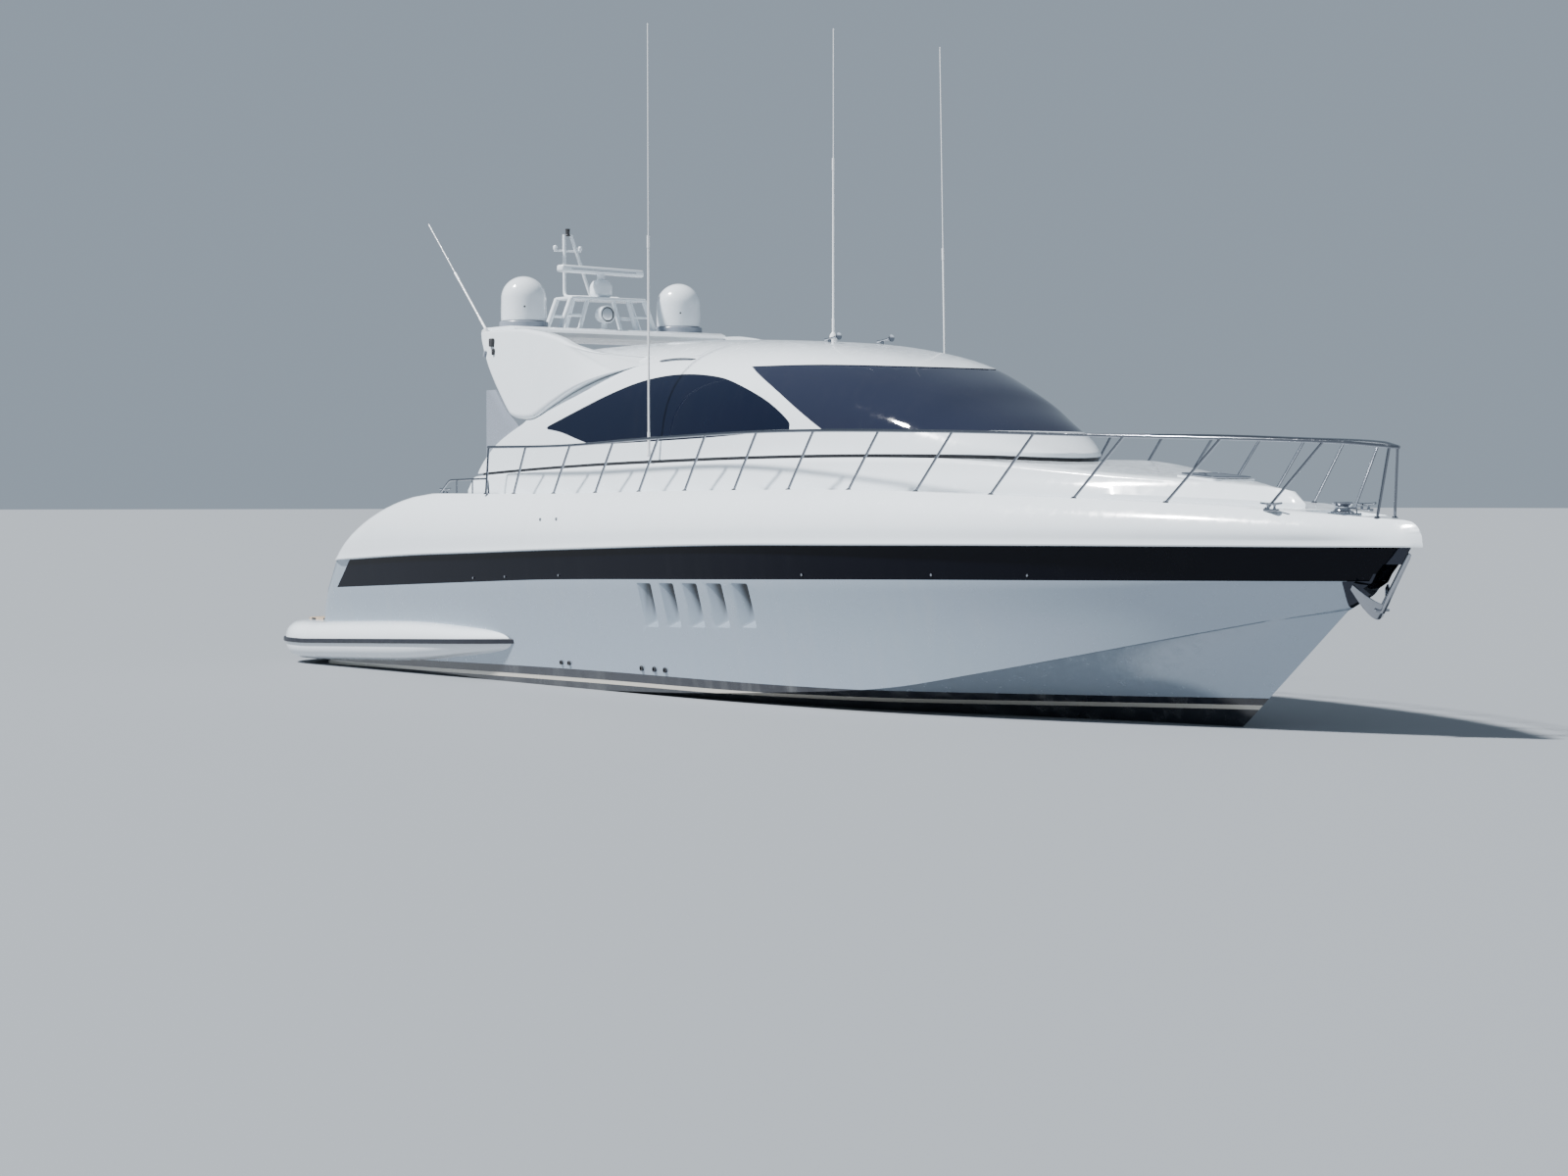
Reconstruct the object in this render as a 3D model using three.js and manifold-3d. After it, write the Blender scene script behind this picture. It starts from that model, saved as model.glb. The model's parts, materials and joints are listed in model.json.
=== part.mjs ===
// Motor yacht, 22 m overall: a hardtop cruiser with a black hull band and an arched saloon window.
// X runs forward, Y to port and Z up, in millimetres. The origin is amidships at the waterline.
import * as THREE from 'three';
import { mergeVertices } from 'three/addons/utils/BufferGeometryUtils.js';
import Module from 'manifold-3d';

const wasm = await Module();
wasm.setup();

// Driving dimensions of the hull
const BOW_TIP = 11000;
const HULL_END = -9650;
const DECK_END = -6200;
const QUARTER_RADIUS = 500;
const SEAM = 0.4;
const LIP_BREADTH = 2720;
const DECK_BREADTH = 2450;
const SOLE = 1700;
const SOLE_THICK = 45;

// Driving dimensions of the superstructure
const CABIN_BREADTH = 2050;
const CABIN_NOSE = 5450;
const CABIN_FOOT = 3050;
const SEAL = 45;
const WALL = 70;
const BULKHEAD_X = -3450;
const BEAM_TOP = 4965;
const BEAM_BOTTOM = 4780;

// Finishes
const finish = (color, roughness, metalness = 0) => ({ color, roughness, metalness });
const WHITE = finish(0xf2f5f8, 0.25);
const SILVER = finish(0xb4c2d2, 0.3);
const BLACK_GLOSS = finish(0x10131c, 0.15);
const GLASS = finish(0x141a2c, 0.08);
const STEEL = finish(0xc9ccd0, 0.2, 1);
const RUBBER = finish(0x20242c, 0.7);
const TEAK = finish(0xa9855c, 0.65);
const CUSHION = finish(0xe6e2d8, 0.8);
const DARK = finish(0x2b2e33, 0.5);
const BRONZE = finish(0xa07840, 0.35, 1);

const yacht = new THREE.Group();

// A closed solid from vertices and triangles, merged and turned so that its faces point out
function solidFrom(vertices, faces) {
  const points = [];
  const known = new Map();
  const merged = vertices.map((vertex) => {
    const key = vertex.map((value) => Math.round(value * 100)).join();
    if (!known.has(key)) {
      known.set(key, points.length);
      points.push(vertex);
    }
    return known.get(key);
  });
  const triangles = [];
  for (const face of faces) {
    const [a, b, c] = face.map((corner) => merged[corner]);
    if (a !== b && b !== c && c !== a) triangles.push([a, b, c]);
  }
  let volume = 0;
  for (const [a, b, c] of triangles) {
    const [p, q, r] = [points[a], points[b], points[c]];
    volume += p[0] * (q[1] * r[2] - q[2] * r[1]);
    volume += p[1] * (q[2] * r[0] - q[0] * r[2]);
    volume += p[2] * (q[0] * r[1] - q[1] * r[0]);
  }
  const outward = triangles.map(([a, b, c]) => (volume < 0 ? [a, c, b] : [a, b, c]));
  const triVerts = new Uint32Array(outward.flat());
  const vertProperties = new Float32Array(points.flat());
  return new wasm.Manifold(new wasm.Mesh({ numProp: 3, vertProperties, triVerts }));
}

// A solid from a closed three.js geometry
function solidOf(geometry) {
  const bare = geometry.clone();
  bare.deleteAttribute('normal');
  bare.deleteAttribute('uv');
  const welded = mergeVertices(bare, 0.001);
  const position = welded.attributes.position;
  const vertices = [];
  for (let k = 0; k < position.count; k += 1) {
    vertices.push([position.getX(k), position.getY(k), position.getZ(k)]);
  }
  const faces = [];
  for (let k = 0; k < welded.index.count; k += 3) {
    faces.push([0, 1, 2].map((corner) => welded.index.getX(k + corner)));
  }
  return solidFrom(vertices, faces);
}

// Adds one named piece of the yacht
function piece(name, solid, look) {
  const mesh = solid.getMesh();
  const geometry = new THREE.BufferGeometry();
  geometry.setAttribute('position', new THREE.BufferAttribute(mesh.vertProperties, 3));
  geometry.setIndex(new THREE.BufferAttribute(mesh.triVerts, 1));
  geometry.computeVertexNormals();
  const result = new THREE.Mesh(geometry, new THREE.MeshStandardMaterial(look));
  result.name = name;
  yacht.add(result);
  return result;
}

// A smooth height or breadth through a short table of [x, value] rows
function through(rows) {
  const slope = (k) => {
    const a = rows[Math.max(k - 1, 0)];
    const b = rows[Math.min(k + 1, rows.length - 1)];
    return (b[1] - a[1]) / (b[0] - a[0]);
  };
  return (x) => {
    if (x <= rows[0][0]) return rows[0][1];
    if (x >= rows.at(-1)[0]) return rows.at(-1)[1];
    const k = rows.findIndex((row, n) => n > 0 && x <= row[0]) - 1;
    const span = rows[k + 1][0] - rows[k][0];
    const t = (x - rows[k][0]) / span;
    const rise = rows[k + 1][1] - rows[k][1];
    const bend = (1 - t) * (slope(k) * span - rise) - t * (slope(k + 1) * span - rise);
    return rows[k][1] + t * rise + t * (1 - t) * bend;
  };
}

// Half-breadth of a waterline: full at x = mid, closing to nothing at its stem, tucked in aft
function plan(full, stem, mid, power, tuck = 0) {
  return (x) => {
    if (x < mid) return full - tuck * ((mid - x) / (mid - HULL_END)) ** 2;
    return full * (1 - Math.min(1, (x - mid) / (stem - mid)) ** power);
  };
}

const mix = (a, b, t) => a + (b - a) * t;

// The profile of the stern, from the platform up and forward to the deck
const STERN_FOOT = 550;
const STERN_RISE = 2050;
function sternX(z) {
  const up = Math.min(1, Math.max(0, (z - STERN_FOOT) / STERN_RISE));
  return DECK_END + (HULL_END - DECK_END) * (1 - up ** 1.6) ** 0.625;
}

// Solid between mirrored lengthwise lines; lines[j][i] is [x, half-breadth, z], from the bottom line up
function mirroredSolid(lines) {
  const rows = lines.length;
  const columns = lines[0].length;
  const vertices = [];
  for (const side of [1, -1]) {
    for (const line of lines) for (const [x, y, z] of line) vertices.push([x, side * y, z]);
  }
  const at = (side, j, i) => (side * rows + j) * columns + i;
  const faces = [];
  const quad = (a, b, c, d) => faces.push([a, b, c], [a, c, d]);
  const top = rows - 1;
  const end = columns - 1;
  for (let i = 0; i < end; i += 1) {
    for (let j = 0; j < top; j += 1) {
      quad(at(0, j, i), at(0, j, i + 1), at(0, j + 1, i + 1), at(0, j + 1, i));
      quad(at(1, j, i), at(1, j + 1, i), at(1, j + 1, i + 1), at(1, j, i + 1));
    }
    quad(at(0, top, i), at(0, top, i + 1), at(1, top, i + 1), at(1, top, i));
    quad(at(0, 0, i), at(1, 0, i), at(1, 0, i + 1), at(0, 0, i + 1));
  }
  for (let j = 0; j < top; j += 1) {
    quad(at(0, j, 0), at(0, j + 1, 0), at(1, j + 1, 0), at(1, j, 0));
    quad(at(0, j, end), at(1, j, end), at(1, j + 1, end), at(0, j + 1, end));
  }
  return solidFrom(vertices, faces);
}

// Solid through closed rings of equal length, each a list of [x, y, z], with flat ends
function loft(rings) {
  const size = rings[0].length;
  const vertices = rings.flat();
  const faces = [];
  for (let k = 0; k + 1 < rings.length; k += 1) {
    for (let n = 0; n < size; n += 1) {
      const [a, b] = [k * size + n, k * size + ((n + 1) % size)];
      faces.push([a, b, b + size], [a, b + size, a + size]);
    }
  }
  const last = (rings.length - 1) * size;
  for (const [a, b, c] of flatTriangles(rings[0])) faces.push([a, c, b]);
  for (const [a, b, c] of flatTriangles(rings.at(-1))) faces.push([last + a, last + b, last + c]);
  return solidFrom(vertices, faces);
}

// Triangles of one flat ring, seen along its own normal
function flatTriangles(ring) {
  const normal = new THREE.Vector3();
  ring.forEach(([x, y, z], n) => {
    const [u, v, w] = ring[(n + 1) % ring.length];
    normal.add(new THREE.Vector3((y - v) * (z + w), (z - w) * (x + u), (x - u) * (y + v)));
  });
  normal.normalize();
  const side = new THREE.Vector3(normal.z, normal.x, normal.y).cross(normal).normalize();
  const up = normal.clone().cross(side);
  const flat = ring.map((point) => {
    const at = new THREE.Vector3(...point);
    return new THREE.Vector2(at.dot(side), at.dot(up));
  });
  return THREE.ShapeUtils.triangulateShape(flat, []);
}

// Prisms of an outline: side view pushed across Y, and plan pushed up Z
const acrossY = (outline, y0, y1) => loft([y0, y1].map((y) => outline.map(([x, z]) => [x, y, z])));
const upZ = (outline, z0, z1) => loft([z0, z1].map((z) => outline.map(([x, y]) => [x, y, z])));
const box = (x0, x1, y0, y1, z0, z1) => upZ([[x0, y0], [x1, y0], [x1, y1], [x0, y1]], z0, z1);

// A rounded rectangle in plan
function roundedPlan(x0, x1, y0, y1, radius, steps = 3) {
  const corners = [[x1 - radius, y1 - radius, 0], [x0 + radius, y1 - radius, 1]];
  corners.push([x0 + radius, y0 + radius, 2], [x1 - radius, y0 + radius, 3]);
  const outline = [];
  for (const [x, y, quarter] of corners) {
    for (let k = 0; k <= steps; k += 1) {
      const angle = (quarter + k / steps) * Math.PI / 2;
      outline.push([x + radius * Math.cos(angle), y + radius * Math.sin(angle)]);
    }
  }
  return outline;
}

// A straight round bar between two points
function bar(from, to, radius, sides = 8, endRadius = radius) {
  const a = new THREE.Vector3(...from);
  const b = new THREE.Vector3(...to);
  const geometry = new THREE.CylinderGeometry(endRadius, radius, a.distanceTo(b), sides);
  const along = b.clone().sub(a).normalize();
  geometry.applyQuaternion(new THREE.Quaternion().setFromUnitVectors(new THREE.Vector3(0, 1, 0), along));
  const middle = a.add(b).multiplyScalar(0.5);
  geometry.translate(middle.x, middle.y, middle.z);
  return solidOf(geometry);
}

// A round bar bent through the points of a route
function tube(route, radius, sides = 6) {
  const up = new THREE.Vector3(0, 0, 1);
  const points = route.map((point) => new THREE.Vector3(...point));
  const end = points.length - 1;
  return loft(points.map((point, k) => {
    const along = points[Math.min(k + 1, end)].clone().sub(points[Math.max(k - 1, 0)]).normalize();
    const across = along.clone().cross(up).normalize();
    const over = across.clone().cross(along);
    const ring = [];
    for (let n = 0; n < sides; n += 1) {
      const angle = n / sides * Math.PI * 2;
      const at = point.clone().addScaledVector(across, radius * Math.cos(angle));
      ring.push(at.addScaledVector(over, radius * Math.sin(angle)).toArray());
    }
    return ring;
  }));
}

// A turned piece about an upright axis through x, y; its profile rows are [radius, z]
function turned(profile, x, y, sides = 20) {
  const points = profile.map(([radius, z]) => new THREE.Vector2(radius, z));
  const geometry = new THREE.LatheGeometry(points, sides);
  geometry.rotateX(Math.PI / 2);
  geometry.translate(x, y, 0);
  return solidOf(geometry);
}

const unite = (solids) => solids.reduce((whole, next) => whole.add(next));

// Cuts a piece back from its neighbours, leaving a hair's gap on every side
function clearOf(solid, ...neighbours) {
  const { min, max } = solid.boundingBox();
  const room = box(min[0] - 2, max[0] + 2, min[1] - 2, max[1] + 2, min[2] - 2, max[2] + 2);
  const moves = [[SEAM, 0, 0], [-SEAM, 0, 0], [0, SEAM, 0], [0, -SEAM, 0], [0, 0, SEAM], [0, 0, -SEAM]];
  let left = solid;
  for (const neighbour of neighbours) {
    const near = neighbour.intersect(room);
    if (near.isEmpty()) continue;
    for (const move of moves) left = left.subtract(near.translate(move));
  }
  return left;
}

// Heights of the lengthwise lines of the hull, as [x, z] rows
const KEEL_STEM = 8000;
const keelZ = through([
  [-9500, -900], [-5000, -990], [0, -1000], [3500, -930], [5500, -780], [7000, -560], [KEEL_STEM, -300],
]);
const chineZ = through([
  [-9500, -100], [-4000, -60], [0, 30], [3000, 180], [4500, 300], [5800, 520], [7060, 762], [8550, 1068],
  [9230, 1207], [9950, 1330],
]);
const bandFootZ = through([
  [-9500, 1140], [-8620, 1180], [-6400, 1270], [-4400, 1350], [-2200, 1430], [1600, 1510], [4900, 1570],
  [8000, 1610], [10600, 1640],
]);
const lipZ = through([
  [-9500, 1560], [-8100, 1630], [-6100, 1720], [-4200, 1780], [-2000, 1850], [1700, 1950], [4300, 1980],
  [7000, 2000], [11000, 2010],
]);
const deckZ = through([
  [-9500, 2600], [-6100, 2600], [-2400, 2590], [900, 2620], [4100, 2620], [6200, 2560], [8350, 2470],
  [9450, 2400], [10750, 2290],
]);

// Half-breadths of the same lines
const CHINE_FLAT = 45;
const CHINE_STEM = 9950;
const FLAT_STEM = 9980;
const chineY = plan(2290, CHINE_STEM, 0, 2.3);
const bandFootY = plan(2620, 10600, 500, 2.3, 150);
const bandTopY = plan(2660, 10930, 500, 2.35, 150);
const lipY = plan(LIP_BREADTH, BOW_TIP, 500, 2.4, 150);
const deckY = plan(DECK_BREADTH, 10750, 500, 2.4, 100);

// Stations from the rounded stern quarter to the stem: a turn round the corner, then a share of the length
const CORNER_STEPS = 3;
const SIDE_STEPS = 17;
const stations = [];
for (let k = 0; k < CORNER_STEPS; k += 1) stations.push({ turn: k / CORNER_STEPS * Math.PI / 2, share: 0 });
for (let k = 0; k <= SIDE_STEPS; k += 1) {
  stations.push({ turn: Math.PI / 2, share: 1 - (1 - k / SIDE_STEPS) ** 1.25 });
}

// One lengthwise line: aft end, stem end, and its breadth and height along x
function line(aft, stem, breadth, height, grow = 0) {
  return stations.map(({ turn, share }) => {
    const start = aft + QUARTER_RADIUS;
    const x = mix(start, stem, share) - QUARTER_RADIUS * Math.cos(turn);
    const full = breadth(Math.max(x, start));
    const round = Math.min(QUARTER_RADIUS, full);
    const y = full - round * (1 - Math.sin(turn));
    return [x - grow * Math.cos(turn), y === 0 ? 0 : y + grow, height(x)];
  });
}

// A line part way between two others, with an outward swell
function between(low, high, share, swell = 0) {
  return low.map(([x, y, z], i) => {
    const [u, v, w] = high[i];
    const wide = Math.min(1, Math.max(y, v) / 600);
    return [mix(x, u, share), mix(y, v, share) + swell * wide, mix(z, w, share)];
  });
}

// Hull moulding from the keel to the joint under the lip
function hullLines(grow = 0) {
  const keel = line(HULL_END, KEEL_STEM, () => 0, keelZ, grow);
  const chine = line(HULL_END, CHINE_STEM, chineY, chineZ, grow);
  const flat = (x) => chineY(x) + (x < FLAT_STEM ? CHINE_FLAT : 0);
  const chineFlat = line(HULL_END, FLAT_STEM, flat, (x) => chineZ(x) + 12, grow);
  const foot = line(sternX(1150), 10600, bandFootY, bandFootZ, grow);
  const sideSteps = [0.33, 0.66].map((share) => {
    const aft = sternX(mix(-100, 1150, share));
    const breadth = (x) => mix(chineY(x) + CHINE_FLAT, bandFootY(x), share);
    return between(chineFlat, foot, share, -18).map(([x, y, z], i) => {
      const stem = mix(FLAT_STEM, 10600, share);
      const [u] = line(aft, stem, breadth, () => z)[i];
      return [Math.min(u, stem), y, z];
    });
  });
  const top = line(sternX(1600), 10930, bandTopY, (x) => lipZ(x) + 150, grow);
  return [keel, between(keel, chine, 0.5, -25), chine, chineFlat, ...sideSteps, foot, top];
}

// The joint between hull and deck follows the lip
const jointX = [];
for (let x = -9700; x <= 11100; x += 1300) jointX.push(x);
const jointRows = jointX.map((x) => [x, lipZ(x)]);
const belowJoint = (gap) => {
  const top = jointRows.map(([x, z]) => [x, z - gap]);
  return acrossY([...top, [11100, -2000], [-9700, -2000]], -4000, 4000);
};

// Wells cut down into the deck and hull
const COCKPIT = { aft: -6650, fore: BULKHEAD_X, half: 1950 };
const SALOON = { aft: BULKHEAD_X, fore: 3900, half: 1800 };
function wells() {
  const cockpit = roundedPlan(COCKPIT.aft, COCKPIT.fore + 400, -COCKPIT.half, COCKPIT.half, 250);
  const saloonBack = SALOON.aft + 100;
  const saloon = [[saloonBack, -SALOON.half], [1500, -SALOON.half], [SALOON.fore, -950], [SALOON.fore, 950]];
  saloon.push([1500, SALOON.half], [saloonBack, SALOON.half]);
  return upZ(cockpit, SOLE, 3600).add(upZ(saloon, SOLE, 3600));
}

// Steps on each side of the stern, from the platform to the cockpit
const STAIR = { inner: 1500, outer: 2080, foot: 690, start: -9700 };
const treads = [-9100, -8700, -8300, -7900, -7500];
const riser = (SOLE - STAIR.foot) / treads.length;
function stairs(side) {
  const outline = [[STAIR.start, 3600], [STAIR.start, STAIR.foot]];
  treads.forEach((x, k) => {
    outline.push([x, STAIR.foot + k * riser], [x, STAIR.foot + (k + 1) * riser]);
  });
  outline.push([COCKPIT.aft + 300, SOLE], [COCKPIT.aft + 300, 3600]);
  const [y0, y1] = side > 0 ? [STAIR.inner, STAIR.outer] : [-STAIR.outer, -STAIR.inner];
  return acrossY(outline, y0, y1);
}

// Garage behind the stern door, and the engine room below the cockpit
const GARAGE = { half: 1250, foot: 900, top: 2000, fore: -6950 };
const garage = box(-9700, GARAGE.fore, -GARAGE.half, GARAGE.half, GARAGE.foot, GARAGE.top);
const ENGINE = { x0: -6500, x1: -4300, y: 950, half: 430, foot: 150, top: 1350 };
const engineRoom = box(ENGINE.x0 - 250, ENGINE.x1 + 250, -1700, 1700, ENGINE.foot, SOLE + 5);

// Seat for the garage door in the face of the stern
const DOOR = { half: 1380, foot: 840, top: 2080, thick: 70, outset: 6, gap: 13 };
function doorSolid(margin, outset, footMargin) {
  const outer = [];
  const inner = [];
  const steps = 8;
  for (let k = 0; k <= steps; k += 1) {
    const z = mix(DOOR.foot - footMargin, DOOR.top + margin, k / steps);
    outer.push([sternX(z) - outset, z]);
    inner.unshift([sternX(z) + DOOR.thick + margin, z]);
  }
  return acrossY([...outer, ...inner], -DOOR.half - margin, DOOR.half + margin);
}
const doorSeat = doorSolid(DOOR.gap, 300, SEAM);

// Room for the heel of the door, which turns down and in about the hinge along its top outer edge
const HEEL = { x: sternX(DOOR.top) - DOOR.outset, reach: DOOR.thick + DOOR.outset + 12, steps: 6 };
function heelRoom() {
  const outline = [[HEEL.x + HEEL.reach, DOOR.top + DOOR.gap], [HEEL.x - 10, DOOR.top + DOOR.gap]];
  outline.push([HEEL.x - 10, DOOR.top - HEEL.reach]);
  for (let k = 0; k <= HEEL.steps; k += 1) {
    const turn = k / HEEL.steps * Math.PI / 2;
    outline.push([HEEL.x + HEEL.reach * Math.sin(turn), DOOR.top - HEEL.reach * Math.cos(turn)]);
  }
  const heel = acrossY(outline, -DOOR.half - DOOR.gap, DOOR.half + DOOR.gap);
  const [y0, y1] = [-GARAGE.half, GARAGE.half];
  return heel.add(box(-9700, HEEL.x + HEEL.reach, y0, y1, GARAGE.top - 50, DOOR.top + DOOR.gap));
}

// Room above the door, so that the deck over it is flush with it and it can swing up
const browFace = [];
for (let z = DOOR.top; z <= STERN_FOOT + STERN_RISE; z += 65) browFace.push([sternX(z) + 2, z]);
const browOutline = [...browFace, [-9700, 2600], [-9700, DOOR.top]];
const browRoom = acrossY(browOutline, -DOOR.half - DOOR.gap, DOOR.half + DOOR.gap);

// Gill vents in the topsides, right under the band: upright scoops with a sharp fore edge, whose foot and
// aft edge slope out to the hull's face
const GILL = { first: 5, pitch: 522, count: 5, width: 300, depth: 85, climb: 14 };
const GILL_Z = { underBand: 32, foot: 885, footSlope: 110, aftSlope: 60 };
function topsideY(x, z) {
  const share = (z - chineZ(x)) / (bandFootZ(x) - chineZ(x));
  return mix(chineY(x) + CHINE_FLAT, bandFootY(x), share) - 18;
}
function gills() {
  const cuts = [];
  for (const side of [1, -1]) {
    for (let k = 0; k < GILL.count; k += 1) {
      const x = GILL.first + k * GILL.pitch;
      const foot = GILL_Z.foot + k * GILL.climb;
      // The ring of the scoop at a depth under the face, or outside it where the depth is negative
      const ring = (depth) => {
        const share = depth / GILL.depth;
        const aft = x + share * GILL_Z.aftSlope;
        const sill = foot + share * GILL_Z.footSlope;
        const head = (u) => bandFootZ(u) - GILL_Z.underBand;
        const fore = x + GILL.width;
        const corners = [[aft, head(aft)], [aft, sill], [fore, sill], [fore, head(fore)]];
        return corners.map(([u, z]) => [u, side * (topsideY(u, z) - depth), z]);
      };
      cuts.push(loft([ring(GILL.depth), ring(-120)]));
    }
  }
  return unite(cuts);
}

// Black band on each side of the hull, set into the hull under the lip
const BAND = { aftTop: -8150, aftFoot: -8650, fore: 10400, thick: 30, steps: 16 };
function bandSolid(side, margin) {
  const rings = [];
  for (let k = 0; k <= BAND.steps; k += 1) {
    const share = 1 - (1 - k / BAND.steps) ** 1.2;
    const end = (k === 0 ? -2 * margin : 0) + (k === BAND.steps ? 2 * margin : 0);
    const xTop = mix(BAND.aftTop, BAND.fore + 330, share) + end;
    const xFoot = mix(BAND.aftFoot, BAND.fore, share) + end;
    const foot = bandFootY(xFoot);
    const top = bandTopY(xTop);
    const out = margin > 0 ? 120 : -12;
    const inset = 12 + BAND.thick + margin;
    rings.push([
      [xFoot, side * (foot + out), bandFootZ(xFoot) + 15 - margin],
      [xTop, side * (top + out), lipZ(xTop) - 12 + margin],
      [xTop, side * (top - inset), lipZ(xTop) - 12 + margin],
      [xFoot, side * (foot - inset), bandFootZ(xFoot) + 15 - margin],
    ]);
  }
  return loft(rings);
}

// Pocket in the stem where the anchor stows
const anchorPocket = acrossY([[10200, 1830], [11200, 1830], [11200, 1330], [10350, 1330]], -120, 120);

// Lines of the propeller shafts and rudder stocks, with the bosses that carry them under the hull
const SHAFT = { y: 950, aftX: -8450, aftZ: -1080, foreX: -5300, foreZ: -640, radius: 45, log: 85 };
const RUDDER = { x: -9150, stock: 38, boss: 75, bossFoot: -690, bossTop: -200 };
const shaftWay = new THREE.Vector3(SHAFT.aftX - SHAFT.foreX, 0, SHAFT.aftZ - SHAFT.foreZ).normalize();
const onShaft = (distance, y) => {
  const aft = new THREE.Vector3(SHAFT.aftX, y, SHAFT.aftZ);
  return aft.addScaledVector(shaftWay, distance).toArray();
};
const SHAFT_REACH = 2450;
function bosses(side) {
  const y = side * SHAFT.y;
  const log = bar(onShaft(-SHAFT_REACH - 1300, y), onShaft(-SHAFT_REACH, y), SHAFT.log, 12);
  const profile = [[0, RUDDER.bossFoot], [RUDDER.boss, RUDDER.bossFoot]];
  profile.push([RUDDER.boss, RUDDER.bossTop], [0, RUDDER.bossTop]);
  return log.add(turned(profile, RUDDER.x, y, 12));
}

let hull = mirroredSolid(hullLines()).intersect(belowJoint(0)).add(bosses(1)).add(bosses(-1));
for (const side of [1, -1]) hull = hull.subtract(bandSolid(side, 0.6)).subtract(stairs(side));
hull = hull.subtract(wells()).subtract(garage).subtract(engineRoom).subtract(gills());
hull = hull.subtract(anchorPocket).subtract(doorSeat);
piece('hull', hull, SILVER);
piece('hull_band_starboard', bandSolid(-1, 0).subtract(anchorPocket), BLACK_GLOSS);
piece('hull_band_port', bandSolid(1, 0).subtract(anchorPocket), BLACK_GLOSS);

// Deck moulding: topsides above the lip, the deck, and the trunk that carries the superstructure
function deckLines() {
  const foot = line(sternX(1500), 10960, (x) => lipY(x) - 25, (x) => lipZ(x) - 150);
  const lip = line(sternX(1580), BOW_TIP, lipY, (x) => lipZ(x) + 15);
  const lipTop = line(sternX(1620), BOW_TIP - 10, (x) => Math.max(0, lipY(x) - 8), (x) => lipZ(x) + 60);
  const edge = line(DECK_END, 10750, deckY, deckZ);
  const swell = [[0.25, 60], [0.5, 85], [0.72, 75], [0.9, 38]];
  const sides = swell.map(([share, out]) => {
    const aftZ = mix(1620, 2600, share);
    const aft = sternX(aftZ);
    const start = aft + QUARTER_RADIUS;
    const stem = mix(BOW_TIP - 10, 10750, share);
    const breadth = (x) => {
      const wide = Math.min(1, lipY(x) / 600);
      return Math.max(0, mix(lipY(x) - 8, deckY(x), share)) + out * wide;
    };
    const height = (x) => mix(lipZ(Math.max(x, start)) + 60, deckZ(x), share);
    return line(aft, stem, (x) => (x >= stem ? 0 : breadth(x)), height);
  });
  return [foot, lip, lipTop, ...sides, edge];
}

// Trunk: its foot stands in the deck and its top carries the cabin and the foredeck
const trunkTopZ = through([
  [-5400, 2810], [-5000, 2845], [-3200, 2915], [-1200, 2965], [2450, 3010], [4800, 2990], [5600, 2940],
  [6900, 2810], [8100, 2710], [9000, 2620],
]);
const TRUNK_AFT = -5150;
const TRUNK_END = 9300;
const trunkFootY = plan(2200, TRUNK_END, 500, 2.2, 20);
const trunkTopY = plan(2150, TRUNK_END - 250, 500, 2.2, 20);
const SHARES = [];
const TRUNK_STEPS = 14;
for (let k = 0; k <= TRUNK_STEPS; k += 1) SHARES.push(1 - (1 - k / TRUNK_STEPS) ** 1.3);
function trunk() {
  const row = (aft, stem, breadth, height) => SHARES.map((share) => {
    const x = mix(aft, stem, share);
    return [x, Math.max(0, breadth(x)), height(x)];
  });
  const { smoothstep } = THREE.MathUtils;
  const rise = (x) => 18 * smoothstep(x, 5500, 6400) * smoothstep(-x, -9000, -8200);
  const tip = TRUNK_END - 250;
  const sink = row(TRUNK_AFT, TRUNK_END, trunkFootY, (x) => deckZ(x) - 300);
  const foot = row(TRUNK_AFT, TRUNK_END, trunkFootY, (x) => deckZ(x) + 50);
  const shoulderZ = (x) => mix(deckZ(x) + 50, trunkTopZ(x), 0.8);
  const shoulder = row(TRUNK_AFT + 90, tip + 100, (x) => trunkTopY(x) + 20, shoulderZ);
  const top = row(TRUNK_AFT + 130, tip, (x) => trunkTopY(x) - 25, trunkTopZ);
  const crown = row(TRUNK_AFT + 130, tip, (x) => trunkTopY(x) * 0.5, (x) => trunkTopZ(x) + rise(x));
  return mirroredSolid([sink, foot, shoulder, top, crown]);
}

const BOW_WELL = { aft: 9560, fore: 10250, half: 330, floor: 2330 };
const bowWellPlan = roundedPlan(BOW_WELL.aft, BOW_WELL.fore, -BOW_WELL.half, BOW_WELL.half, 120);
const bowWell = upZ(bowWellPlan, BOW_WELL.floor, 2800);
let deck = mirroredSolid(deckLines()).subtract(belowJoint(-SEAM));
deck = deck.add(trunk()).subtract(wells()).subtract(garage);
for (const side of [1, -1]) deck = deck.subtract(stairs(side));

// Flat seat for the aft sunpad on top of the garage
const PAD = { aft: -7430, fore: -6720, half: 1350, seat: 2270, thick: 120 };
const padSeat = box(PAD.aft - 60, COCKPIT.aft + 60, -STAIR.inner - 10, STAIR.inner + 10, PAD.seat, 3600);
deck = deck.subtract(padSeat).subtract(doorSeat).subtract(heelRoom());
deck = deck.subtract(browRoom).subtract(bowWell);

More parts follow.
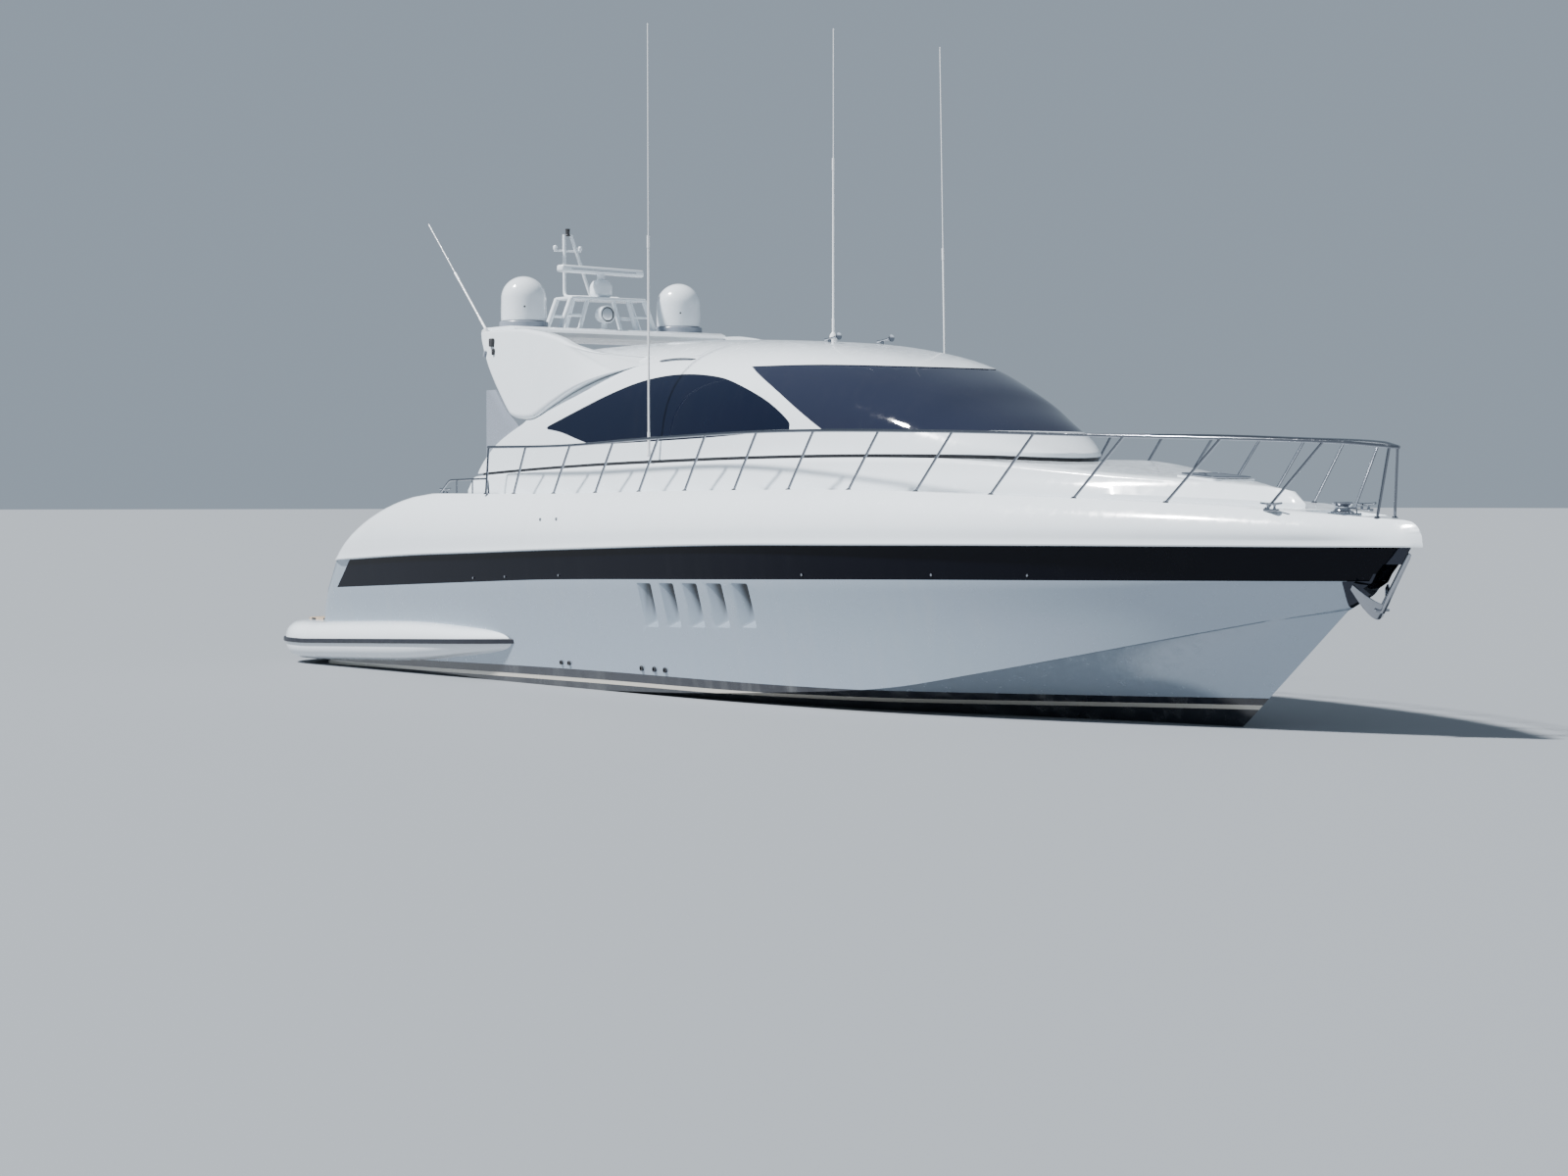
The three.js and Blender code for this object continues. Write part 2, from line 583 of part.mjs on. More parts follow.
// Raised frame of the escape hatch, part of the foredeck moulding and sloping with it
const HATCH = { x: 7900, half: 290, rim: 30, radius: 60, foot: -60, height: 30, lid: 24, gap: 5 };
const hatchEdge = HATCH.half + HATCH.rim;
const hatchFall = trunkTopZ(HATCH.x - hatchEdge) - trunkTopZ(HATCH.x + hatchEdge);
const hatchSlope = THREE.MathUtils.radToDeg(Math.atan2(hatchFall, 2 * hatchEdge));
const onForedeck = (solid) => solid.rotate([0, hatchSlope, 0]).translate([HATCH.x, 0, trunkTopZ(HATCH.x)]);
const hatchPlan = roundedPlan(-hatchEdge, hatchEdge, -hatchEdge, hatchEdge, HATCH.radius);
deck = deck.add(onForedeck(upZ(hatchPlan, HATCH.foot, HATCH.height)));

// Forked feet of the two folding aerials, moulded on the side of the trunk
const WHIP = { y: 2180, foot: 3080, length: 5560, fork: 38 };
const WHIPS = [
  { name: 'starboard', side: -1, x: -400, lean: -20 },
  { name: 'port', side: 1, x: 250, lean: -150 },
];
for (const { side, x } of WHIPS) {
  const top = WHIP.foot - 45;
  const [near, far] = [side * (WHIP.y - 120), side * (WHIP.y + 50)];
  const bracket = box(x - 45, x + 45, Math.min(near, far), Math.max(near, far), top - 110, top);
  const prongs = [-WHIP.fork, WHIP.fork].map((offset) => {
    const y = side * WHIP.y + offset;
    return box(x - 32, x + 32, y - 7, y + 7, top - 1, WHIP.foot + 30);
  });
  deck = deck.add(unite([bracket, ...prongs]));
}
piece('deck_moulding', deck, WHITE);
piece('garage_door', doorSolid(0, DOOR.outset, 0), WHITE);

// Swim platform with a bulb on each side of the hull
const platformZ = (x) => 365 + 0.0345 * Math.max(0, x + 9400);
const platformHalf = through([
  [-9700, 290], [-6660, 290], [-5700, 265], [-5000, 225], [-4340, 180], [-3920, 120], [-3450, 15],
]);
const platformY = through([
  [-10000, 2700], [-5800, 2700], [-5000, 2685], [-4400, 2640], [-3900, 2545], [-3450, 2390],
]);
const PLATFORM_CORNER = 1300;
const PLATFORM_AFT = -11000;
const PLATFORM_FORE = -3450;
const NOSE_DEPTH = 330;
const NOSE_STEPS = 4;
const platformStations = [];
const PLATFORM_STEPS = { corner: 6, side: 11 };
for (let k = 0; k < PLATFORM_STEPS.corner; k += 1) {
  platformStations.push({ turn: k / PLATFORM_STEPS.corner * Math.PI / 2, share: 0 });
}
for (let k = 0; k <= PLATFORM_STEPS.side; k += 1) {
  platformStations.push({ turn: Math.PI / 2, share: k / PLATFORM_STEPS.side });
}
function platformLine(inward, rise) {
  return platformStations.map(({ turn, share }) => {
    const middle = mix(PLATFORM_AFT + PLATFORM_CORNER, PLATFORM_FORE, share);
    const reach = PLATFORM_CORNER - inward * Math.min(1, platformHalf(middle) / 200);
    const x = middle - reach * Math.cos(turn);
    const y = platformY(middle) - PLATFORM_CORNER + reach * Math.sin(turn);
    return [x, y, platformZ(x) + rise * platformHalf(x)];
  });
}
const noseLines = [];
for (let k = -NOSE_STEPS; k <= NOSE_STEPS; k += 1) {
  const angle = k / NOSE_STEPS * Math.PI / 2;
  const inward = NOSE_DEPTH * (1 - Math.abs(Math.cos(angle)) ** 0.8);
  noseLines.push(platformLine(inward, Math.sign(k) * Math.abs(Math.sin(angle)) ** 0.8));
}
const hullRoom = mirroredSolid(hullLines(0.5));
const platform = mirroredSolid(noseLines).subtract(hullRoom);
piece('swim_platform', platform, WHITE);

// Dark rub rail round the platform
const RAIL = { half: 26, thick: 34, gap: 0.5 };
function platformRail() {
  const starboard = platformStations.map(({ turn, share }) => {
    const middle = mix(PLATFORM_AFT + PLATFORM_CORNER, PLATFORM_FORE - 70, share);
    const edge = platformY(middle) - PLATFORM_CORNER;
    const corner = (reach, z) => [middle - reach * Math.cos(turn), -edge - reach * Math.sin(turn), z];
    const z = platformZ(middle - PLATFORM_CORNER * Math.cos(turn));
    const near = PLATFORM_CORNER + RAIL.gap;
    const far = near + RAIL.thick;
    const [low, high] = [z - RAIL.half, z + RAIL.half];
    return [corner(near, low), corner(far, low), corner(far, high), corner(near, high)];
  });
  const port = starboard.map((ring) => ring.map(([x, y, z]) => [x, -y, z]));
  return loft([...starboard.reverse(), ...port]).subtract(hullRoom);
}
piece('platform_rub_rail', clearOf(platformRail(), platform), RUBBER);
const platformTop = platformZ(-10000) + platformHalf(-10000);
const teakPlan = roundedPlan(-10650, HULL_END - 30, -2150, 2150, 450);
piece('platform_teak', upZ(teakPlan, platformTop + SEAM, platformTop + 26), TEAK);

// Superstructure: a rounded skin whose cross-sections shrink to the nose of the windscreen
const crownZ = through([
  [-5300, 4600], [-4400, 4655], [-2900, 4675], [-1200, 4660], [970, 4545], [2200, 4390], [2900, 4250],
  [3300, 4120], [3900, 3890], [4250, 3700], [4800, 3420], [5200, 3160], [CABIN_NOSE, CABIN_FOOT],
]);
function cabinY(x) {
  if (x < -1000) return CABIN_BREADTH;
  return CABIN_BREADTH * Math.sqrt(Math.max(0, 1 - ((x + 1000) / (CABIN_NOSE + 1000)) ** 2.5));
}
const squareness = (x) => mix(3.2, 2.1, THREE.MathUtils.smoothstep(x, 1000, 5000));
function skinY(x, z) {
  const share = Math.min(1, Math.max(0, (z - CABIN_FOOT) / (crownZ(x) - CABIN_FOOT)));
  const power = squareness(x);
  return cabinY(x) * (1 - 0.05 * share) * (1 - share ** power) ** (1 / power);
}
const ARC_STEPS = 12;
const SKIN_STEPS = 16;
function cabinSkin(inset, aft = -5200) {
  const nose = CABIN_NOSE - inset * 1.6;
  const rings = [];
  for (let k = 0; k <= SKIN_STEPS; k += 1) {
    const share = 1 - (1 - k / SKIN_STEPS) ** 1.5;
    const x = mix(aft, nose - 4, share);
    const outerX = x + inset * 1.6 * Math.max(0, (x - 2000) / (nose - 2000));
    const breadth = Math.max(6, cabinY(outerX) - inset);
    const height = Math.max(6, crownZ(outerX) - inset - CABIN_FOOT);
    const power = squareness(outerX);
    const ring = [];
    for (let n = 0; n <= ARC_STEPS; n += 1) {
      const angle = n / ARC_STEPS * Math.PI;
      const up = Math.sin(angle) ** (2 / power);
      const out = Math.sign(Math.cos(angle)) * Math.abs(Math.cos(angle)) ** (2 / power);
      const flat = Math.abs(Math.cos(angle)) < 1e-9 ? 0 : out;
      ring.push([x, -breadth * flat * (1 - 0.05 * up), CABIN_FOOT + height * up]);
    }
    const bottom = CABIN_FOOT - (inset > 0 ? 500 : 400);
    ring.push([x, breadth, bottom], [x, -breadth, bottom]);
    rings.push(ring);
  }
  return loft(rings);
}
const outerSkin = cabinSkin(0);
const shell = outerSkin.subtract(cabinSkin(WALL, -5300));

// Side view of the joint between the cabin side and the arch moulding, and of the windows
const archJoint = [
  [-3630, 3640], [-3230, 3790], [-2700, 3990], [-2200, 4140], [-1700, 4245], [-1210, 4320], [-260, 4390],
];
const sideWindow = [
  [-3260, 3490], [-2880, 3425], [-2380, 3310], [-2050, 3240], [600, 3290], [2250, 3370], [2200, 3480],
  [1840, 3690], [1380, 3870], [820, 4030], [340, 4100], [-150, 4130], [-650, 4120], [-1220, 4050],
  [-1860, 3900], [-2540, 3710], [-3120, 3535],
];
const windscreen = [
  [1100, 4190], [1880, 3840], [2780, 3360], [6000, 3300], [6000, 4135], [3300, 4135], [2200, 4180],
];
const windowCut = acrossY(sideWindow, -3000, 3000);
const screenCut = acrossY(windscreen, -3000, 3000);
const ROOF_AFT = -3700;
const archOutline = [[ROOF_AFT, 3640], ...archJoint, [-200, 5200], [ROOF_AFT, 5200]];
const archRegion = acrossY(archOutline, -3000, 3000);
const archRoom = archRegion.add(box(-5400, ROOF_AFT + 100, -3000, 3000, 3640, 5200));
const aftSweep = [
  [-5400, 2500], [-5150, 2850], [-4950, 3050], [-4650, 3270], [-4300, 3430], [-3950, 3560], [-3800, 3640],
];
const sweepRoom = acrossY([...aftSweep, [-3800, 5300], [-5500, 5300], [-5500, 2500]], -3000, 3000);
const trunkX = [];
for (let x = -5600; x <= 6400; x += 600) trunkX.push(x);
const belowTrunk = (lift) => acrossY(
  [...trunkX.map((x) => [x, trunkTopZ(x) + lift]), [6400, 1000], [-5600, 1000]], -3000, 3000,
);
let cabin = shell.subtract(archRoom).subtract(sweepRoom).subtract(windowCut).subtract(screenCut);
cabin = cabin.subtract(belowTrunk(SEAL));
const sealSkin = cabinSkin(18).subtract(cabinSkin(60, -5300)).subtract(sweepRoom);
const sealEnd = box(-5600, -5000, -3000, 3000, 0, 5000);
const sealBand = sealSkin.intersect(belowTrunk(SEAL - SEAM)).subtract(belowTrunk(-20)).subtract(sealEnd);
const seal = clearOf(sealBand, deck);
piece('cabin_seal', seal, RUBBER);

// Arch moulding: the aft roof with a swept wing on each side
const WING_THICK = 130;
const wingOutline = [
  [-5330, 4910], [-5300, 4800], [-5180, 4600], [-4990, 4350], [-4700, 4050], [-4380, 3760], [-4220, 3670],
  [-3950, 3632], ...archJoint.slice(0, 6), [-1250, 4420], [-2200, 4480], [-2700, 4590], [-3100, 4720],
  [-3500, 4810], [-3900, 4870], [-4300, 4905],
];
function wing(side) {
  const outside = ([x, z]) => {
    const upright = mix(2035, 1900, (z - 3640) / 1270);
    return mix(upright, skinY(x, z), THREE.MathUtils.smoothstep(x, -2900, -1300));
  };
  const inner = wingOutline.map(([x, z]) => [x, side * (outside([x, z]) - WING_THICK), z]);
  const outer = wingOutline.map(([x, z]) => [x, side * outside([x, z]), z]);
  return loft([inner, outer]);
}
const arch = shell.intersect(archRegion).add(wing(1)).add(wing(-1));
piece('arch_moulding', arch, WHITE);
for (const move of [[0, 0, -SEAM], [SEAM, 0, 0]]) cabin = cabin.subtract(arch.translate(move));
piece('cabin_shell', cabin, WHITE);

// Glass in the windows
function pane(outline, margin, skin, sides) {
  const centre = new THREE.Vector2();
  outline.forEach(([x, z]) => centre.add(new THREE.Vector2(x, z).divideScalar(outline.length)));
  const small = outline.map(([x, z]) => {
    const out = new THREE.Vector2(x, z).sub(centre);
    const scale = 1 - margin / out.length();
    return [centre.x + out.x * scale, centre.y + out.y * scale];
  });
  return skin.intersect(acrossY(small, ...sides));
}
const glassSkin = cabinSkin(14).subtract(cabinSkin(36, -5300));
piece('side_window_starboard', pane(sideWindow, 3, glassSkin, [-3000, -500]), GLASS);
piece('side_window_port', pane(sideWindow, 3, glassSkin, [500, 3000]), GLASS);
piece('windscreen', pane(windscreen, 3, glassSkin, [-3000, 3000]), GLASS);

// Screen of the cockpit below each wing
const screenOutline = [
  [-4980, 2820], [-4980, 4060], [-4740, 4060], [-4400, 3740], [-4240, 3640], [-4000, 3480], [-4400, 3150],
  [-4800, 2960], [-4800, 2820],
];
const SCREEN = { near: 1962, far: 1990 };
function cockpitScreen(side) {
  const [near, far] = [side * SCREEN.near, side * SCREEN.far];
  return clearOf(acrossY(screenOutline, Math.min(near, far), Math.max(near, far)), arch, cabin, seal, deck);
}
piece('cockpit_screen_starboard', cockpitScreen(-1), SILVER);
piece('cockpit_screen_port', cockpitScreen(1), SILVER);

// Aft bulkhead of the saloon, with a fixed pane and a sliding door
const DOORWAY = { half: 860, foot: 1790, top: 3760, gap: 6 };
const BULKHEAD_FORE = BULKHEAD_X + 70;
const upperRoom = box(BULKHEAD_X, BULKHEAD_FORE, -3000, 3000, 3045, 6000);
const bulkheadFoot = box(BULKHEAD_X, BULKHEAD_FORE, -COCKPIT.half + 10, COCKPIT.half - 10, SOLE + SEAM, 3046);
const doorwayX = [BULKHEAD_X - 9, BULKHEAD_FORE + 9];
const doorway = box(...doorwayX, -DOORWAY.half, DOORWAY.half, DOORWAY.foot, DOORWAY.top);
const bulkheadBlank = cabinSkin(WALL + 1, -5300).intersect(upperRoom).add(bulkheadFoot.subtract(deck));
const bulkhead = bulkheadBlank.subtract(doorway);
piece('aft_bulkhead', bulkhead, WHITE);
const [paneFoot, paneTop] = [DOORWAY.foot + SEAM, DOORWAY.top - SEAM];
const fixedPane = box(BULKHEAD_X + 40, BULKHEAD_X + 60, 1, DOORWAY.half - SEAM, paneFoot, paneTop);
piece('bulkhead_pane', fixedPane, GLASS);
const [doorFoot, doorTop] = [DOORWAY.foot + SEAM, DOORWAY.top - DOORWAY.gap];
const slidingDoor = box(BULKHEAD_X + 5, BULKHEAD_X + 30, -DOORWAY.half + DOORWAY.gap, 20, doorFoot, doorTop);
piece('saloon_door', slidingDoor, GLASS);

// Crossbeam between the wings, which carries the domes and the mast
const beamOutline = [
  [-5480, 4885], [-5470, 4835], [-5400, 4795], [-5250, BEAM_BOTTOM], [-4750, BEAM_BOTTOM], [-4560, 4825],
  [-4500, 4885], [-4540, 4930], [-4650, BEAM_TOP], [-5380, BEAM_TOP], [-5460, 4935],
];
const BEAM_HALF = 1790;
piece('arch_beam', clearOf(acrossY(beamOutline, -BEAM_HALF, BEAM_HALF), arch), WHITE);

// Satellite domes
const DOME = { x: -5080, y: 1320, radius: 318, base: 352, skirt: 90, neck: 125, shoulder: 422, steps: 5 };
const domeFoot = BEAM_TOP + SEAM;
const domeProfile = [[0, domeFoot], [DOME.base, domeFoot], [DOME.base, domeFoot + DOME.skirt]];
domeProfile.push([DOME.radius, domeFoot + DOME.neck], [DOME.radius, domeFoot + DOME.shoulder]);
for (let k = 1; k <= DOME.steps; k += 1) {
  const angle = k / DOME.steps * Math.PI / 2;
  const radius = k === DOME.steps ? 0 : DOME.radius * Math.cos(angle);
  domeProfile.push([radius, domeFoot + DOME.shoulder + DOME.radius * Math.sin(angle)]);
}
piece('dome_starboard', turned(domeProfile, DOME.x, -DOME.y, 18), WHITE);
piece('dome_port', turned(domeProfile, DOME.x, DOME.y, 18), WHITE);

// Radar mast: two tube frames joined by a plate, and the light mast that it braces aft of the scanner
const MAST = { aft: -5330, fore: -4930, plateTop: 5445, plate: 45, half: 630, sides: 6 };
const LEGS = [{ foot: 800, top: 620, radius: 32 }, { foot: 480, top: 340, radius: 26 }];
const POLE = { x: -6080, lean: -60, top: 6440, arms: [-40, 420], radius: 22, crossbar: 240 };
function mast() {
  const plateFoot = MAST.plateTop - MAST.plate;
  const parts = [box(MAST.aft - 40, MAST.fore + 40, -MAST.half, MAST.half, plateFoot, MAST.plateTop)];
  for (const x of [MAST.aft, MAST.fore]) {
    for (const side of [1, -1]) {
      for (const { foot, top, radius } of LEGS) {
        parts.push(bar([x, side * foot, BEAM_TOP - 20], [x, side * top, plateFoot + 20], radius, MAST.sides));
      }
    }
  }
  const braceZ = MAST.plateTop + POLE.radius - 4;
  const headX = POLE.x + POLE.lean;
  for (const y of POLE.arms) {
    parts.push(bar([MAST.aft + 15, y, braceZ], [POLE.x, y, braceZ + 60], POLE.radius, MAST.sides));
    parts.push(bar([POLE.x, y, braceZ + 50], [headX, y * 0.25, POLE.top], POLE.radius, MAST.sides));
  }
  const lamp = [[0, POLE.top - 30], [45, POLE.top - 30], [45, POLE.top + 90], [0, POLE.top + 90]];
  parts.push(turned(lamp, headX, 50, 10));
  const crossZ = POLE.top - POLE.crossbar;
  parts.push(bar([headX, -180, crossZ], [headX, 280, crossZ], 16, MAST.sides));
  return unite(parts);
}

// Radar: a gearbox bolted to the plate of the mast, and its turning scanner
const RADAR = { x: -5120, foot: MAST.plateTop - 5, half: 820, hub: 5765, turn: 12, drive: 60 };
const gearboxRows = [[0, RADAR.foot], [120, RADAR.foot], [165, RADAR.foot + 50], [165, RADAR.foot + 170]];
gearboxRows.push([120, RADAR.foot + 250], [RADAR.drive, RADAR.foot + 270]);
gearboxRows.push([RADAR.drive, RADAR.hub - SEAM], [0, RADAR.hub - SEAM]);
const gearbox = turned(gearboxRows, RADAR.x, 0, 16);
const aboveBeam = box(-7000, -4000, -2000, 2000, BEAM_TOP + SEAM, 7000);
piece('radar_mast', mast().add(gearbox).intersect(aboveBeam), WHITE);
const scannerSection = [[-60, 20], [60, 20], [75, 65], [55, 125], [-55, 125], [-75, 65]];
const scannerRings = [-1, 1].map((end) => scannerSection.map(([x, z]) => [x, end * RADAR.half, z]));
const scannerHub = turned([[0, 0], [RADAR.drive, 0], [RADAR.drive, 30], [0, 30]], 0, 0, 16);
const scanner = piece('radar_scanner', loft(scannerRings).add(scannerHub), WHITE);
scanner.rotation.z = THREE.MathUtils.degToRad(RADAR.turn);
scanner.position.set(RADAR.x, 0, RADAR.hub);

// Searchlight on the beam
const LAMP = { x: -4790, y: -150, z: 5185, radius: 125, half: 110 };
const [lampAft, lampFore] = [LAMP.x - LAMP.half, LAMP.x + LAMP.half];
const lampBody = bar([lampAft, LAMP.y, LAMP.z], [lampFore, LAMP.y, LAMP.z], LAMP.radius, 16);
const lampFoot = bar([LAMP.x, LAMP.y, BEAM_TOP - 60], [LAMP.x, LAMP.y, LAMP.z], 45, 10);
piece('searchlight', lampBody.add(lampFoot).intersect(aboveBeam), WHITE);

// Whip aerials: two folding ones on the side decks, one on the roof and one on the wing
function whip(foot, top) {
  const joint = foot.map((value, n) => mix(value, top[n], 0.49));
  const sleeve = foot.map((value, n) => mix(value, top[n], 0.485));
  return bar(foot, joint, 17, 8, 15).add(bar(sleeve, top, 12, 6, 6));
}
for (const { name, side, x, lean } of WHIPS) {
  const y = side * WHIP.y;
  const blade = whip([x, y, WHIP.foot + 20], [x + lean, y, WHIP.foot + WHIP.length]);
  const root = box(x - 20, x + 20, y - 24, y + 24, WHIP.foot - 20, WHIP.foot + 60);
  const pin = bar([x, y - 31 + SEAM, WHIP.foot], [x, y + 31 - SEAM, WHIP.foot], 7, 8);
  piece(`whip_${name}`, unite([blade, root, pin]), WHITE);
}
function roofAerial() {
  const [x, y, height] = [-40, 500, 4150];
  const z = crownZ(x);
  const foot = [[0, z - 100], [55, z - 100], [55, z + 110], [25, z + 130], [0, z + 130]];
  const aerial = whip([x, y, z - 60], [x, y, z + height]).add(turned(foot, x, y, 12));
  return clearOf(aerial, cabin, arch, cabinSkin(WALL - 1));
}
piece('whip_roof', roofAerial(), WHITE);
function wingAerial() {
  const [x, y, z] = [-5260, -1835, 4900];
  const [reach, rise] = [1700, 1660];
  const foot = bar([x, y, z], [x, y, z + 60], 30, 10);
  return clearOf(whip([x, y, z + 12], [x - reach, y, z + rise]).add(foot), arch);
}
piece('whip_wing', wingAerial(), WHITE);

// Guard rails: leaning stanchions and one top rail on each side, meeting in the pulpit
const railZ = through([
  [-4360, 3240], [-2100, 3230], [100, 3290], [2800, 3330], [5600, 3280], [7800, 3200], [10060, 3110],
  [10780, 3030],
]);
const railY = plan(2430, 10680, 500, 2.6, 110);
const POSTS = { first: -3550, pitch: 1078, count: 13, inboard: 60, tube: 15, rail: 17, sides: 5, steps: 18 };
const RAIL_END = { aft: -4200, fore: 10600, tip: 10650, foot: 10480, footY: 130 };
const postLean = through([
  [-3550, 400], [-2470, 500], [2980, 550], [5120, 640], [7230, 680], [8300, 660], [9390, 590],
]);
function railSide(side) {
  const onRail = (x) => [x, side * Math.max(railY(x), 60), railZ(x)];
  const onDeck = (x, y) => [x, side * y, deckZ(x) - 20];
  const post = (foot, top) => bar(foot, top, POSTS.tube, POSTS.sides);
  const route = [];
  for (let k = 0; k <= POSTS.steps; k += 1) {
    route.push(onRail(mix(RAIL_END.aft, RAIL_END.fore, 1 - (1 - k / POSTS.steps) ** 1.35)));
  }
  const parts = [tube([...route, [RAIL_END.tip, side * SEAM, railZ(RAIL_END.tip)]], POSTS.rail, POSTS.sides)];
  const end = RAIL_END.aft + POSTS.tube;
  parts.push(post(onRail(end), onDeck(end, railY(end) + 45)));
  for (let k = 0; k < POSTS.count; k += 1) {
    const x = POSTS.first + k * POSTS.pitch;
    parts.push(post(onDeck(x, deckY(x) - POSTS.inboard), onRail(x + postLean(x))));
  }
  parts.push(post(onDeck(RAIL_END.foot, RAIL_END.footY), onRail(RAIL_END.fore - 20)));
  return unite(parts);
}
for (const [side, name] of [[-1, 'starboard'], [1, 'port']]) {
  const half = box(-5000, BOW_TIP, side > 0 ? SEAM : -3000, side > 0 ? 3000 : -SEAM, 2000, 4000);
  piece(`guard_rail_${name}`, clearOf(railSide(side).intersect(half), deck), STEEL);
}

// Bow gear: the anchor hangs down the stem with its fluke curved round it, and the windlass in its well
const ANCHOR = { crown: [10420, 0, 1330], head: [10815, 0, 1940], shank: 34 };
const FLUKE = { half: 260, rise: 260, sweep: 170, steps: 4, wide: 95, tip: 30, thick: 11 };
const crown = new THREE.Vector3(...ANCHOR.crown);
const stemWay = new THREE.Vector3(...ANCHOR.head).sub(crown).normalize();
function flukeAt(share) {
  const bend = share * share;
  return new THREE.Vector3(-FLUKE.sweep * bend, FLUKE.half * share, FLUKE.rise * bend).add(crown);
}
const flukeRings = [];
for (let k = -FLUKE.steps; k <= FLUKE.steps; k += 1) {
  const share = k / FLUKE.steps;
  const along = flukeAt(share + 0.01).sub(flukeAt(share - 0.01)).normalize();
  const thick = along.clone().cross(stemWay).normalize().multiplyScalar(FLUKE.thick);
  const wide = stemWay.clone().multiplyScalar(mix(FLUKE.wide, FLUKE.tip, share * share));
  const corner = (a, b) => flukeAt(share).addScaledVector(wide, a).addScaledVector(thick, b).toArray();
  flukeRings.push([corner(-1, -1), corner(1, -1), corner(1, 1), corner(-1, 1)]);
}
const shank = bar(ANCHOR.crown, ANCHOR.head, ANCHOR.shank, 10);
piece('anchor', clearOf(shank.add(loft(flukeRings)), hull, deck), STEEL);
const WINDLASS = { x: 9850, foot: BOW_WELL.floor + SEAM, base: 35, sides: 14 };
const drumRow = (radius, height) => [radius, WINDLASS.foot + height];
const drumProfile = [drumRow(0, 0), drumRow(130, 0), drumRow(130, 20), drumRow(85, 40), drumRow(85, 110)];
drumProfile.push(drumRow(110, 130), drumRow(110, 150), drumRow(0, 150));
const drum = turned(drumProfile, WINDLASS.x, 0, WINDLASS.sides);
const plateTop = WINDLASS.foot + WINDLASS.base;
const gearPlate = box(WINDLASS.x - 150, WINDLASS.x + 210, -80, 80, WINDLASS.foot, plateTop);
piece('windlass', drum.add(gearPlate), STEEL);

// Lid of the escape hatch, hinged at its forward edge
const lidPlan = roundedPlan(-HATCH.half, HATCH.half, -HATCH.half, HATCH.half, HATCH.radius);
const lidFoot = HATCH.height + HATCH.gap;
const hinge = box(HATCH.half - 30, HATCH.half - 8, -120, 120, HATCH.height + SEAM, lidFoot + 1);
piece('fore_hatch_lid', onForedeck(upZ(lidPlan, lidFoot, lidFoot + HATCH.lid).add(hinge)), GLASS);

// Mooring cleats, two forward and two aft
const CLEAT = { horn: 14, leg: 15, apart: 50, half: 160, height: 62, tip: 75, sides: 6 };
function cleat(x, y) {
  const z = deckZ(x);
  const hornEnds = [-1, 1].map((end) => [x + end * CLEAT.half, y, z + CLEAT.tip]);
  const hornMiddle = [-1, 1].map((end) => [x + end * CLEAT.half / 2, y, z + CLEAT.height]);
  const horn = tube([hornEnds[0], ...hornMiddle, hornEnds[1]], CLEAT.horn, CLEAT.sides);
  const legs = [-1, 1].map((end) => {
    const at = x + end * CLEAT.apart;
    return bar([at, y, z], [at, y, z + CLEAT.height], CLEAT.leg, CLEAT.sides);
  });
  const base = upZ(roundedPlan(x - 110, x + 110, y - 35, y + 35, 30, 2), z - 30, z + 12);
  return clearOf(unite([horn, ...legs, base]), deck);
}
for (const [side, name] of [[-1, 'starboard'], [1, 'port']]) {
  piece(`cleat_fore_${name}`, cleat(9500, side * 700), STEEL);
  piece(`cleat_aft_${name}`, cleat(-5900, side * 2150), STEEL);
}

// Underwater gear: propellers on their shafts, the brackets round them, and the rudders
const SCREW = { tip: 420, hub: 95, half: 110, blades: 5 };
const bladeRows = [[60, 75, 40], [260, 95, 130], [SCREW.tip - 8, 30, 70]];
function screw() {
  const parts = [bar([-SCREW.half, 0, 0], [SCREW.half, 0, 0], SCREW.hub, 12, SCREW.hub * 0.7)];
  const rings = bladeRows.map(([z, x, y]) => [
    [-x, -y, z], [x, y, z], [x + 4, y - 10, z + 2], [5 - x, -y - 11, z + 2],
  ]);
  for (let k = 0; k < SCREW.blades; k += 1) parts.push(loft(rings).rotate([k / SCREW.blades * 360, 0, 0]));
  parts.push(bar([80, 0, 0], [SHAFT_REACH - SEAM, 0, 0], SHAFT.radius, 12));
  return unite(parts);
}
const shaftPitch = -Math.atan2(SHAFT.foreZ - SHAFT.aftZ, SHAFT.foreX - SHAFT.aftX);
const screwShape = screw();

const BRACKET = { aft: -240, fore: -420, radius: 85, chord: 100, thick: 16, top: -300 };
const BORE = { radius: SHAFT.radius + 2, run: 100 };
function shaftBracket(y) {
  const barrel = bar(onShaft(BRACKET.fore, y), onShaft(BRACKET.aft, y), BRACKET.radius, 12);
  const [x, , z] = onShaft((BRACKET.aft + BRACKET.fore) / 2, y);
  const foil = (grow, height) => [
    [x - BRACKET.chord * grow, y, height], [x, y - BRACKET.thick, height],
    [x + BRACKET.chord * grow, y, height], [x, y + BRACKET.thick, height],
  ];
  const bore = bar(onShaft(BRACKET.fore - BORE.run, y), onShaft(BRACKET.aft + BORE.run, y), BORE.radius, 16);
  return clearOf(barrel.add(loft([foil(0.9, z), foil(1.2, BRACKET.top)])).subtract(bore), hull);
}

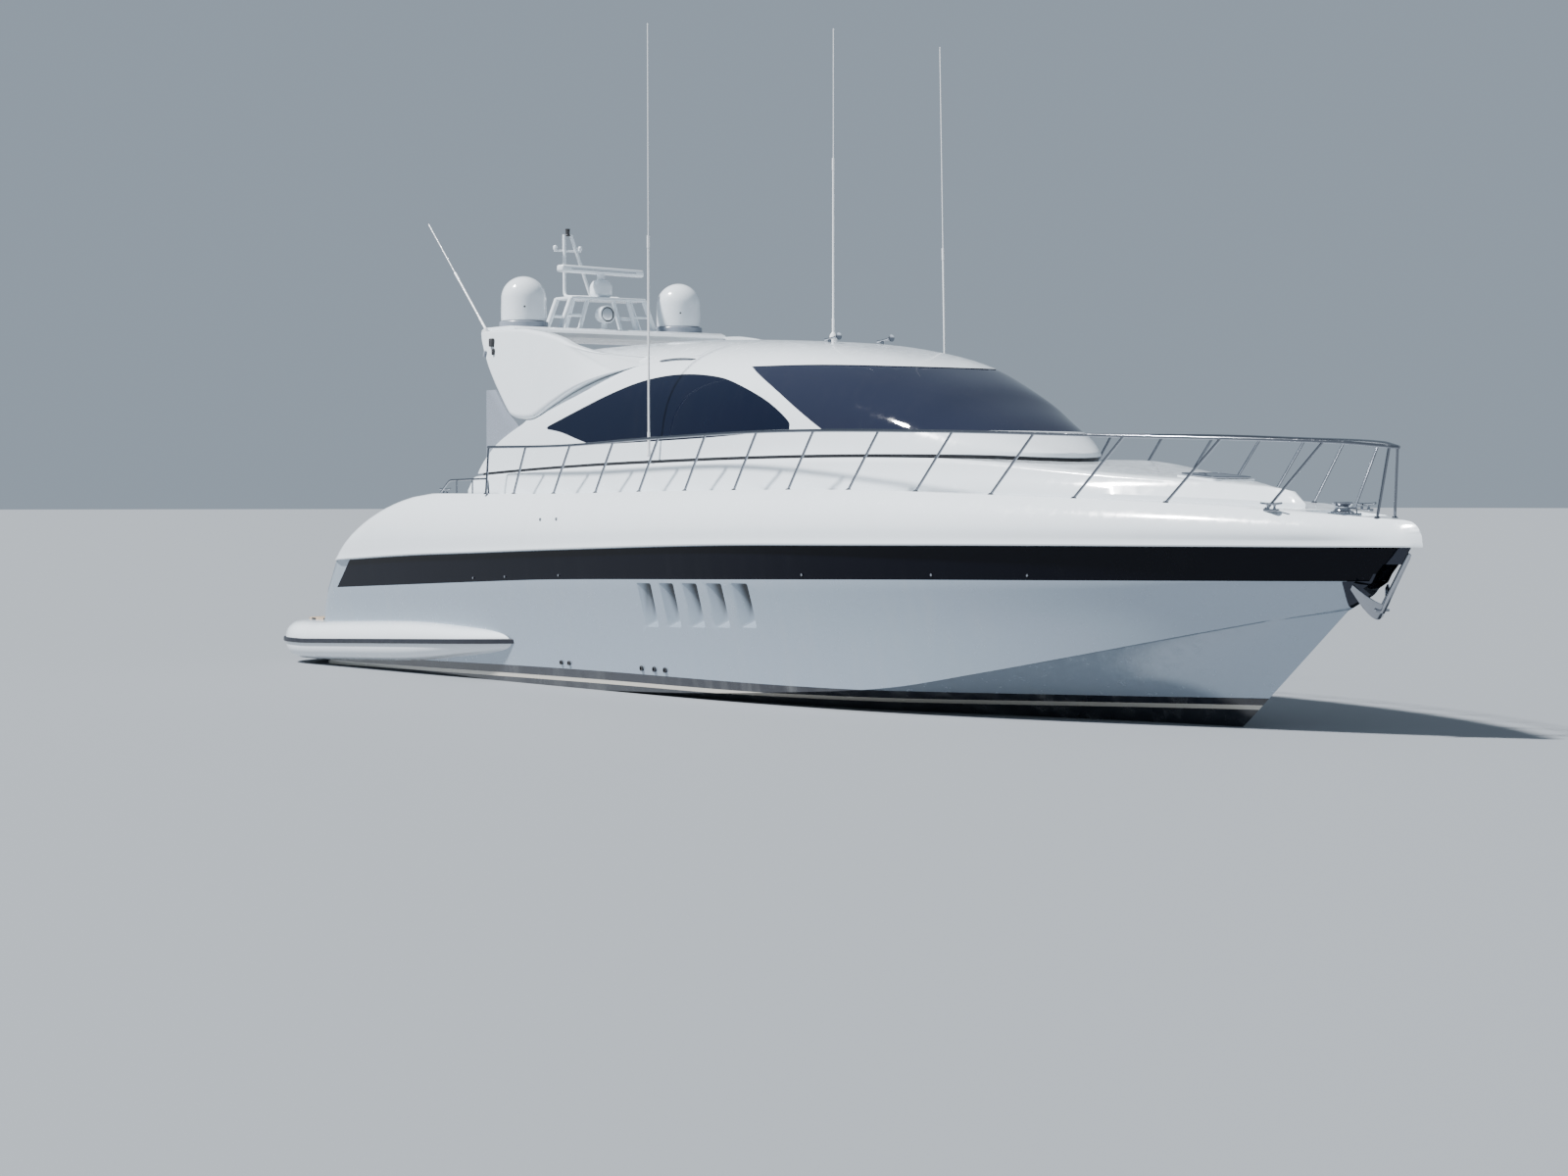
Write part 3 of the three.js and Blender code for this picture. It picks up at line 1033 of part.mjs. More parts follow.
const BLADE = { top: -730, foot: -1420, aft: -330, fore: 190, taper: 0.8, thick: 30 };
function rudder(y) {
  const foil = (scale, z) => [
    [RUDDER.x + BLADE.aft * scale, y - 3, z], [RUDDER.x - 60, y - BLADE.thick * scale, z],
    [RUDDER.x + BLADE.fore * scale, y, z], [RUDDER.x - 60, y + BLADE.thick * scale, z],
    [RUDDER.x + BLADE.aft * scale, y + 3, z],
  ];
  const stock = bar([RUDDER.x, y, BLADE.top - 100], [RUDDER.x, y, RUDDER.bossFoot - SEAM], RUDDER.stock, 12);
  return loft([foil(1, BLADE.top), foil(BLADE.taper, BLADE.foot)]).add(stock);
}
for (const [side, name] of [[-1, 'starboard'], [1, 'port']]) {
  const y = side * SHAFT.y;
  const turning = piece(`propeller_${name}`, screwShape, BRONZE);
  turning.rotation.y = shaftPitch;
  turning.position.set(...onShaft(0, y));
  piece(`shaft_bracket_${name}`, shaftBracket(y), BRONZE);
  piece(`rudder_${name}`, rudder(y), BRONZE);
}

// Soles of the cockpit and the saloon
const cockpitPlan = roundedPlan(COCKPIT.aft + 3, COCKPIT.fore - 3, -COCKPIT.half + 3, COCKPIT.half - 3, 247);
piece('cockpit_sole', clearOf(upZ(cockpitPlan, SOLE + SEAM, SOLE + SOLE_THICK), deck, bulkhead), TEAK);
const saloonPlan = [[BULKHEAD_X + 73, -SALOON.half + 3], [1500, -SALOON.half + 3], [SALOON.fore - 5, -950]];
saloonPlan.push([SALOON.fore - 5, 950], [1500, SALOON.half - 3], [BULKHEAD_X + 73, SALOON.half - 3]);
piece('saloon_sole', upZ(saloonPlan, SOLE + SEAM, SOLE + SOLE_THICK), TEAK);
const FLOOR = SOLE + SOLE_THICK + SEAM;

// Main engines on the floor of the engine room
for (const [side, name] of [[-1, 'starboard'], [1, 'port']]) {
  const [near, far] = [side * ENGINE.y - ENGINE.half, side * ENGINE.y + ENGINE.half];
  piece(`engine_${name}`, box(ENGINE.x0, ENGINE.x1, near, far, ENGINE.foot + SEAM, ENGINE.top), DARK);
}

// Cockpit furniture: a settee with a return to port, its cushions, a table and a bar unit
const SETTEE = { aft: -6600, front: -5900, fore: -4700, starboard: -1250, inner: 750, port: 1350 };
const SETTEE_Z = { seat: 2110, back: 2480 };
const BACK_THICK = 120;
const setteePlan = [
  [SETTEE.aft, SETTEE.starboard], [SETTEE.front, SETTEE.starboard], [SETTEE.front, SETTEE.inner],
  [SETTEE.fore, SETTEE.inner], [SETTEE.fore, SETTEE.port], [SETTEE.aft, SETTEE.port],
];
const backX = SETTEE.aft + BACK_THICK;
const backY = SETTEE.port - BACK_THICK;
const backPlan = [
  [SETTEE.aft, SETTEE.starboard], [backX, SETTEE.starboard], [backX, backY],
  [SETTEE.fore, backY], [SETTEE.fore, SETTEE.port], [SETTEE.aft, SETTEE.port],
];
const settee = upZ(setteePlan, FLOOR, SETTEE_Z.seat).add(upZ(backPlan, SETTEE_Z.seat - 1, SETTEE_Z.back));
piece('cockpit_settee', settee, WHITE);
const CUSHION_THICK = 120;
const cushionFoot = SETTEE_Z.seat + 0.5;
const aftPlan = roundedPlan(backX + 5, SETTEE.front + 10, SETTEE.starboard + 5, SETTEE.inner - 5, 60);
const portPlan = roundedPlan(backX + 5, SETTEE.fore - 5, SETTEE.inner + 5, backY - 5, 60);
piece('settee_cushion_aft', upZ(aftPlan, cushionFoot, cushionFoot + CUSHION_THICK), CUSHION);
piece('settee_cushion_port', upZ(portPlan, cushionFoot, cushionFoot + CUSHION_THICK), CUSHION);
const TABLE = { x: -5250, y: -150, long: 550, wide: 400, thick: 40, top: 2440, leg: 55, foot: 180 };
const tableX = [TABLE.x - TABLE.long, TABLE.x + TABLE.long];
const tableY = [TABLE.y - TABLE.wide, TABLE.y + TABLE.wide];
const tableTop = upZ(roundedPlan(...tableX, ...tableY, 120), TABLE.top - TABLE.thick, TABLE.top);
const legProfile = [[0, FLOOR], [TABLE.foot, FLOOR], [TABLE.foot, FLOOR + 20], [TABLE.leg, FLOOR + 45]];
legProfile.push([TABLE.leg, TABLE.top - 20], [0, TABLE.top - 20]);
piece('cockpit_table', tableTop.add(turned(legProfile, TABLE.x, TABLE.y, 14)), TEAK);
const BAR = { aft: -5600, fore: -4150, outer: -COCKPIT.half + 8, inner: -1400, top: 2560, lip: 30 };
const barBody = box(BAR.aft, BAR.fore, BAR.outer, BAR.inner, FLOOR, BAR.top);
const barEnds = [BAR.aft - BAR.lip, BAR.fore + BAR.lip];
const barTop = box(...barEnds, BAR.outer, BAR.inner + BAR.lip, BAR.top, BAR.top + BAR.lip);
piece('cockpit_bar', barBody.add(barTop), WHITE);

// Sunpad on its seat over the garage
const padPlan = roundedPlan(PAD.aft, PAD.fore, -PAD.half, PAD.half, 120);
piece('aft_sunpad', upZ(padPlan, PAD.seat + 0.5, PAD.seat + PAD.thick), CUSHION);

// Saloon: helm console with its wheel, twin helm seats on one plinth, and a sofa
const HELM = { y: -880, half: 520, wheelX: 1480, wheelZ: 2790, rake: 25 };
const consoleOutline = [
  [1350, FLOOR], [2500, FLOOR], [2500, 2900], [2150, 3010], [1700, 2870], [1520, 2700], [1450, 2000],
];
const helmConsole = acrossY(consoleOutline, HELM.y - HELM.half, HELM.y + HELM.half);
piece('helm_console', helmConsole, DARK);
const WHEEL = { radius: 210, rim: 16, spoke: 12, spokes: 3 };
const rimShape = new THREE.TorusGeometry(WHEEL.radius, WHEEL.rim, 6, 16);
rimShape.rotateY(Math.PI / 2);
const wheelParts = [solidOf(rimShape), bar([-15, 0, 0], [190, 0, 0], 28, 10)];
for (let k = 0; k < WHEEL.spokes; k += 1) {
  const angle = k / WHEEL.spokes * Math.PI * 2;
  const end = [0, (WHEEL.radius - 4) * Math.sin(angle), (WHEEL.radius - 4) * Math.cos(angle)];
  wheelParts.push(bar([0, 0, 0], end, WHEEL.spoke, 6));
}
const wheelShape = unite(wheelParts).rotate([0, HELM.rake, 0]).translate([HELM.wheelX, HELM.y, HELM.wheelZ]);
piece('helm_wheel', clearOf(wheelShape, helmConsole), DARK);
const SEATS = { plinth: [640, 1120], top: 2200, apart: 300, half: 260 };
const seatOutline = [
  [640, 2199], [1140, 2199], [1140, 2340], [790, 2340], [730, 2980], [600, 2980], [610, 2250],
];
const seats = [-1, 1].map((side) => {
  const y = HELM.y + side * SEATS.apart;
  return acrossY(seatOutline, y - SEATS.half, y + SEATS.half);
});
const seatEnd = SEATS.apart + SEATS.half;
seats.push(box(...SEATS.plinth, HELM.y - seatEnd, HELM.y + seatEnd, FLOOR, SEATS.top));
piece('helm_seats', unite(seats), CUSHION);
const SOFA = { aft: -3200, fore: 600, inner: 1050, back: 1600, seat: 2160, top: 2620 };
const sofaEdge = SALOON.half - 8;
const sofaSeat = box(SOFA.aft, SOFA.fore, SOFA.inner, sofaEdge, FLOOR, SOFA.seat);
const sofaBack = box(SOFA.aft, SOFA.fore, SOFA.back, sofaEdge, SOFA.seat - 1, SOFA.top);
piece('saloon_sofa', sofaSeat.add(sofaBack), CUSHION);

export default yacht;
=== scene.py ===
# %% [markdown]
# Motor yacht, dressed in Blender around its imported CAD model.
# X runs forward, Y to port and Z up, in metres, with the origin amidships at the waterline.
# The CAD model fixes every place and size. Here the large moulded skins are rebuilt with many more
# stations from the same lines, and every piece gets a finish made of nodes.

# %% Load the frame
import json
import math

import bpy
from mathutils import Matrix, Vector


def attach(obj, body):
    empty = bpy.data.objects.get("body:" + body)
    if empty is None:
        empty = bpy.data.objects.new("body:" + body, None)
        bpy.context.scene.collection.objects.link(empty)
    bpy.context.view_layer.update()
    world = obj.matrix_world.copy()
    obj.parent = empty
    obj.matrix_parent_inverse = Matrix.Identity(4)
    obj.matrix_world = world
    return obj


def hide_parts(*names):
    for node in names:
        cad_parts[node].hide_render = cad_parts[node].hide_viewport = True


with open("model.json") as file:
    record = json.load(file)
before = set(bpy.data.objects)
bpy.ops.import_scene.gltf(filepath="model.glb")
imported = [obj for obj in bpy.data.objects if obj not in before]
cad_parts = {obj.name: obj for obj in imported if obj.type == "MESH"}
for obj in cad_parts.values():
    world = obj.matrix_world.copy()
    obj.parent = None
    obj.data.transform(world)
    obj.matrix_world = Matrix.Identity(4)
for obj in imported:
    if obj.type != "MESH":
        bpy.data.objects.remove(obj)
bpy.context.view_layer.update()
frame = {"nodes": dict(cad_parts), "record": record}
nodes = frame["nodes"]
slot_of = {part["node"]: part["material_slot"] for part in frame["record"]["subparts"]}
SIDES = ((-1, "starboard"), (1, "port"))

# %% [markdown]
# The camera stands ahead of the starboard beam, a little over two metres over the waterline, and looks
# slightly down. Its place was found from points whose real places are known, such as the bow tip,
# the stern and the tops of the domes.

# %% Camera
CAMERA_PLACE = (33.129, -23.527, 2.482)
CAMERA_DIP, CAMERA_BEARING, CAMERA_LENS = 1.609, 55.0, 70.5

camera_data = bpy.data.cameras.new("camera")
camera_data.lens = CAMERA_LENS
camera_data.sensor_width = 36.0
camera_data.sensor_fit = "HORIZONTAL"
camera_data.clip_end = 3000.0
camera = bpy.data.objects.new("camera", camera_data)
camera.location = CAMERA_PLACE
camera.rotation_euler = (math.radians(90.0 - CAMERA_DIP), 0.0, math.radians(CAMERA_BEARING))
bpy.context.scene.collection.objects.link(camera)
bpy.context.scene.camera = camera
print("camera at", [round(value, 2) for value in camera.location])

# %% [markdown]
# The floor is a plain light grey plane at the waterline, so the boat sits in it as deep as it
# floats. One sun stands high over the starboard side, a little aft of abeam, and a pale blue surround
# fills its shadows.

# %% Floor and light
FLOOR_REACH, FLOOR_GREY, FLOOR_ROUGHNESS = 900.0, (0.25, 0.268, 0.29), 0.8
SUN_STRENGTH, SUN_SPREAD, SUN_HEIGHT, SUN_BEARING = 8.8, 5.0, 54.0, -20.0
FILL_STRENGTH, FILL_BLUE = 0.45, (0.68, 0.82, 0.98)


def new_material(name):
    """A material with nodes, and its tree and shader."""
    material = bpy.data.materials.new(name)
    material.use_nodes = True
    return material, material.node_tree, material.node_tree.nodes["Principled BSDF"]


bpy.ops.mesh.primitive_plane_add(size=2.0 * FLOOR_REACH, location=(0.0, 0.0, 0.0))
floor = bpy.context.object
floor.name = "floor"
floor_material, tree, shader = new_material("pale_floor")
shader.inputs["Base Color"].default_value = (*FLOOR_GREY, 1.0)
shader.inputs["Roughness"].default_value = FLOOR_ROUGHNESS
floor.data.materials.append(floor_material)

sun_data = bpy.data.lights.new("key_light", "SUN")
sun_data.energy = SUN_STRENGTH
sun_data.angle = math.radians(SUN_SPREAD)
sun = bpy.data.objects.new("key_light", sun_data)
sun.rotation_euler = (math.radians(90.0 - SUN_HEIGHT), 0.0, math.radians(SUN_BEARING))
bpy.context.scene.collection.objects.link(sun)
world = bpy.data.worlds.new("pale_surround")
world.use_nodes = True
world.node_tree.nodes["Background"].inputs["Color"].default_value = (*FILL_BLUE, 1.0)
world.node_tree.nodes["Background"].inputs["Strength"].default_value = FILL_STRENGTH
bpy.context.scene.world = world
print("lights:", [light.name for light in bpy.data.lights])

# %% [markdown]
# Finishes are node trees. A few small helpers keep them short: each adds one kind of node, sets its
# values and joins its inputs, and most give back the output that the next node needs.

# %% Node helpers
def node(tree, kind, inputs=None, **settings):
    """Adds a node, sets its properties, and links or fills its inputs."""
    made = tree.nodes.new(kind)
    for key, value in settings.items():
        setattr(made, key, value)
    for key, value in (inputs or {}).items():
        if isinstance(value, bpy.types.NodeSocket):
            tree.links.new(value, made.inputs[key])
        else:
            made.inputs[key].default_value = value
    return made


def math_node(tree, operation, a, b=0.0, clamp=False):
    return node(tree, "ShaderNodeMath", {0: a, 1: b}, operation=operation, use_clamp=clamp).outputs[0]


def map_range(tree, value, low, high, to_low=0.0, to_high=1.0, steps="SMOOTHSTEP"):
    inputs = {"Value": value, "From Min": low, "From Max": high, "To Min": to_low, "To Max": to_high}
    return node(tree, "ShaderNodeMapRange", inputs, interpolation_type=steps).outputs["Result"]


def noise(tree, vector, scale, detail=3.0, roughness=0.5):
    inputs = {"Vector": vector, "Scale": scale, "Detail": detail, "Roughness": roughness}
    return node(tree, "ShaderNodeTexNoise", inputs).outputs["Fac"]


def object_place(tree):
    return node(tree, "ShaderNodeTexCoord").outputs["Object"]


def stretched(tree, vector, scale):
    return node(tree, "ShaderNodeMapping", {"Vector": vector, "Scale": scale}).outputs["Vector"]


def blend_value(tree, mask, first, second):
    return node(tree, "ShaderNodeMix", {0: mask, 2: first, 3: second}, data_type="FLOAT").outputs[0]


def blend_color(tree, mask, first, second):
    first, second = [(*c, 1.0) if isinstance(c, tuple) else c for c in (first, second)]
    return node(tree, "ShaderNodeMix", {0: mask, 6: first, 7: second}, data_type="RGBA").outputs[2]


# %% [markdown]
# What several finishes share is a node group. Every group puts out the same three things: a colour,
# a roughness, and a height for the bump. A finish is one material that feeds them to its shader.

# %% Groups and finishes
SURFACE = {"Color": "Color", "Roughness": "Float", "Height": "Float"}
finishes = {}


def surface_group(name, inputs):
    """An empty node group, with its given and its put-out sockets; inputs are (name, kind, start)."""
    group = bpy.data.node_groups.new(name, "ShaderNodeTree")
    for title, kind, start in inputs:
        made = group.interface.new_socket(name=title, in_out="INPUT", socket_type=f"NodeSocket{kind}")
        made.default_value = start
    for title, kind in SURFACE.items():
        group.interface.new_socket(name=title, in_out="OUTPUT", socket_type=f"NodeSocket{kind}")
    given, gives = group.nodes.new("NodeGroupInput"), group.nodes.new("NodeGroupOutput")
    return group, given.outputs, gives.inputs


def put_out(group, gives, *sockets):
    """Joins the colour, the roughness and the height to the group's outputs."""
    for title, socket in zip(SURFACE, sockets):
        group.links.new(socket, gives[title])
    print(f"{group.name}: {len(group.nodes)} nodes")


def use_surface(tree, shader, surface, bump, distance):
    """Feeds a group's colour, roughness and height to the shader of a material."""
    tree.links.new(surface.outputs["Color"], shader.inputs["Base Color"])
    tree.links.new(surface.outputs["Roughness"], shader.inputs["Roughness"])
    relief = {"Height": surface.outputs["Height"], "Strength": bump, "Distance": distance}
    tree.links.new(node(tree, "ShaderNodeBump", relief).outputs["Normal"], shader.inputs["Normal"])


def finish(name, group, values, bump=0.02, distance=0.002, **shader_values):
    """A finish from a group with its own values, kept under its name."""
    finishes[name], tree, shader = new_material(name)
    surface = node(tree, "ShaderNodeGroup", node_tree=group)
    for key, value in values.items():
        surface.inputs[key].default_value = (*value, 1.0) if isinstance(value, tuple) else value
    use_surface(tree, shader, surface, bump, distance)
    for key, value in shader_values.items():
        shader.inputs[key.replace("_", " ")].default_value = value


# %% [markdown]
# Moulded plastic is never quite flat or evenly clean. This group gives any gloss finish its long
# ripples, its fine scuffs, and a faint film of salt that gathers on level faces and in runs.

# %% Group: moulded surface
moulded, given, gives = surface_group("moulded_surface", [
    ("Base", "Color", (0.8, 0.8, 0.8, 1.0)), ("Film", "Color", (0.6, 0.6, 0.58, 1.0)),
    ("Film Amount", "Float", 0.12), ("Smooth", "Float", 0.12), ("Dull", "Float", 0.34),
    ("Ripple", "Float", 1.0)])
where = object_place(moulded)
runs = noise(moulded, stretched(moulded, where, (3.0, 3.0, 0.35)), 1.6, 5.0, 0.6)
patches = noise(moulded, where, 0.55, 4.0, 0.55)
scuffs = noise(moulded, where, 9.0, 6.0, 0.65)
film = math_node(moulded, "MULTIPLY", map_range(moulded, runs, 0.42, 0.78),
                 map_range(moulded, patches, 0.35, 0.7))
film_mask = math_node(moulded, "MULTIPLY", film, given["Film Amount"], clamp=True)
tint = blend_color(moulded, film_mask, given["Base"], given["Film"])
rough = blend_value(moulded, map_range(moulded, scuffs, 0.35, 0.8), given["Smooth"], given["Dull"])
long_ripple = noise(moulded, stretched(moulded, where, (0.5, 0.5, 1.2)), 1.0, 1.0)
put_out(moulded, gives, tint, rough, math_node(moulded, "MULTIPLY", long_ripple, given["Ripple"]))

# %% [markdown]
# Laid teak is made of narrow planks that run fore and aft, with a dark bead of caulking between
# them and a grain stretched along each plank. The planks are silvered by the sun, each a little
# differently, so every plank draws its own shade.

# %% Group: laid teak
laid, given, gives = surface_group("laid_teak", [
    ("Plank", "Float", 0.055), ("Seam", "Float", 0.1), ("Fresh", "Color", (0.42, 0.27, 0.15, 1.0)),
    ("Silvered", "Color", (0.5, 0.43, 0.35, 1.0)), ("Caulking", "Color", (0.02, 0.02, 0.02, 1.0))])
where = object_place(laid)
axes = node(laid, "ShaderNodeSeparateXYZ", {0: where}).outputs
count = math_node(laid, "DIVIDE", axes["Y"], given["Plank"])
plank = math_node(laid, "FLOOR", count)
across = math_node(laid, "FRACT", count)
from_edge = math_node(laid, "MINIMUM", across, math_node(laid, "SUBTRACT", 1.0, across))
seam = math_node(laid, "LESS_THAN", from_edge, given["Seam"])
shade = node(laid, "ShaderNodeTexWhiteNoise", {"W": plank}, noise_dimensions="1D").outputs["Value"]
grain = noise(laid, stretched(laid, where, (4.0, 90.0, 40.0)), 1.0, 6.0, 0.65)
sunned = math_node(laid, "ADD", math_node(laid, "MULTIPLY", shade, 0.55),
                   math_node(laid, "MULTIPLY", grain, 0.5))
wood = blend_color(laid, sunned, given["Fresh"], given["Silvered"])
relief = math_node(laid, "SUBTRACT", math_node(laid, "MULTIPLY", grain, 0.25), seam)
put_out(laid, gives, blend_color(laid, seam, wood, given["Caulking"]),
        map_range(laid, grain, 0.2, 0.8, 0.55, 0.8), relief)

# %% [markdown]
# Vinyl and leather share a pebbled skin: small cells with creases between them, and a slow change
# of shade where the cover is handled.

# %% Group: pebbled skin
pebbled, given, gives = surface_group("pebbled_skin", [
    ("Base", "Color", (0.7, 0.68, 0.62, 1.0)), ("Worn", "Color", (0.6, 0.57, 0.5, 1.0)),
    ("Pebble", "Float", 260.0)])
where = object_place(pebbled)
cells = node(pebbled, "ShaderNodeTexVoronoi", {"Vector": where, "Scale": given["Pebble"]}, feature="F1")
handled = noise(pebbled, where, 3.5, 4.0)
hue = blend_color(pebbled, map_range(pebbled, handled, 0.4, 0.75), given["Base"], given["Worn"])
put_out(pebbled, gives, hue, map_range(pebbled, handled, 0.3, 0.8, 0.42, 0.62), cells.outputs["Distance"])

# %% [markdown]
# Polished steel, bronze and painted metal show the lines of the polishing wheel and, where spray
# dries on them, small dull spots. One group gives both.

# %% Group: worked metal
worked, given, gives = surface_group("worked_metal", [
    ("Clean", "Color", (0.75, 0.76, 0.78, 1.0)), ("Spotted", "Color", (0.5, 0.48, 0.45, 1.0)),
    ("Spot Amount", "Float", 0.3), ("Smooth", "Float", 0.08), ("Dull", "Float", 0.3)])
where = object_place(worked)
spots = map_range(worked, noise(worked, where, 22.0, 6.0, 0.7), 0.5, 0.75)
spot_mask = math_node(worked, "MULTIPLY", spots, given["Spot Amount"], clamp=True)
polish_lines = noise(worked, stretched(worked, where, (6.0, 60.0, 60.0)), 3.0, 4.0)
hue = blend_color(worked, spot_mask, given["Clean"], given["Spotted"])
put_out(worked, gives, hue, blend_value(worked, spots, given["Smooth"], given["Dull"]), polish_lines)

# %% [markdown]
# The outside of a yacht is mostly gelcoat, a pigmented resin that comes glossy out of its mould. The
# rubber, the seal, the glass and the aerials have the same kind of surface with other values.

# %% Finishes: gelcoat, rubber and glass
WHITE_GEL = (0.83, 0.885, 0.93)
finish("white_gelcoat", moulded, {"Base": WHITE_GEL, "Film": (0.66, 0.67, 0.66), "Film Amount": 0.16},
       bump=0.25, distance=0.01, Coat_Weight=0.6, Coat_Roughness=0.06)
finish("black_gelcoat", moulded, {"Base": (0.0018, 0.0024, 0.006), "Film": (0.012, 0.013, 0.017),
                                  "Film Amount": 0.2, "Smooth": 0.05, "Dull": 0.14},
       bump=0.2, distance=0.008, Specular_IOR_Level=0.12)
finish("grey_panel", moulded, {"Base": (0.24, 0.27, 0.32), "Film": (0.2, 0.21, 0.22), "Smooth": 0.2,
                               "Dull": 0.4}, bump=0.15, distance=0.005)
finish("rub_rail", moulded, {"Base": (0.012, 0.014, 0.022), "Film": (0.05, 0.05, 0.055), "Film Amount": 0.4,
                             "Smooth": 0.35, "Dull": 0.6}, bump=0.2)
finish("dark_seal", moulded, {"Base": (0.012, 0.012, 0.016), "Film": (0.08, 0.08, 0.08), "Smooth": 0.4,
                              "Dull": 0.65})
finish("dark_glass", moulded, {"Base": (0.005, 0.008, 0.02), "Film": (0.03, 0.03, 0.036), "Film Amount": 0.1,
                               "Smooth": 0.02, "Dull": 0.07}, bump=0.03, Specular_IOR_Level=0.18)
finish("screen_glass", moulded, {"Base": (0.016, 0.02, 0.038), "Film": (0.035, 0.038, 0.05),
                                 "Film Amount": 0.2, "Smooth": 0.03, "Dull": 0.1},
       bump=0.03, Specular_IOR_Level=0.25)
finish("aerial", moulded, {"Base": (0.84, 0.85, 0.86), "Film": (0.5, 0.5, 0.48), "Film Amount": 0.3},
       bump=0.05)
print("finishes:", len(finishes))

# %% [markdown]
# The teak of the decks is bare and silvered, and the cockpit table has the same wood under varnish.
# Vinyl on the outside seats, leather inside and the dark trim differ in shade and in their pebble.

# %% Finishes: wood, vinyl and leather
finish("teak", laid, {}, bump=0.5)
finish("varnished_wood", laid, {"Fresh": (0.12, 0.045, 0.018), "Silvered": (0.2, 0.085, 0.032), "Plank": 0.09,
                                "Seam": 0.02}, bump=0.1, Coat_Weight=0.9, Coat_Roughness=0.05)
finish("cushion", pebbled, {"Base": (0.74, 0.7, 0.62), "Worn": (0.62, 0.57, 0.48)}, bump=0.35, distance=0.001)
finish("leather", pebbled, {"Base": (0.52, 0.44, 0.34), "Worn": (0.42, 0.34, 0.25), "Pebble": 190.0},
       bump=0.4, distance=0.001, Sheen_Weight=0.1)
finish("dark_trim", pebbled, {"Base": (0.03, 0.03, 0.034), "Worn": (0.055, 0.054, 0.055), "Pebble": 320.0},
       bump=0.3, distance=0.0008)
print("finishes:", len(finishes))

# %% [markdown]
# Deck hardware is polished stainless steel. The rails and the plate on the stem are given darker
# colours than the rest, as painted reflection of the dark water below them. Propellers and brackets are
# bronze, with a green bloom.

# %% Finishes: metal
STEEL = {"bump": 0.05, "distance": 0.0005, "Metallic": 1.0}
finish("stainless", worked, {"Clean": (0.4, 0.42, 0.46), "Spotted": (0.26, 0.25, 0.25), "Smooth": 0.12},
       **STEEL)
# The rails' darker steel is painted reflection of dark water.
finish("rail_steel", worked, {"Clean": (0.2, 0.215, 0.245), "Spotted": (0.14, 0.14, 0.15), "Smooth": 0.14},
       **STEEL)
# The stem plate's near-black steel is painted reflection of dark water.
finish("stem_steel", worked, {"Clean": (0.045, 0.05, 0.065), "Spotted": (0.03, 0.03, 0.035), "Smooth": 0.07},
       bump=0.05, distance=0.001, Metallic=1.0)
finish("reflector", worked, {"Clean": (0.8, 0.84, 0.88), "Spotted": (0.6, 0.62, 0.64), "Smooth": 0.3,
                             "Dull": 0.5}, distance=0.0005, Metallic=1.0)
finish("bronze", worked, {"Clean": (0.5, 0.31, 0.13), "Spotted": (0.16, 0.2, 0.13), "Spot Amount": 0.8,
                          "Smooth": 0.28, "Dull": 0.65}, bump=0.2, Metallic=1.0)
finish("engine_paint", worked, {"Clean": (0.08, 0.09, 0.1), "Spotted": (0.03, 0.03, 0.03), "Smooth": 0.35,
                                "Dull": 0.6}, bump=0.2, Coat_Weight=0.2)
print("finishes:", len(finishes))

# %% [markdown]
# The hull is painted in bands: dark bottom paint below, a thin pale line, a near-black boot stripe
# that climbs a little towards the bow, and metallic silver-grey above. The bands are masks on the
# height of the surface, so they follow the hull at any number of faces.

# %% Heights of the painted bands
HULL_REACH = 11.0
BOOT_TOP = [(-11.0, 0.12), (-6.6, 0.19), (-1.7, 0.255), (4.04, 0.265), (7.29, 0.303), (9.11, 0.343),
            (11.0, 0.36)]
BOOT_FOOT = [(-11.0, 0.04), (-6.6, 0.09), (-1.7, 0.14), (4.04, 0.165), (7.29, 0.225), (9.11, 0.262),
             (11.0, 0.28)]
PALE_LINE = 0.05


def above_curve(tree, axes, rows, raised=0.0):
    """A mask of what lies above a curve of heights along the boat, through rows of (x, z)."""
    share = map_range(tree, axes["X"], -HULL_REACH, HULL_REACH, steps="LINEAR")
    curve = node(tree, "ShaderNodeFloatCurve", {"Value": share})
    points = curve.mapping.curves[0].points
    spots = [((x + HULL_REACH) / (2 * HULL_REACH), z) for x, z in rows]
    points[0].location, points[-1].location = spots[0], spots[-1]
    for spot in spots[1:-1]:
        points.new(*spot)
    curve.mapping.update()
    height = math_node(tree, "ADD", axes["Z"], raised) if raised else axes["Z"]
    return math_node(tree, "GREATER_THAN", height, curve.outputs["Value"])


print("boot stripe at the bow:", BOOT_FOOT[-1][1], "to", BOOT_TOP[-1][1])

# %% [markdown]
# Each colour goes over the last one with its own mask. The dark in the gill vents is painted shade, and
# it and the white of the inner walls come from attributes that the hull's mesh carries. Above the knuckle
# of the bow, round the stem plate and the anchor's pocket, the hull is nearly black as painted shade.

# %% Hull paint
SILVER_DARK, SILVER_LIGHT = (0.315, 0.385, 0.465), (0.385, 0.455, 0.535)
BOTTOM_PAINT, PALE_PAINT, BOOT_BLACK = (0.012, 0.014, 0.02), (0.55, 0.52, 0.45), (0.006, 0.007, 0.014)
VENT_PAINTED_SHADE, STEM_PAINTED_SHADE = (0.02, 0.024, 0.03), (0.012, 0.014, 0.022)
STEM_SHADE_X, STEM_SHADE_Z = 10.17, 1.345
FLAKE_METAL = 0.35


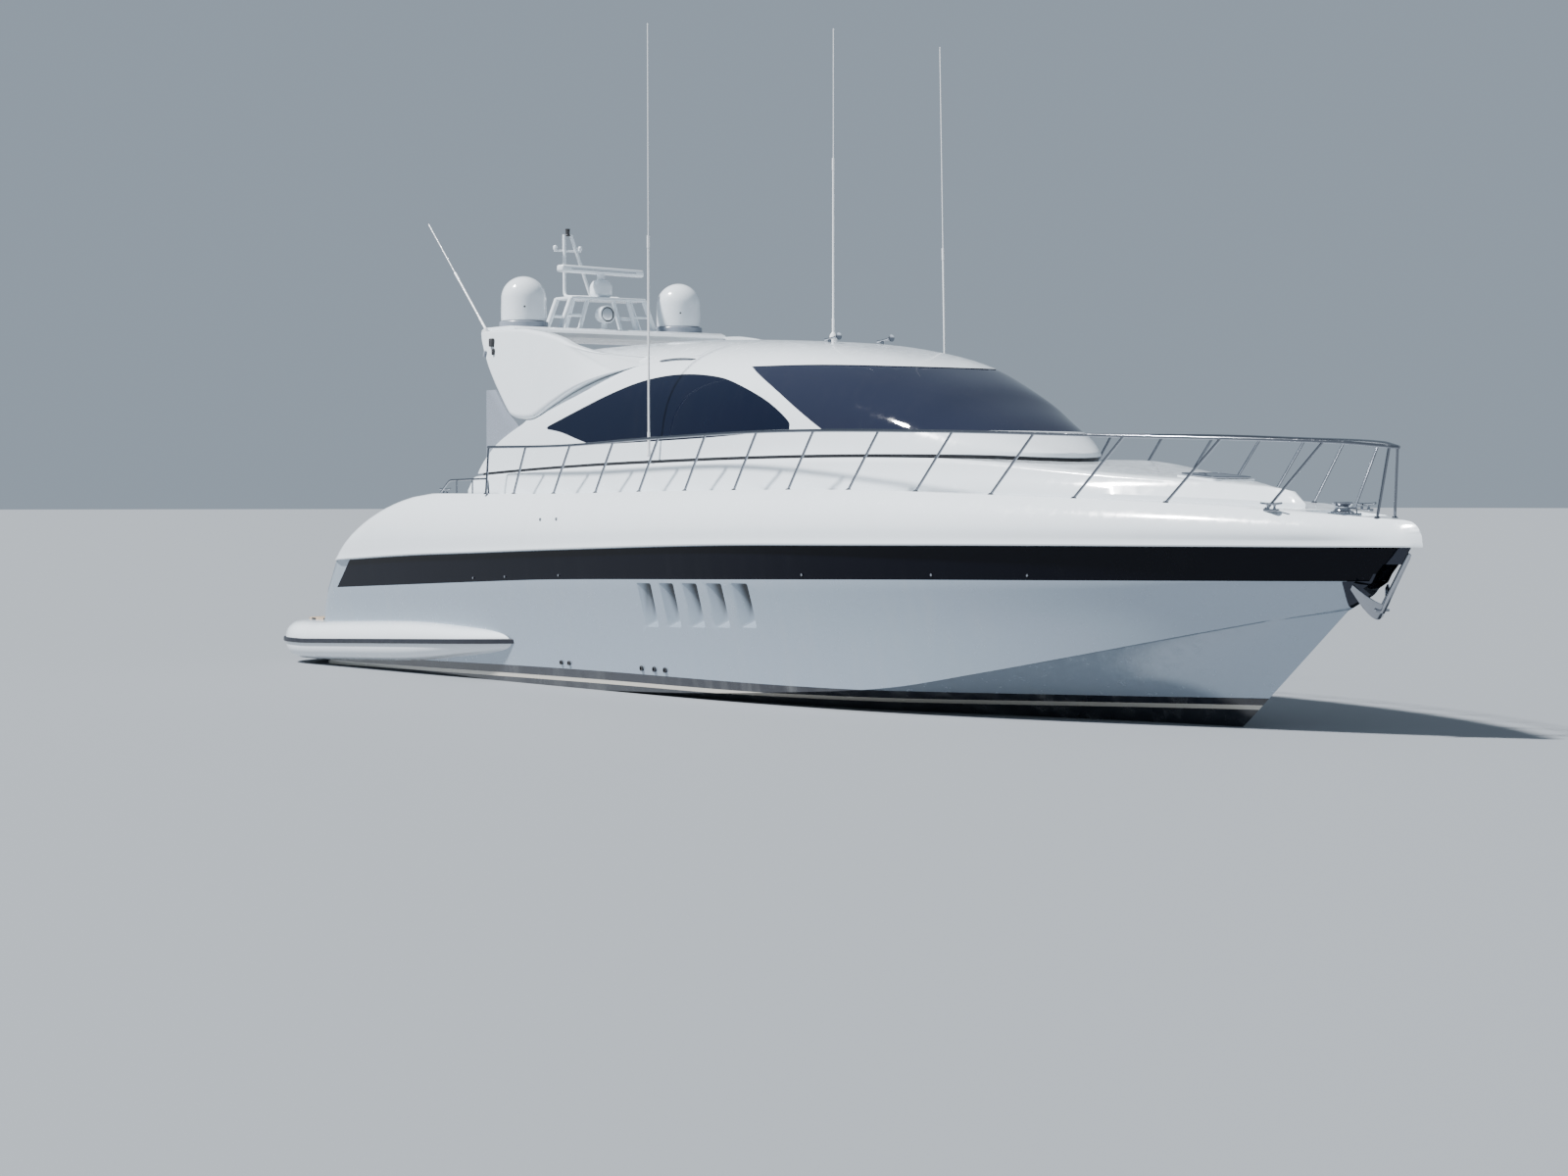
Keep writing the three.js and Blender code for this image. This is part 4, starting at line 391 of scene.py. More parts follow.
def hull_paint():
    material, tree, shader = new_material("silver_gelcoat")
    where = object_place(tree)
    axes = node(tree, "ShaderNodeSeparateXYZ", {0: where}).outputs
    above = above_curve(tree, axes, BOOT_TOP)
    flake = noise(tree, where, 900.0, 2.0)
    silver = blend_color(tree, map_range(tree, flake, 0.3, 0.7), SILVER_DARK, SILVER_LIGHT)
    color = blend_color(tree, above_curve(tree, axes, BOOT_FOOT, PALE_LINE), BOTTOM_PAINT, PALE_PAINT)
    color = blend_color(tree, above_curve(tree, axes, BOOT_FOOT), color, BOOT_BLACK)
    color = blend_color(tree, above, color, silver)
    vents = node(tree, "ShaderNodeAttribute", attribute_name="vent_shade").outputs["Fac"]
    # Painted shade: the inside of each gill vent is darkened, most under its top edge.
    color = blend_color(tree, map_range(tree, vents, 0.05, 0.6), color, VENT_PAINTED_SHADE)
    # Painted shade: round the stem plate and the anchor's pocket the hull is nearly black.
    fore = math_node(tree, "GREATER_THAN", axes["X"], STEM_SHADE_X)
    high = math_node(tree, "GREATER_THAN", axes["Z"], STEM_SHADE_Z)
    color = blend_color(tree, math_node(tree, "MULTIPLY", fore, high), color, STEM_PAINTED_SHADE)
    liner = node(tree, "ShaderNodeAttribute", attribute_name="white_liner").outputs["Fac"]
    color = blend_color(tree, liner, color, WHITE_GEL)
    film = {"Base": color, "Film": (0.5, 0.52, 0.52, 1.0), "Film Amount": 0.2}
    use_surface(tree, shader, node(tree, "ShaderNodeGroup", film, node_tree=moulded), 0.25, 0.01)
    flaked = math_node(tree, "SUBTRACT", math_node(tree, "MULTIPLY", above, FLAKE_METAL), liner, clamp=True)
    tree.links.new(flaked, shader.inputs["Metallic"])
    shader.inputs["Coat Weight"].default_value = 0.8
    shader.inputs["Coat Roughness"].default_value = 0.05
    return material


finishes["silver_gelcoat"] = hull_paint()
for name, part in nodes.items():
    part.data.materials.clear()
    part.data.materials.append(finishes[slot_of[name]])
# The cockpit screens stand in the shade under the wings; their grey panel finish is painted shade on white.
for side, name in SIDES:
    nodes[f"cockpit_screen_{name}"].data.materials[0] = finishes["grey_panel"]
print("CAD nodes painted:", len(nodes))

# %% [markdown]
# A moulded boat is drawn with lines: the keel, the chine, the lip and the deck edge, each a height
# and a half-breadth along the length. The same few rows of numbers that shape the CAD solids are
# repeated here, in metres, and many more stations are taken along them, so that the skins are smooth.

# %% Lines of the boat
HULL_END, DECK_END, BOW_TIP = -9.65, -6.2, 11.0
QUARTER_RADIUS = 0.5
SEAM = 0.0004
SOLE = 1.7
LIP_BREADTH, DECK_BREADTH = 2.72, 2.45
CHINE_FLAT = 0.045
CORNER_STATIONS, SIDE_STATIONS = 8, 84


def mix(a, b, share):
    return a + (b - a) * share


def smoothstep(value, low, high):
    share = min(1.0, max(0.0, (value - low) / (high - low)))
    return share * share * (3.0 - 2.0 * share)


def through(rows):
    """A smooth value along x through a short table of (x, value) rows."""
    def slope(k):
        a, b = rows[max(k - 1, 0)], rows[min(k + 1, len(rows) - 1)]
        return (b[1] - a[1]) / (b[0] - a[0])

    def value(x):
        if x <= rows[0][0]:
            return rows[0][1]
        if x >= rows[-1][0]:
            return rows[-1][1]
        k = next(n for n in range(1, len(rows)) if x <= rows[n][0]) - 1
        span = rows[k + 1][0] - rows[k][0]
        share = (x - rows[k][0]) / span
        rise = rows[k + 1][1] - rows[k][1]
        bend = (1 - share) * (slope(k) * span - rise) - share * (slope(k + 1) * span - rise)
        return rows[k][1] + share * rise + share * (1 - share) * bend

    return value


def plan(full, stem, middle, power, tuck=0.0):
    """Half-breadth of a line: full at the middle, closing at the stem, tucked in aft."""
    def value(x):
        if x < middle:
            return full - tuck * ((middle - x) / (middle - HULL_END)) ** 2
        return full * (1 - min(1.0, (x - middle) / (stem - middle)) ** power)

    return value


def stern_x(z):
    up = min(1.0, max(0.0, (z - 0.55) / 2.05))
    return DECK_END + (HULL_END - DECK_END) * (1 - up ** 1.6) ** 0.625


print("stern at the waterline and at the deck:", HULL_END, DECK_END)

# %% [markdown]
# Each height is a short table along the boat. Each half-breadth is a curve that is full amidships and
# closes at the stem. The lip rises gently to the bow, and the deck edge falls a little towards it.

# %% Keel, chine, band, lip and deck edge
KEEL_STEM, CHINE_STEM, FLAT_STEM = 8.0, 9.95, 9.98
BAND_FOOT_STEM, BAND_TOP_STEM, DECK_STEM = 10.6, 10.93, 10.75
keel_z = through([(-9.5, -0.9), (-5.0, -0.99), (0.0, -1.0), (3.5, -0.93), (5.5, -0.78), (7.0, -0.56),
                  (KEEL_STEM, -0.3)])
chine_z = through([(-9.5, -0.1), (-4.0, -0.06), (0.0, 0.03), (3.0, 0.18), (4.5, 0.3), (5.8, 0.52),
                   (7.06, 0.762), (8.55, 1.068), (9.23, 1.207), (CHINE_STEM, 1.33)])
band_foot_z = through([(-9.5, 1.14), (-8.62, 1.18), (-6.4, 1.27), (-4.4, 1.35), (-2.2, 1.43), (1.6, 1.51),
                       (4.9, 1.57), (8.0, 1.61), (10.6, 1.64)])
lip_z = through([(-9.5, 1.56), (-8.1, 1.63), (-6.1, 1.72), (-4.2, 1.78), (-2.0, 1.85), (1.7, 1.95),
                 (4.3, 1.98), (7.0, 2.0), (11.0, 2.01)])
deck_z = through([(-9.5, 2.6), (-6.1, 2.6), (-2.4, 2.59), (0.9, 2.62), (4.1, 2.62), (6.2, 2.56), (8.35, 2.47),
                  (9.45, 2.4), (10.75, 2.29)])
chine_y = plan(2.29, CHINE_STEM, 0.0, 2.3)
band_foot_y = plan(2.62, BAND_FOOT_STEM, 0.5, 2.3, 0.15)
band_top_y = plan(2.66, BAND_TOP_STEM, 0.5, 2.35, 0.15)
lip_y = plan(LIP_BREADTH, BOW_TIP, 0.5, 2.4, 0.15)
deck_y = plan(DECK_BREADTH, DECK_STEM, 0.5, 2.4, 0.1)
print("breadth at the lip:", round(2 * lip_y(0.0), 2))

# %% [markdown]
# Every line has the same number of points: a few round the quarter of the stern, then many along the
# side, closer together towards the bow. Lines with as many points can be skinned in pairs.

# %% Stations along a line
stations = [(k / CORNER_STATIONS * math.pi / 2, 0.0) for k in range(CORNER_STATIONS)]
stations += [(math.pi / 2, 1 - (1 - k / SIDE_STATIONS) ** 1.25) for k in range(SIDE_STATIONS + 1)]


def line(aft, stem, breadth, height, grow=0.0):
    """One lengthwise line: round the quarter of the stern, then forward to the stem."""
    start = aft + QUARTER_RADIUS
    points = []
    for turn, share in stations:
        x = mix(start, stem, share) - QUARTER_RADIUS * math.cos(turn)
        full = breadth(max(x, start))
        reach = min(QUARTER_RADIUS, full)
        y = full - reach * (1 - math.sin(turn))
        points.append((x - grow * math.cos(turn), y + grow if y > 0 else 0.0, height(x)))
    return points


def between(low, high, share, swell=0.0):
    points = []
    for (x, y, z), (u, v, w) in zip(low, high):
        wide = min(1.0, max(y, v) / 0.6)
        points.append((mix(x, u, share), mix(y, v, share) + swell * wide, mix(z, w, share)))
    return points


print("stations:", len(stations))

# %% [markdown]
# Closed skins are made from their points, then welded and turned so that their faces point out. A
# boat's skin is a pair of mirrored sides; most other pieces are lofts through rings of points.

# %% Closed meshes
import bmesh

WELD_DISTANCE = 0.00002


def select_only(obj):
    for other in bpy.context.selected_objects:
        other.select_set(False)
    obj.select_set(True)
    bpy.context.view_layer.objects.active = obj


def closed(name, vertices, faces):
    """A welded closed mesh whose faces point out."""
    mesh = bpy.data.meshes.new(name)
    shape = bmesh.new()
    corners = [shape.verts.new(vertex) for vertex in vertices]
    for face in faces:
        distinct = list(dict.fromkeys(face))
        if len(distinct) > 2:
            try:
                shape.faces.new([corners[k] for k in distinct])
            except ValueError:
                pass
    bmesh.ops.remove_doubles(shape, verts=shape.verts, dist=WELD_DISTANCE)
    bmesh.ops.dissolve_degenerate(shape, edges=shape.edges, dist=WELD_DISTANCE)
    bmesh.ops.recalc_face_normals(shape, faces=shape.faces)
    if shape.calc_volume(signed=True) < 0:
        bmesh.ops.reverse_faces(shape, faces=shape.faces)
    shape.to_mesh(mesh)
    shape.free()
    obj = bpy.data.objects.new(name, mesh)
    bpy.context.scene.collection.objects.link(obj)
    return obj


print(f"corners closer than {1000 * WELD_DISTANCE} mm are welded")

# %% [markdown]
# A skin runs either between lines that go the length of the boat, with their mirror images on the
# other side, or through rings of points that stand one behind the other.

# %% Skins between lines and through rings
def mirrored(name, lines):
    """A closed skin between lengthwise lines and their mirror images, from the bottom line up."""
    rows, columns = len(lines), len(lines[0])
    vertices = [(x, side * y, z) for side in (1, -1) for row in lines for x, y, z in row]

    def at(side, j, i):
        return (side * rows + j) * columns + i

    faces = []
    for i in range(columns - 1):
        for j in range(rows - 1):
            faces.append((at(0, j, i), at(0, j, i + 1), at(0, j + 1, i + 1), at(0, j + 1, i)))
            faces.append((at(1, j, i), at(1, j + 1, i), at(1, j + 1, i + 1), at(1, j, i + 1)))
        faces.append((at(0, rows - 1, i), at(0, rows - 1, i + 1), at(1, rows - 1, i + 1), at(1, rows - 1, i)))
        faces.append((at(0, 0, i), at(1, 0, i), at(1, 0, i + 1), at(0, 0, i + 1)))
    for j in range(rows - 1):
        for i in (0, columns - 1):
            faces.append((at(0, j, i), at(0, j + 1, i), at(1, j + 1, i), at(1, j, i)))
    return closed(name, vertices, faces)


def loft(name, rings):
    """A closed skin through rings of equal length, with flat ends."""
    size = len(rings[0])
    vertices = [point for ring in rings for point in ring]
    faces = [tuple(range(size)), tuple(range((len(rings) - 1) * size, len(rings) * size))]
    for k in range(len(rings) - 1):
        for n in range(size):
            a, b = k * size + n, k * size + (n + 1) % size
            faces.append((a, b, b + size, a + size))
    return closed(name, vertices, faces)


# %% [markdown]
# Many pieces are a flat outline that is drawn out, either across the boat or upward. Blocks and
# plates with round corners come from the same few lines.

# %% Outlines drawn out
def across_y(name, outline, y0, y1):
    return loft(name, [[(x, y, z) for x, z in outline] for y in (y0, y1)])


def up_z(name, outline, z0, z1):
    return loft(name, [[(x, y, z) for x, y in outline] for z in (z0, z1)])


def block(name, x0, x1, y0, y1, z0, z1):
    return up_z(name, [(x0, y0), (x1, y0), (x1, y1), (x0, y1)], z0, z1)


def rounded_plan(x0, x1, y0, y1, radius, steps=8):
    outline = []
    corners = [(x1 - radius, y1 - radius), (x0 + radius, y1 - radius), (x0 + radius, y0 + radius),
               (x1 - radius, y0 + radius)]
    for quarter, (x, y) in enumerate(corners):
        for k in range(steps + 1):
            angle = (quarter + k / steps) * math.pi / 2
            outline.append((x + radius * math.cos(angle), y + radius * math.sin(angle)))
    return outline


print("points of a round corner:", len(rounded_plan(0.0, 1.0, 0.0, 1.0, 0.1)) // 4)

# %% [markdown]
# Openings and recesses are cut with the Boolean modifier, which is applied at once. Dressing gives a
# piece its finish, the body that it rides on and the CAD nodes that it stands for.

# %% Cutting, copying and dressing
def carve(target, cutter, operation="DIFFERENCE", keep=False):
    """Cuts, joins or meets two closed meshes, and applies the result at once."""
    modifier = target.modifiers.new("carve", "BOOLEAN")
    modifier.operation = operation
    modifier.solver = "MANIFOLD"
    modifier.object = cutter
    select_only(target)
    bpy.ops.object.modifier_apply(modifier="carve")
    if not keep:
        bpy.data.objects.remove(cutter)
    if not target.data.polygons:
        raise RuntimeError(f"{target.name}: nothing is left after a cut")
    return target


def copied(obj, name):
    twin = obj.copy()
    twin.data = obj.data.copy()
    twin.name = name
    bpy.context.scene.collection.objects.link(twin)
    return twin


def dress(obj, finish_name, body="boat", stands_for=(), angle=32.0):
    """Smooth shading up to an angle, a finish, the body it rides on and the CAD nodes it stands for."""
    select_only(obj)
    bpy.ops.object.shade_smooth_by_angle(angle=math.radians(angle))
    obj.data.materials.clear()
    obj.data.materials.append(finishes[finish_name])
    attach(obj, body)
    if stands_for:
        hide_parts(*stands_for)
    print(f"{obj.name}: {len(obj.data.polygons)} faces")
    return obj


def smooth_outline(points, steps=6, corners=()):
    """More points round an outline: curved through its points, and sharp at the named corners."""
    count = len(points)
    outline = []
    for k in range(count):
        p1, p2 = Vector(points[k]), Vector(points[(k + 1) % count])
        p0 = p1 if k in corners else Vector(points[k - 1])
        p3 = p2 if (k + 1) % count in corners else Vector(points[(k + 2) % count])
        for n in range(steps):
            t = n / steps
            a = (p2 - p0) * 0.5 if k not in corners else p2 - p1
            b = (p3 - p1) * 0.5 if (k + 1) % count not in corners else p2 - p1
            h = (2 * t**3 - 3 * t**2 + 1) * p1 + (t**3 - 2 * t**2 + t) * a
            h += (3 * t**2 - 2 * t**3) * p2 + (t**3 - t**2) * b
            outline.append(tuple(h))
    return outline


# %% [markdown]
# From the keel up, the hull's lines are the keel, the bottom, the chine with its narrow flat, and the
# side. The side hollows slightly between the chine and the black band, so that spray is thrown out.

# %% Hull lines
BOTTOM_ROWS, SIDE_ROWS, BOTTOM_SAG, SIDE_HOLLOW = 4, 10, -0.1, -0.0205


def hull_lines(grow=0.0):
    keel = line(HULL_END, KEEL_STEM, lambda x: 0.0, keel_z, grow)
    chine = line(HULL_END, CHINE_STEM, chine_y, chine_z, grow)
    chine_flat = line(HULL_END, FLAT_STEM, lambda x: chine_y(x) + (CHINE_FLAT if x < FLAT_STEM else 0.0),
                      lambda x: chine_z(x) + 0.012, grow)
    foot = line(stern_x(1.15), BAND_FOOT_STEM, band_foot_y, band_foot_z, grow)
    bottom = [between(keel, chine, k / BOTTOM_ROWS, BOTTOM_SAG * k / BOTTOM_ROWS * (1 - k / BOTTOM_ROWS))
              for k in range(1, BOTTOM_ROWS)]
    sides = []
    for k in range(1, SIDE_ROWS):
        share = k / SIDE_ROWS
        stem = mix(FLAT_STEM, BAND_FOOT_STEM, share)
        aft = stern_x(mix(-0.1, 1.15, share))

        def breadth(x, share=share):
            return mix(chine_y(x) + CHINE_FLAT, band_foot_y(x), share)

        reach = line(aft, stem, breadth, lambda x: 0.0, grow)
        row = between(chine_flat, foot, share, SIDE_HOLLOW * math.sin(math.pi * share))
        sides.append([(min(u, stem), y, z) for (x, y, z), (u, v, w) in zip(row, reach)])
    top = line(stern_x(1.6), BAND_TOP_STEM, band_top_y, lambda x: lip_z(x) + 0.15, grow)
    middle = between(foot, top, 0.5)
    return [keel, *bottom, chine, chine_flat, *sides, foot, middle, top]


print("hull lines:", len(hull_lines()))

# %% [markdown]
# The hull is cut where the deck moulding sits on it, and by the cockpit, the saloon, the stairs and the
# stern door. The cutters are outlines in the side view or the plan, pushed across the boat or up.

# %% Joint, wells, stairs and stern door
PAST_STERN, PAST_BOW, OVER_ALL = -9.7, 11.1, 3.6
COCKPIT_AFT, BULKHEAD_X, COCKPIT_HALF = -6.65, -3.45, 1.95
SALOON_FORE, SALOON_HALF = 3.9, 1.8
STAIR_INNER, STAIR_OUTER, STAIR_FOOT = 1.5, 2.08, 0.69
TREADS = (-9.1, -8.7, -8.3, -7.9, -7.5)
RISER = (SOLE - STAIR_FOOT) / len(TREADS)
DOOR_HALF, DOOR_FOOT, DOOR_TOP, DOOR_THICK, DOOR_GAP = 1.38, 0.84, 2.08, 0.07, 0.013
HEEL_X, HEEL_REACH, GARAGE_HALF = stern_x(DOOR_TOP) - 0.006, 0.088, 1.25


def below_joint(gap):
    xs = [PAST_STERN + k * 0.26 for k in range(81)]
    outline = [(x, lip_z(x) - gap) for x in xs] + [(PAST_BOW, -2.0), (PAST_STERN, -2.0)]
    return across_y("below_joint", outline, -4.0, 4.0)


def garage_room():
    return block("garage_room", PAST_STERN, -6.95, -GARAGE_HALF, GARAGE_HALF, 0.9, 2.0)


def well_cutters():
    cockpit = rounded_plan(COCKPIT_AFT, BULKHEAD_X + 0.4, -COCKPIT_HALF, COCKPIT_HALF, 0.25)
    back = BULKHEAD_X + 0.1
    saloon = [(back, -SALOON_HALF), (1.5, -SALOON_HALF), (SALOON_FORE, -0.95), (SALOON_FORE, 0.95),
              (1.5, SALOON_HALF), (back, SALOON_HALF)]
    return [up_z("cockpit_well", cockpit, SOLE, OVER_ALL), up_z("saloon_well", saloon, SOLE, OVER_ALL)]


def stair_cutter(side):
    outline = [(PAST_STERN, OVER_ALL), (PAST_STERN, STAIR_FOOT)]
    for k, x in enumerate(TREADS):
        outline += [(x, STAIR_FOOT + k * RISER), (x, STAIR_FOOT + (k + 1) * RISER)]
    outline += [(COCKPIT_AFT + 0.3, SOLE), (COCKPIT_AFT + 0.3, OVER_ALL)]
    y0, y1 = (STAIR_INNER, STAIR_OUTER) if side > 0 else (-STAIR_OUTER, -STAIR_INNER)
    return across_y("stair", outline, y0, y1)


def door_solid(name, margin, outset, foot_margin, steps=24):
    outer, inner = [], []
    for k in range(steps + 1):
        z = mix(DOOR_FOOT - foot_margin, DOOR_TOP + margin, k / steps)
        outer.append((stern_x(z) - outset, z))
        inner.insert(0, (stern_x(z) + DOOR_THICK + margin, z))
    return across_y(name, outer + inner, -DOOR_HALF - margin, DOOR_HALF + margin)


def heel_room(steps=12):
    """Room for the heel of the stern door, which turns down and in about the hinge along its top."""
    turn = [k / steps * math.pi / 2 for k in range(steps + 1)]
    arc = [(HEEL_X + HEEL_REACH * math.cos(a), DOOR_TOP - HEEL_REACH * math.sin(a)) for a in turn]
    heel = across_y("heel", [(HEEL_X, DOOR_TOP), *arc], -DOOR_HALF - DOOR_GAP, DOOR_HALF + DOOR_GAP)
    inner = block("heel_box", PAST_STERN, HEEL_X + HEEL_REACH, -GARAGE_HALF, GARAGE_HALF, 1.95,
                  DOOR_TOP + DOOR_GAP)
    return carve(heel, inner, "UNION")


print("stair risers:", len(TREADS), "of", round(RISER, 3))

# %% [markdown]
# The black band is a strip laid flush into each topside, from the quarter to the stem. The room for it
# in the hull is cut a little larger, which leaves a fine joint all round.

# %% Black band
def band_rings(side, margin, steps=72):
    inset = 0.042 + margin
    rings = []
    for k in range(steps + 1):
        share = 1 - (1 - k / steps) ** 1.2
        end = (-2 * margin if k == 0 else 0.0) + (2 * margin if k == steps else 0.0)
        x_top, x_foot = mix(-8.15, 10.73, share) + end, mix(-8.65, 10.4, share) + end
        foot, top = band_foot_y(x_foot), band_top_y(x_top)
        out = 0.12 if margin > 0 else -0.006
        z_foot, z_top = band_foot_z(x_foot) + 0.015 - margin, lip_z(x_top) - 0.012 + margin
        rings.append([(x_foot, side * (foot + out), z_foot), (x_top, side * (top + out), z_top),
                      (x_top, side * (top - inset), z_top), (x_foot, side * (foot - inset), z_foot)])
    return rings


print("corners of a band section:", len(band_rings(1, 0.0)[0]))

# %% [markdown]
# Five gill vents a side feed air to the engines. Each is a scoop with a sharp fore edge, whose foot and
# aft edge slope out to the face of the hull. Two attributes on the mesh guide the paint later, one of
# them the painted shade inside the vents.

# %% Gill vents and painted walls
GILL_FIRST, GILL_PITCH, GILL_COUNT, GILL_WIDTH, GILL_DEPTH = 0.005, 0.522, 5, 0.3, 0.13
GILL_UNDER_BAND, GILL_FOOT, GILL_CLIMB, FOOT_SLOPE, AFT_SLOPE = 0.032, 0.885, 0.014, 0.11, 0.2


def topside_y(x, z):
    share = (z - chine_z(x)) / (band_foot_z(x) - chine_z(x))
    return mix(chine_y(x) + CHINE_FLAT, band_foot_y(x), share) - 0.018


def gill_cutter(side, k):
    """A scoop with a sharp fore edge, whose foot and aft edge slope out to the face of the hull."""
    x = GILL_FIRST + k * GILL_PITCH
    rings = []
    for depth in (GILL_DEPTH, 0.5 * GILL_DEPTH, 0.0, -0.12):
        share = depth / GILL_DEPTH
        aft = x + share * AFT_SLOPE
        sill = GILL_FOOT + k * GILL_CLIMB + share * FOOT_SLOPE
        head = band_foot_z(x + GILL_WIDTH / 2) - GILL_UNDER_BAND
        flat = rounded_plan(aft, x + GILL_WIDTH, sill, head, 0.03, 4)
        rings.append([(u, side * (topside_y(u, z) - depth), z) for u, z in flat])
    return loft("gill", rings)


def shade_vents(hull):
    """Stores how far each point lies inside a vent, where the paint darkens the hull as painted shade."""
    shade = hull.data.attributes.new("vent_shade", "FLOAT", "POINT")
    for vertex, value in zip(hull.data.vertices, shade.data):
        x, y, z = vertex.co
        for k in range(GILL_COUNT):
            start, sill = GILL_FIRST + k * GILL_PITCH, GILL_FOOT + k * GILL_CLIMB
            head = band_foot_z(start) - GILL_UNDER_BAND + 0.01
            if start - 0.01 < x < start + GILL_WIDTH + 0.01 and sill - 0.01 < z < head:
                share = min(1.0, max(0.0, (topside_y(x, z) - abs(y)) / GILL_DEPTH))
                value.value = share * mix(0.1, 1.0, smoothstep(z, sill + 0.1, head - 0.12))


def line_wells(hull):
    """Marks the faces of the stairs, the garage and the wells, which are moulded white like the deck."""
    liner = hull.data.attributes.new("white_liner", "FLOAT", "FACE")
    for face, value in zip(hull.data.polygons, liner.data):
        x, y, z = face.center
        value.value = float(stern_x(z) + 0.03 < x < -2.9 and abs(y) < STAIR_OUTER + 0.02 and z > 0.6)


print("gill vents a side:", GILL_COUNT)

# %% [markdown]
# The hull is one moulding from the keel up to the joint under the lip, cut as one skin. The band's two
# strips go into the room that is cut for them.

# %% Hull skin
def anchor_pocket():
    return across_y("pocket", [(10.2, 1.83), (11.2, 1.83), (11.2, 1.33), (10.35, 1.33)], -0.12, 0.12)


hull = mirrored("hull_skin", hull_lines())
carve(hull, below_joint(0.0), "INTERSECT")
for side in (1, -1):
    carve(hull, loft("band_room", band_rings(side, 0.0006)))
    carve(hull, stair_cutter(side))
    for k in range(GILL_COUNT):
        carve(hull, gill_cutter(side, k))
for cutter in well_cutters():
    carve(hull, cutter)
carve(hull, garage_room())
carve(hull, anchor_pocket())
carve(hull, door_solid("door_seat", DOOR_GAP, 0.3, SEAM))
dress(hull, "silver_gelcoat", stands_for=["hull"])
shade_vents(hull)
line_wells(hull)
for side, name in SIDES:
    band = carve(loft(f"hull_band_skin_{name}", band_rings(side, 0.0)), anchor_pocket())
    dress(band, "black_gelcoat", stands_for=[f"hull_band_{name}"])

# %% [markdown]
# A polished steel plate wraps the stem below the band, where the anchor and its chain would chafe the
# gelcoat. It is the hull's own skin, three millimetres proud, cut to the plate's outline.

# %% Stem plate
PLATE = [(10.0, 1.36), (10.13, 1.645), (10.38, 1.652), (10.7, 2.1), (11.0, 2.1), (11.0, 1.36)]
stem_plate = mirrored("stem_plate", hull_lines(0.003))
carve(stem_plate, below_joint(-SEAM), "INTERSECT")
carve(stem_plate, across_y("plate_outline", PLATE, -3.0, 3.0), "INTERSECT")
carve(stem_plate, anchor_pocket())
# The plate's near-black steel is painted reflection of the dark water.
dress(stem_plate, "stem_steel")

# %% [markdown]
# The deck moulding sits on the hull along the lip, and its sides swell out below the deck edge. Its
# lines run from inside the joint, round the lip and up the side to the deck's edge.

# %% Deck lines
trunk_top_z = through([(-5.4, 2.81), (-5.0, 2.845), (-3.2, 2.915), (-1.2, 2.965), (2.45, 3.01), (4.8, 2.99),
                       (5.6, 2.94), (6.9, 2.81), (8.1, 2.71), (9.0, 2.62)])
TRUNK_AFT, TRUNK_END, TRUNK_TIP = -5.15, 9.3, 8.92
trunk_foot_y = plan(2.2, TRUNK_END, 0.5, 2.2, 0.02)
trunk_top_y = plan(2.15, TRUNK_TIP, 0.5, 2.2, 0.02)
side_swell = through([(0.0, 0.0), (0.25, 0.06), (0.5, 0.085), (0.72, 0.075), (0.9, 0.038), (1.0, 0.0)])


def deck_lines():
    foot = line(stern_x(1.5), 10.96, lambda x: lip_y(x) - 0.025, lambda x: lip_z(x) - 0.15)
    lip_foot = line(stern_x(1.57), BOW_TIP - 0.004, lambda x: max(0.0, lip_y(x) - 0.006),
                    lambda x: lip_z(x) + 0.004)
    lip = line(stern_x(1.58), BOW_TIP, lip_y, lambda x: lip_z(x) + 0.015)
    lip_top = line(stern_x(1.62), BOW_TIP - 0.01, lambda x: max(0.0, lip_y(x) - 0.008),
                   lambda x: lip_z(x) + 0.06)
    edge = line(DECK_END, DECK_STEM, deck_y, deck_z)
    sides = []
    for k in range(1, 16):
        share = k / 16
        aft = stern_x(mix(1.62, 2.6, share))
        start = aft + QUARTER_RADIUS
        stem = DECK_STEM + (BOW_TIP - 10.76) * math.sqrt(1 - share * share)
        out = side_swell(share)

        def breadth(x, share=share, stem=stem, out=out):
            if x >= stem:
                return 0.0
            return max(0.0, mix(lip_y(x) - 0.008, deck_y(x), share)) + out * min(1.0, lip_y(x) / 0.6)

        def height(x, share=share, start=start):
            return mix(lip_z(max(x, start)) + 0.06, deck_z(x), share)

        sides.append(line(aft, stem, breadth, height))
    return [foot, lip_foot, lip, lip_top, *sides, edge]


print("deck lines:", len(deck_lines()))

# %% [markdown]
# A low trunk rises from the deck under the superstructure and runs out on the foredeck, where it gives
# headroom below. Its shoulder is rounded, and its top has a slight crown.

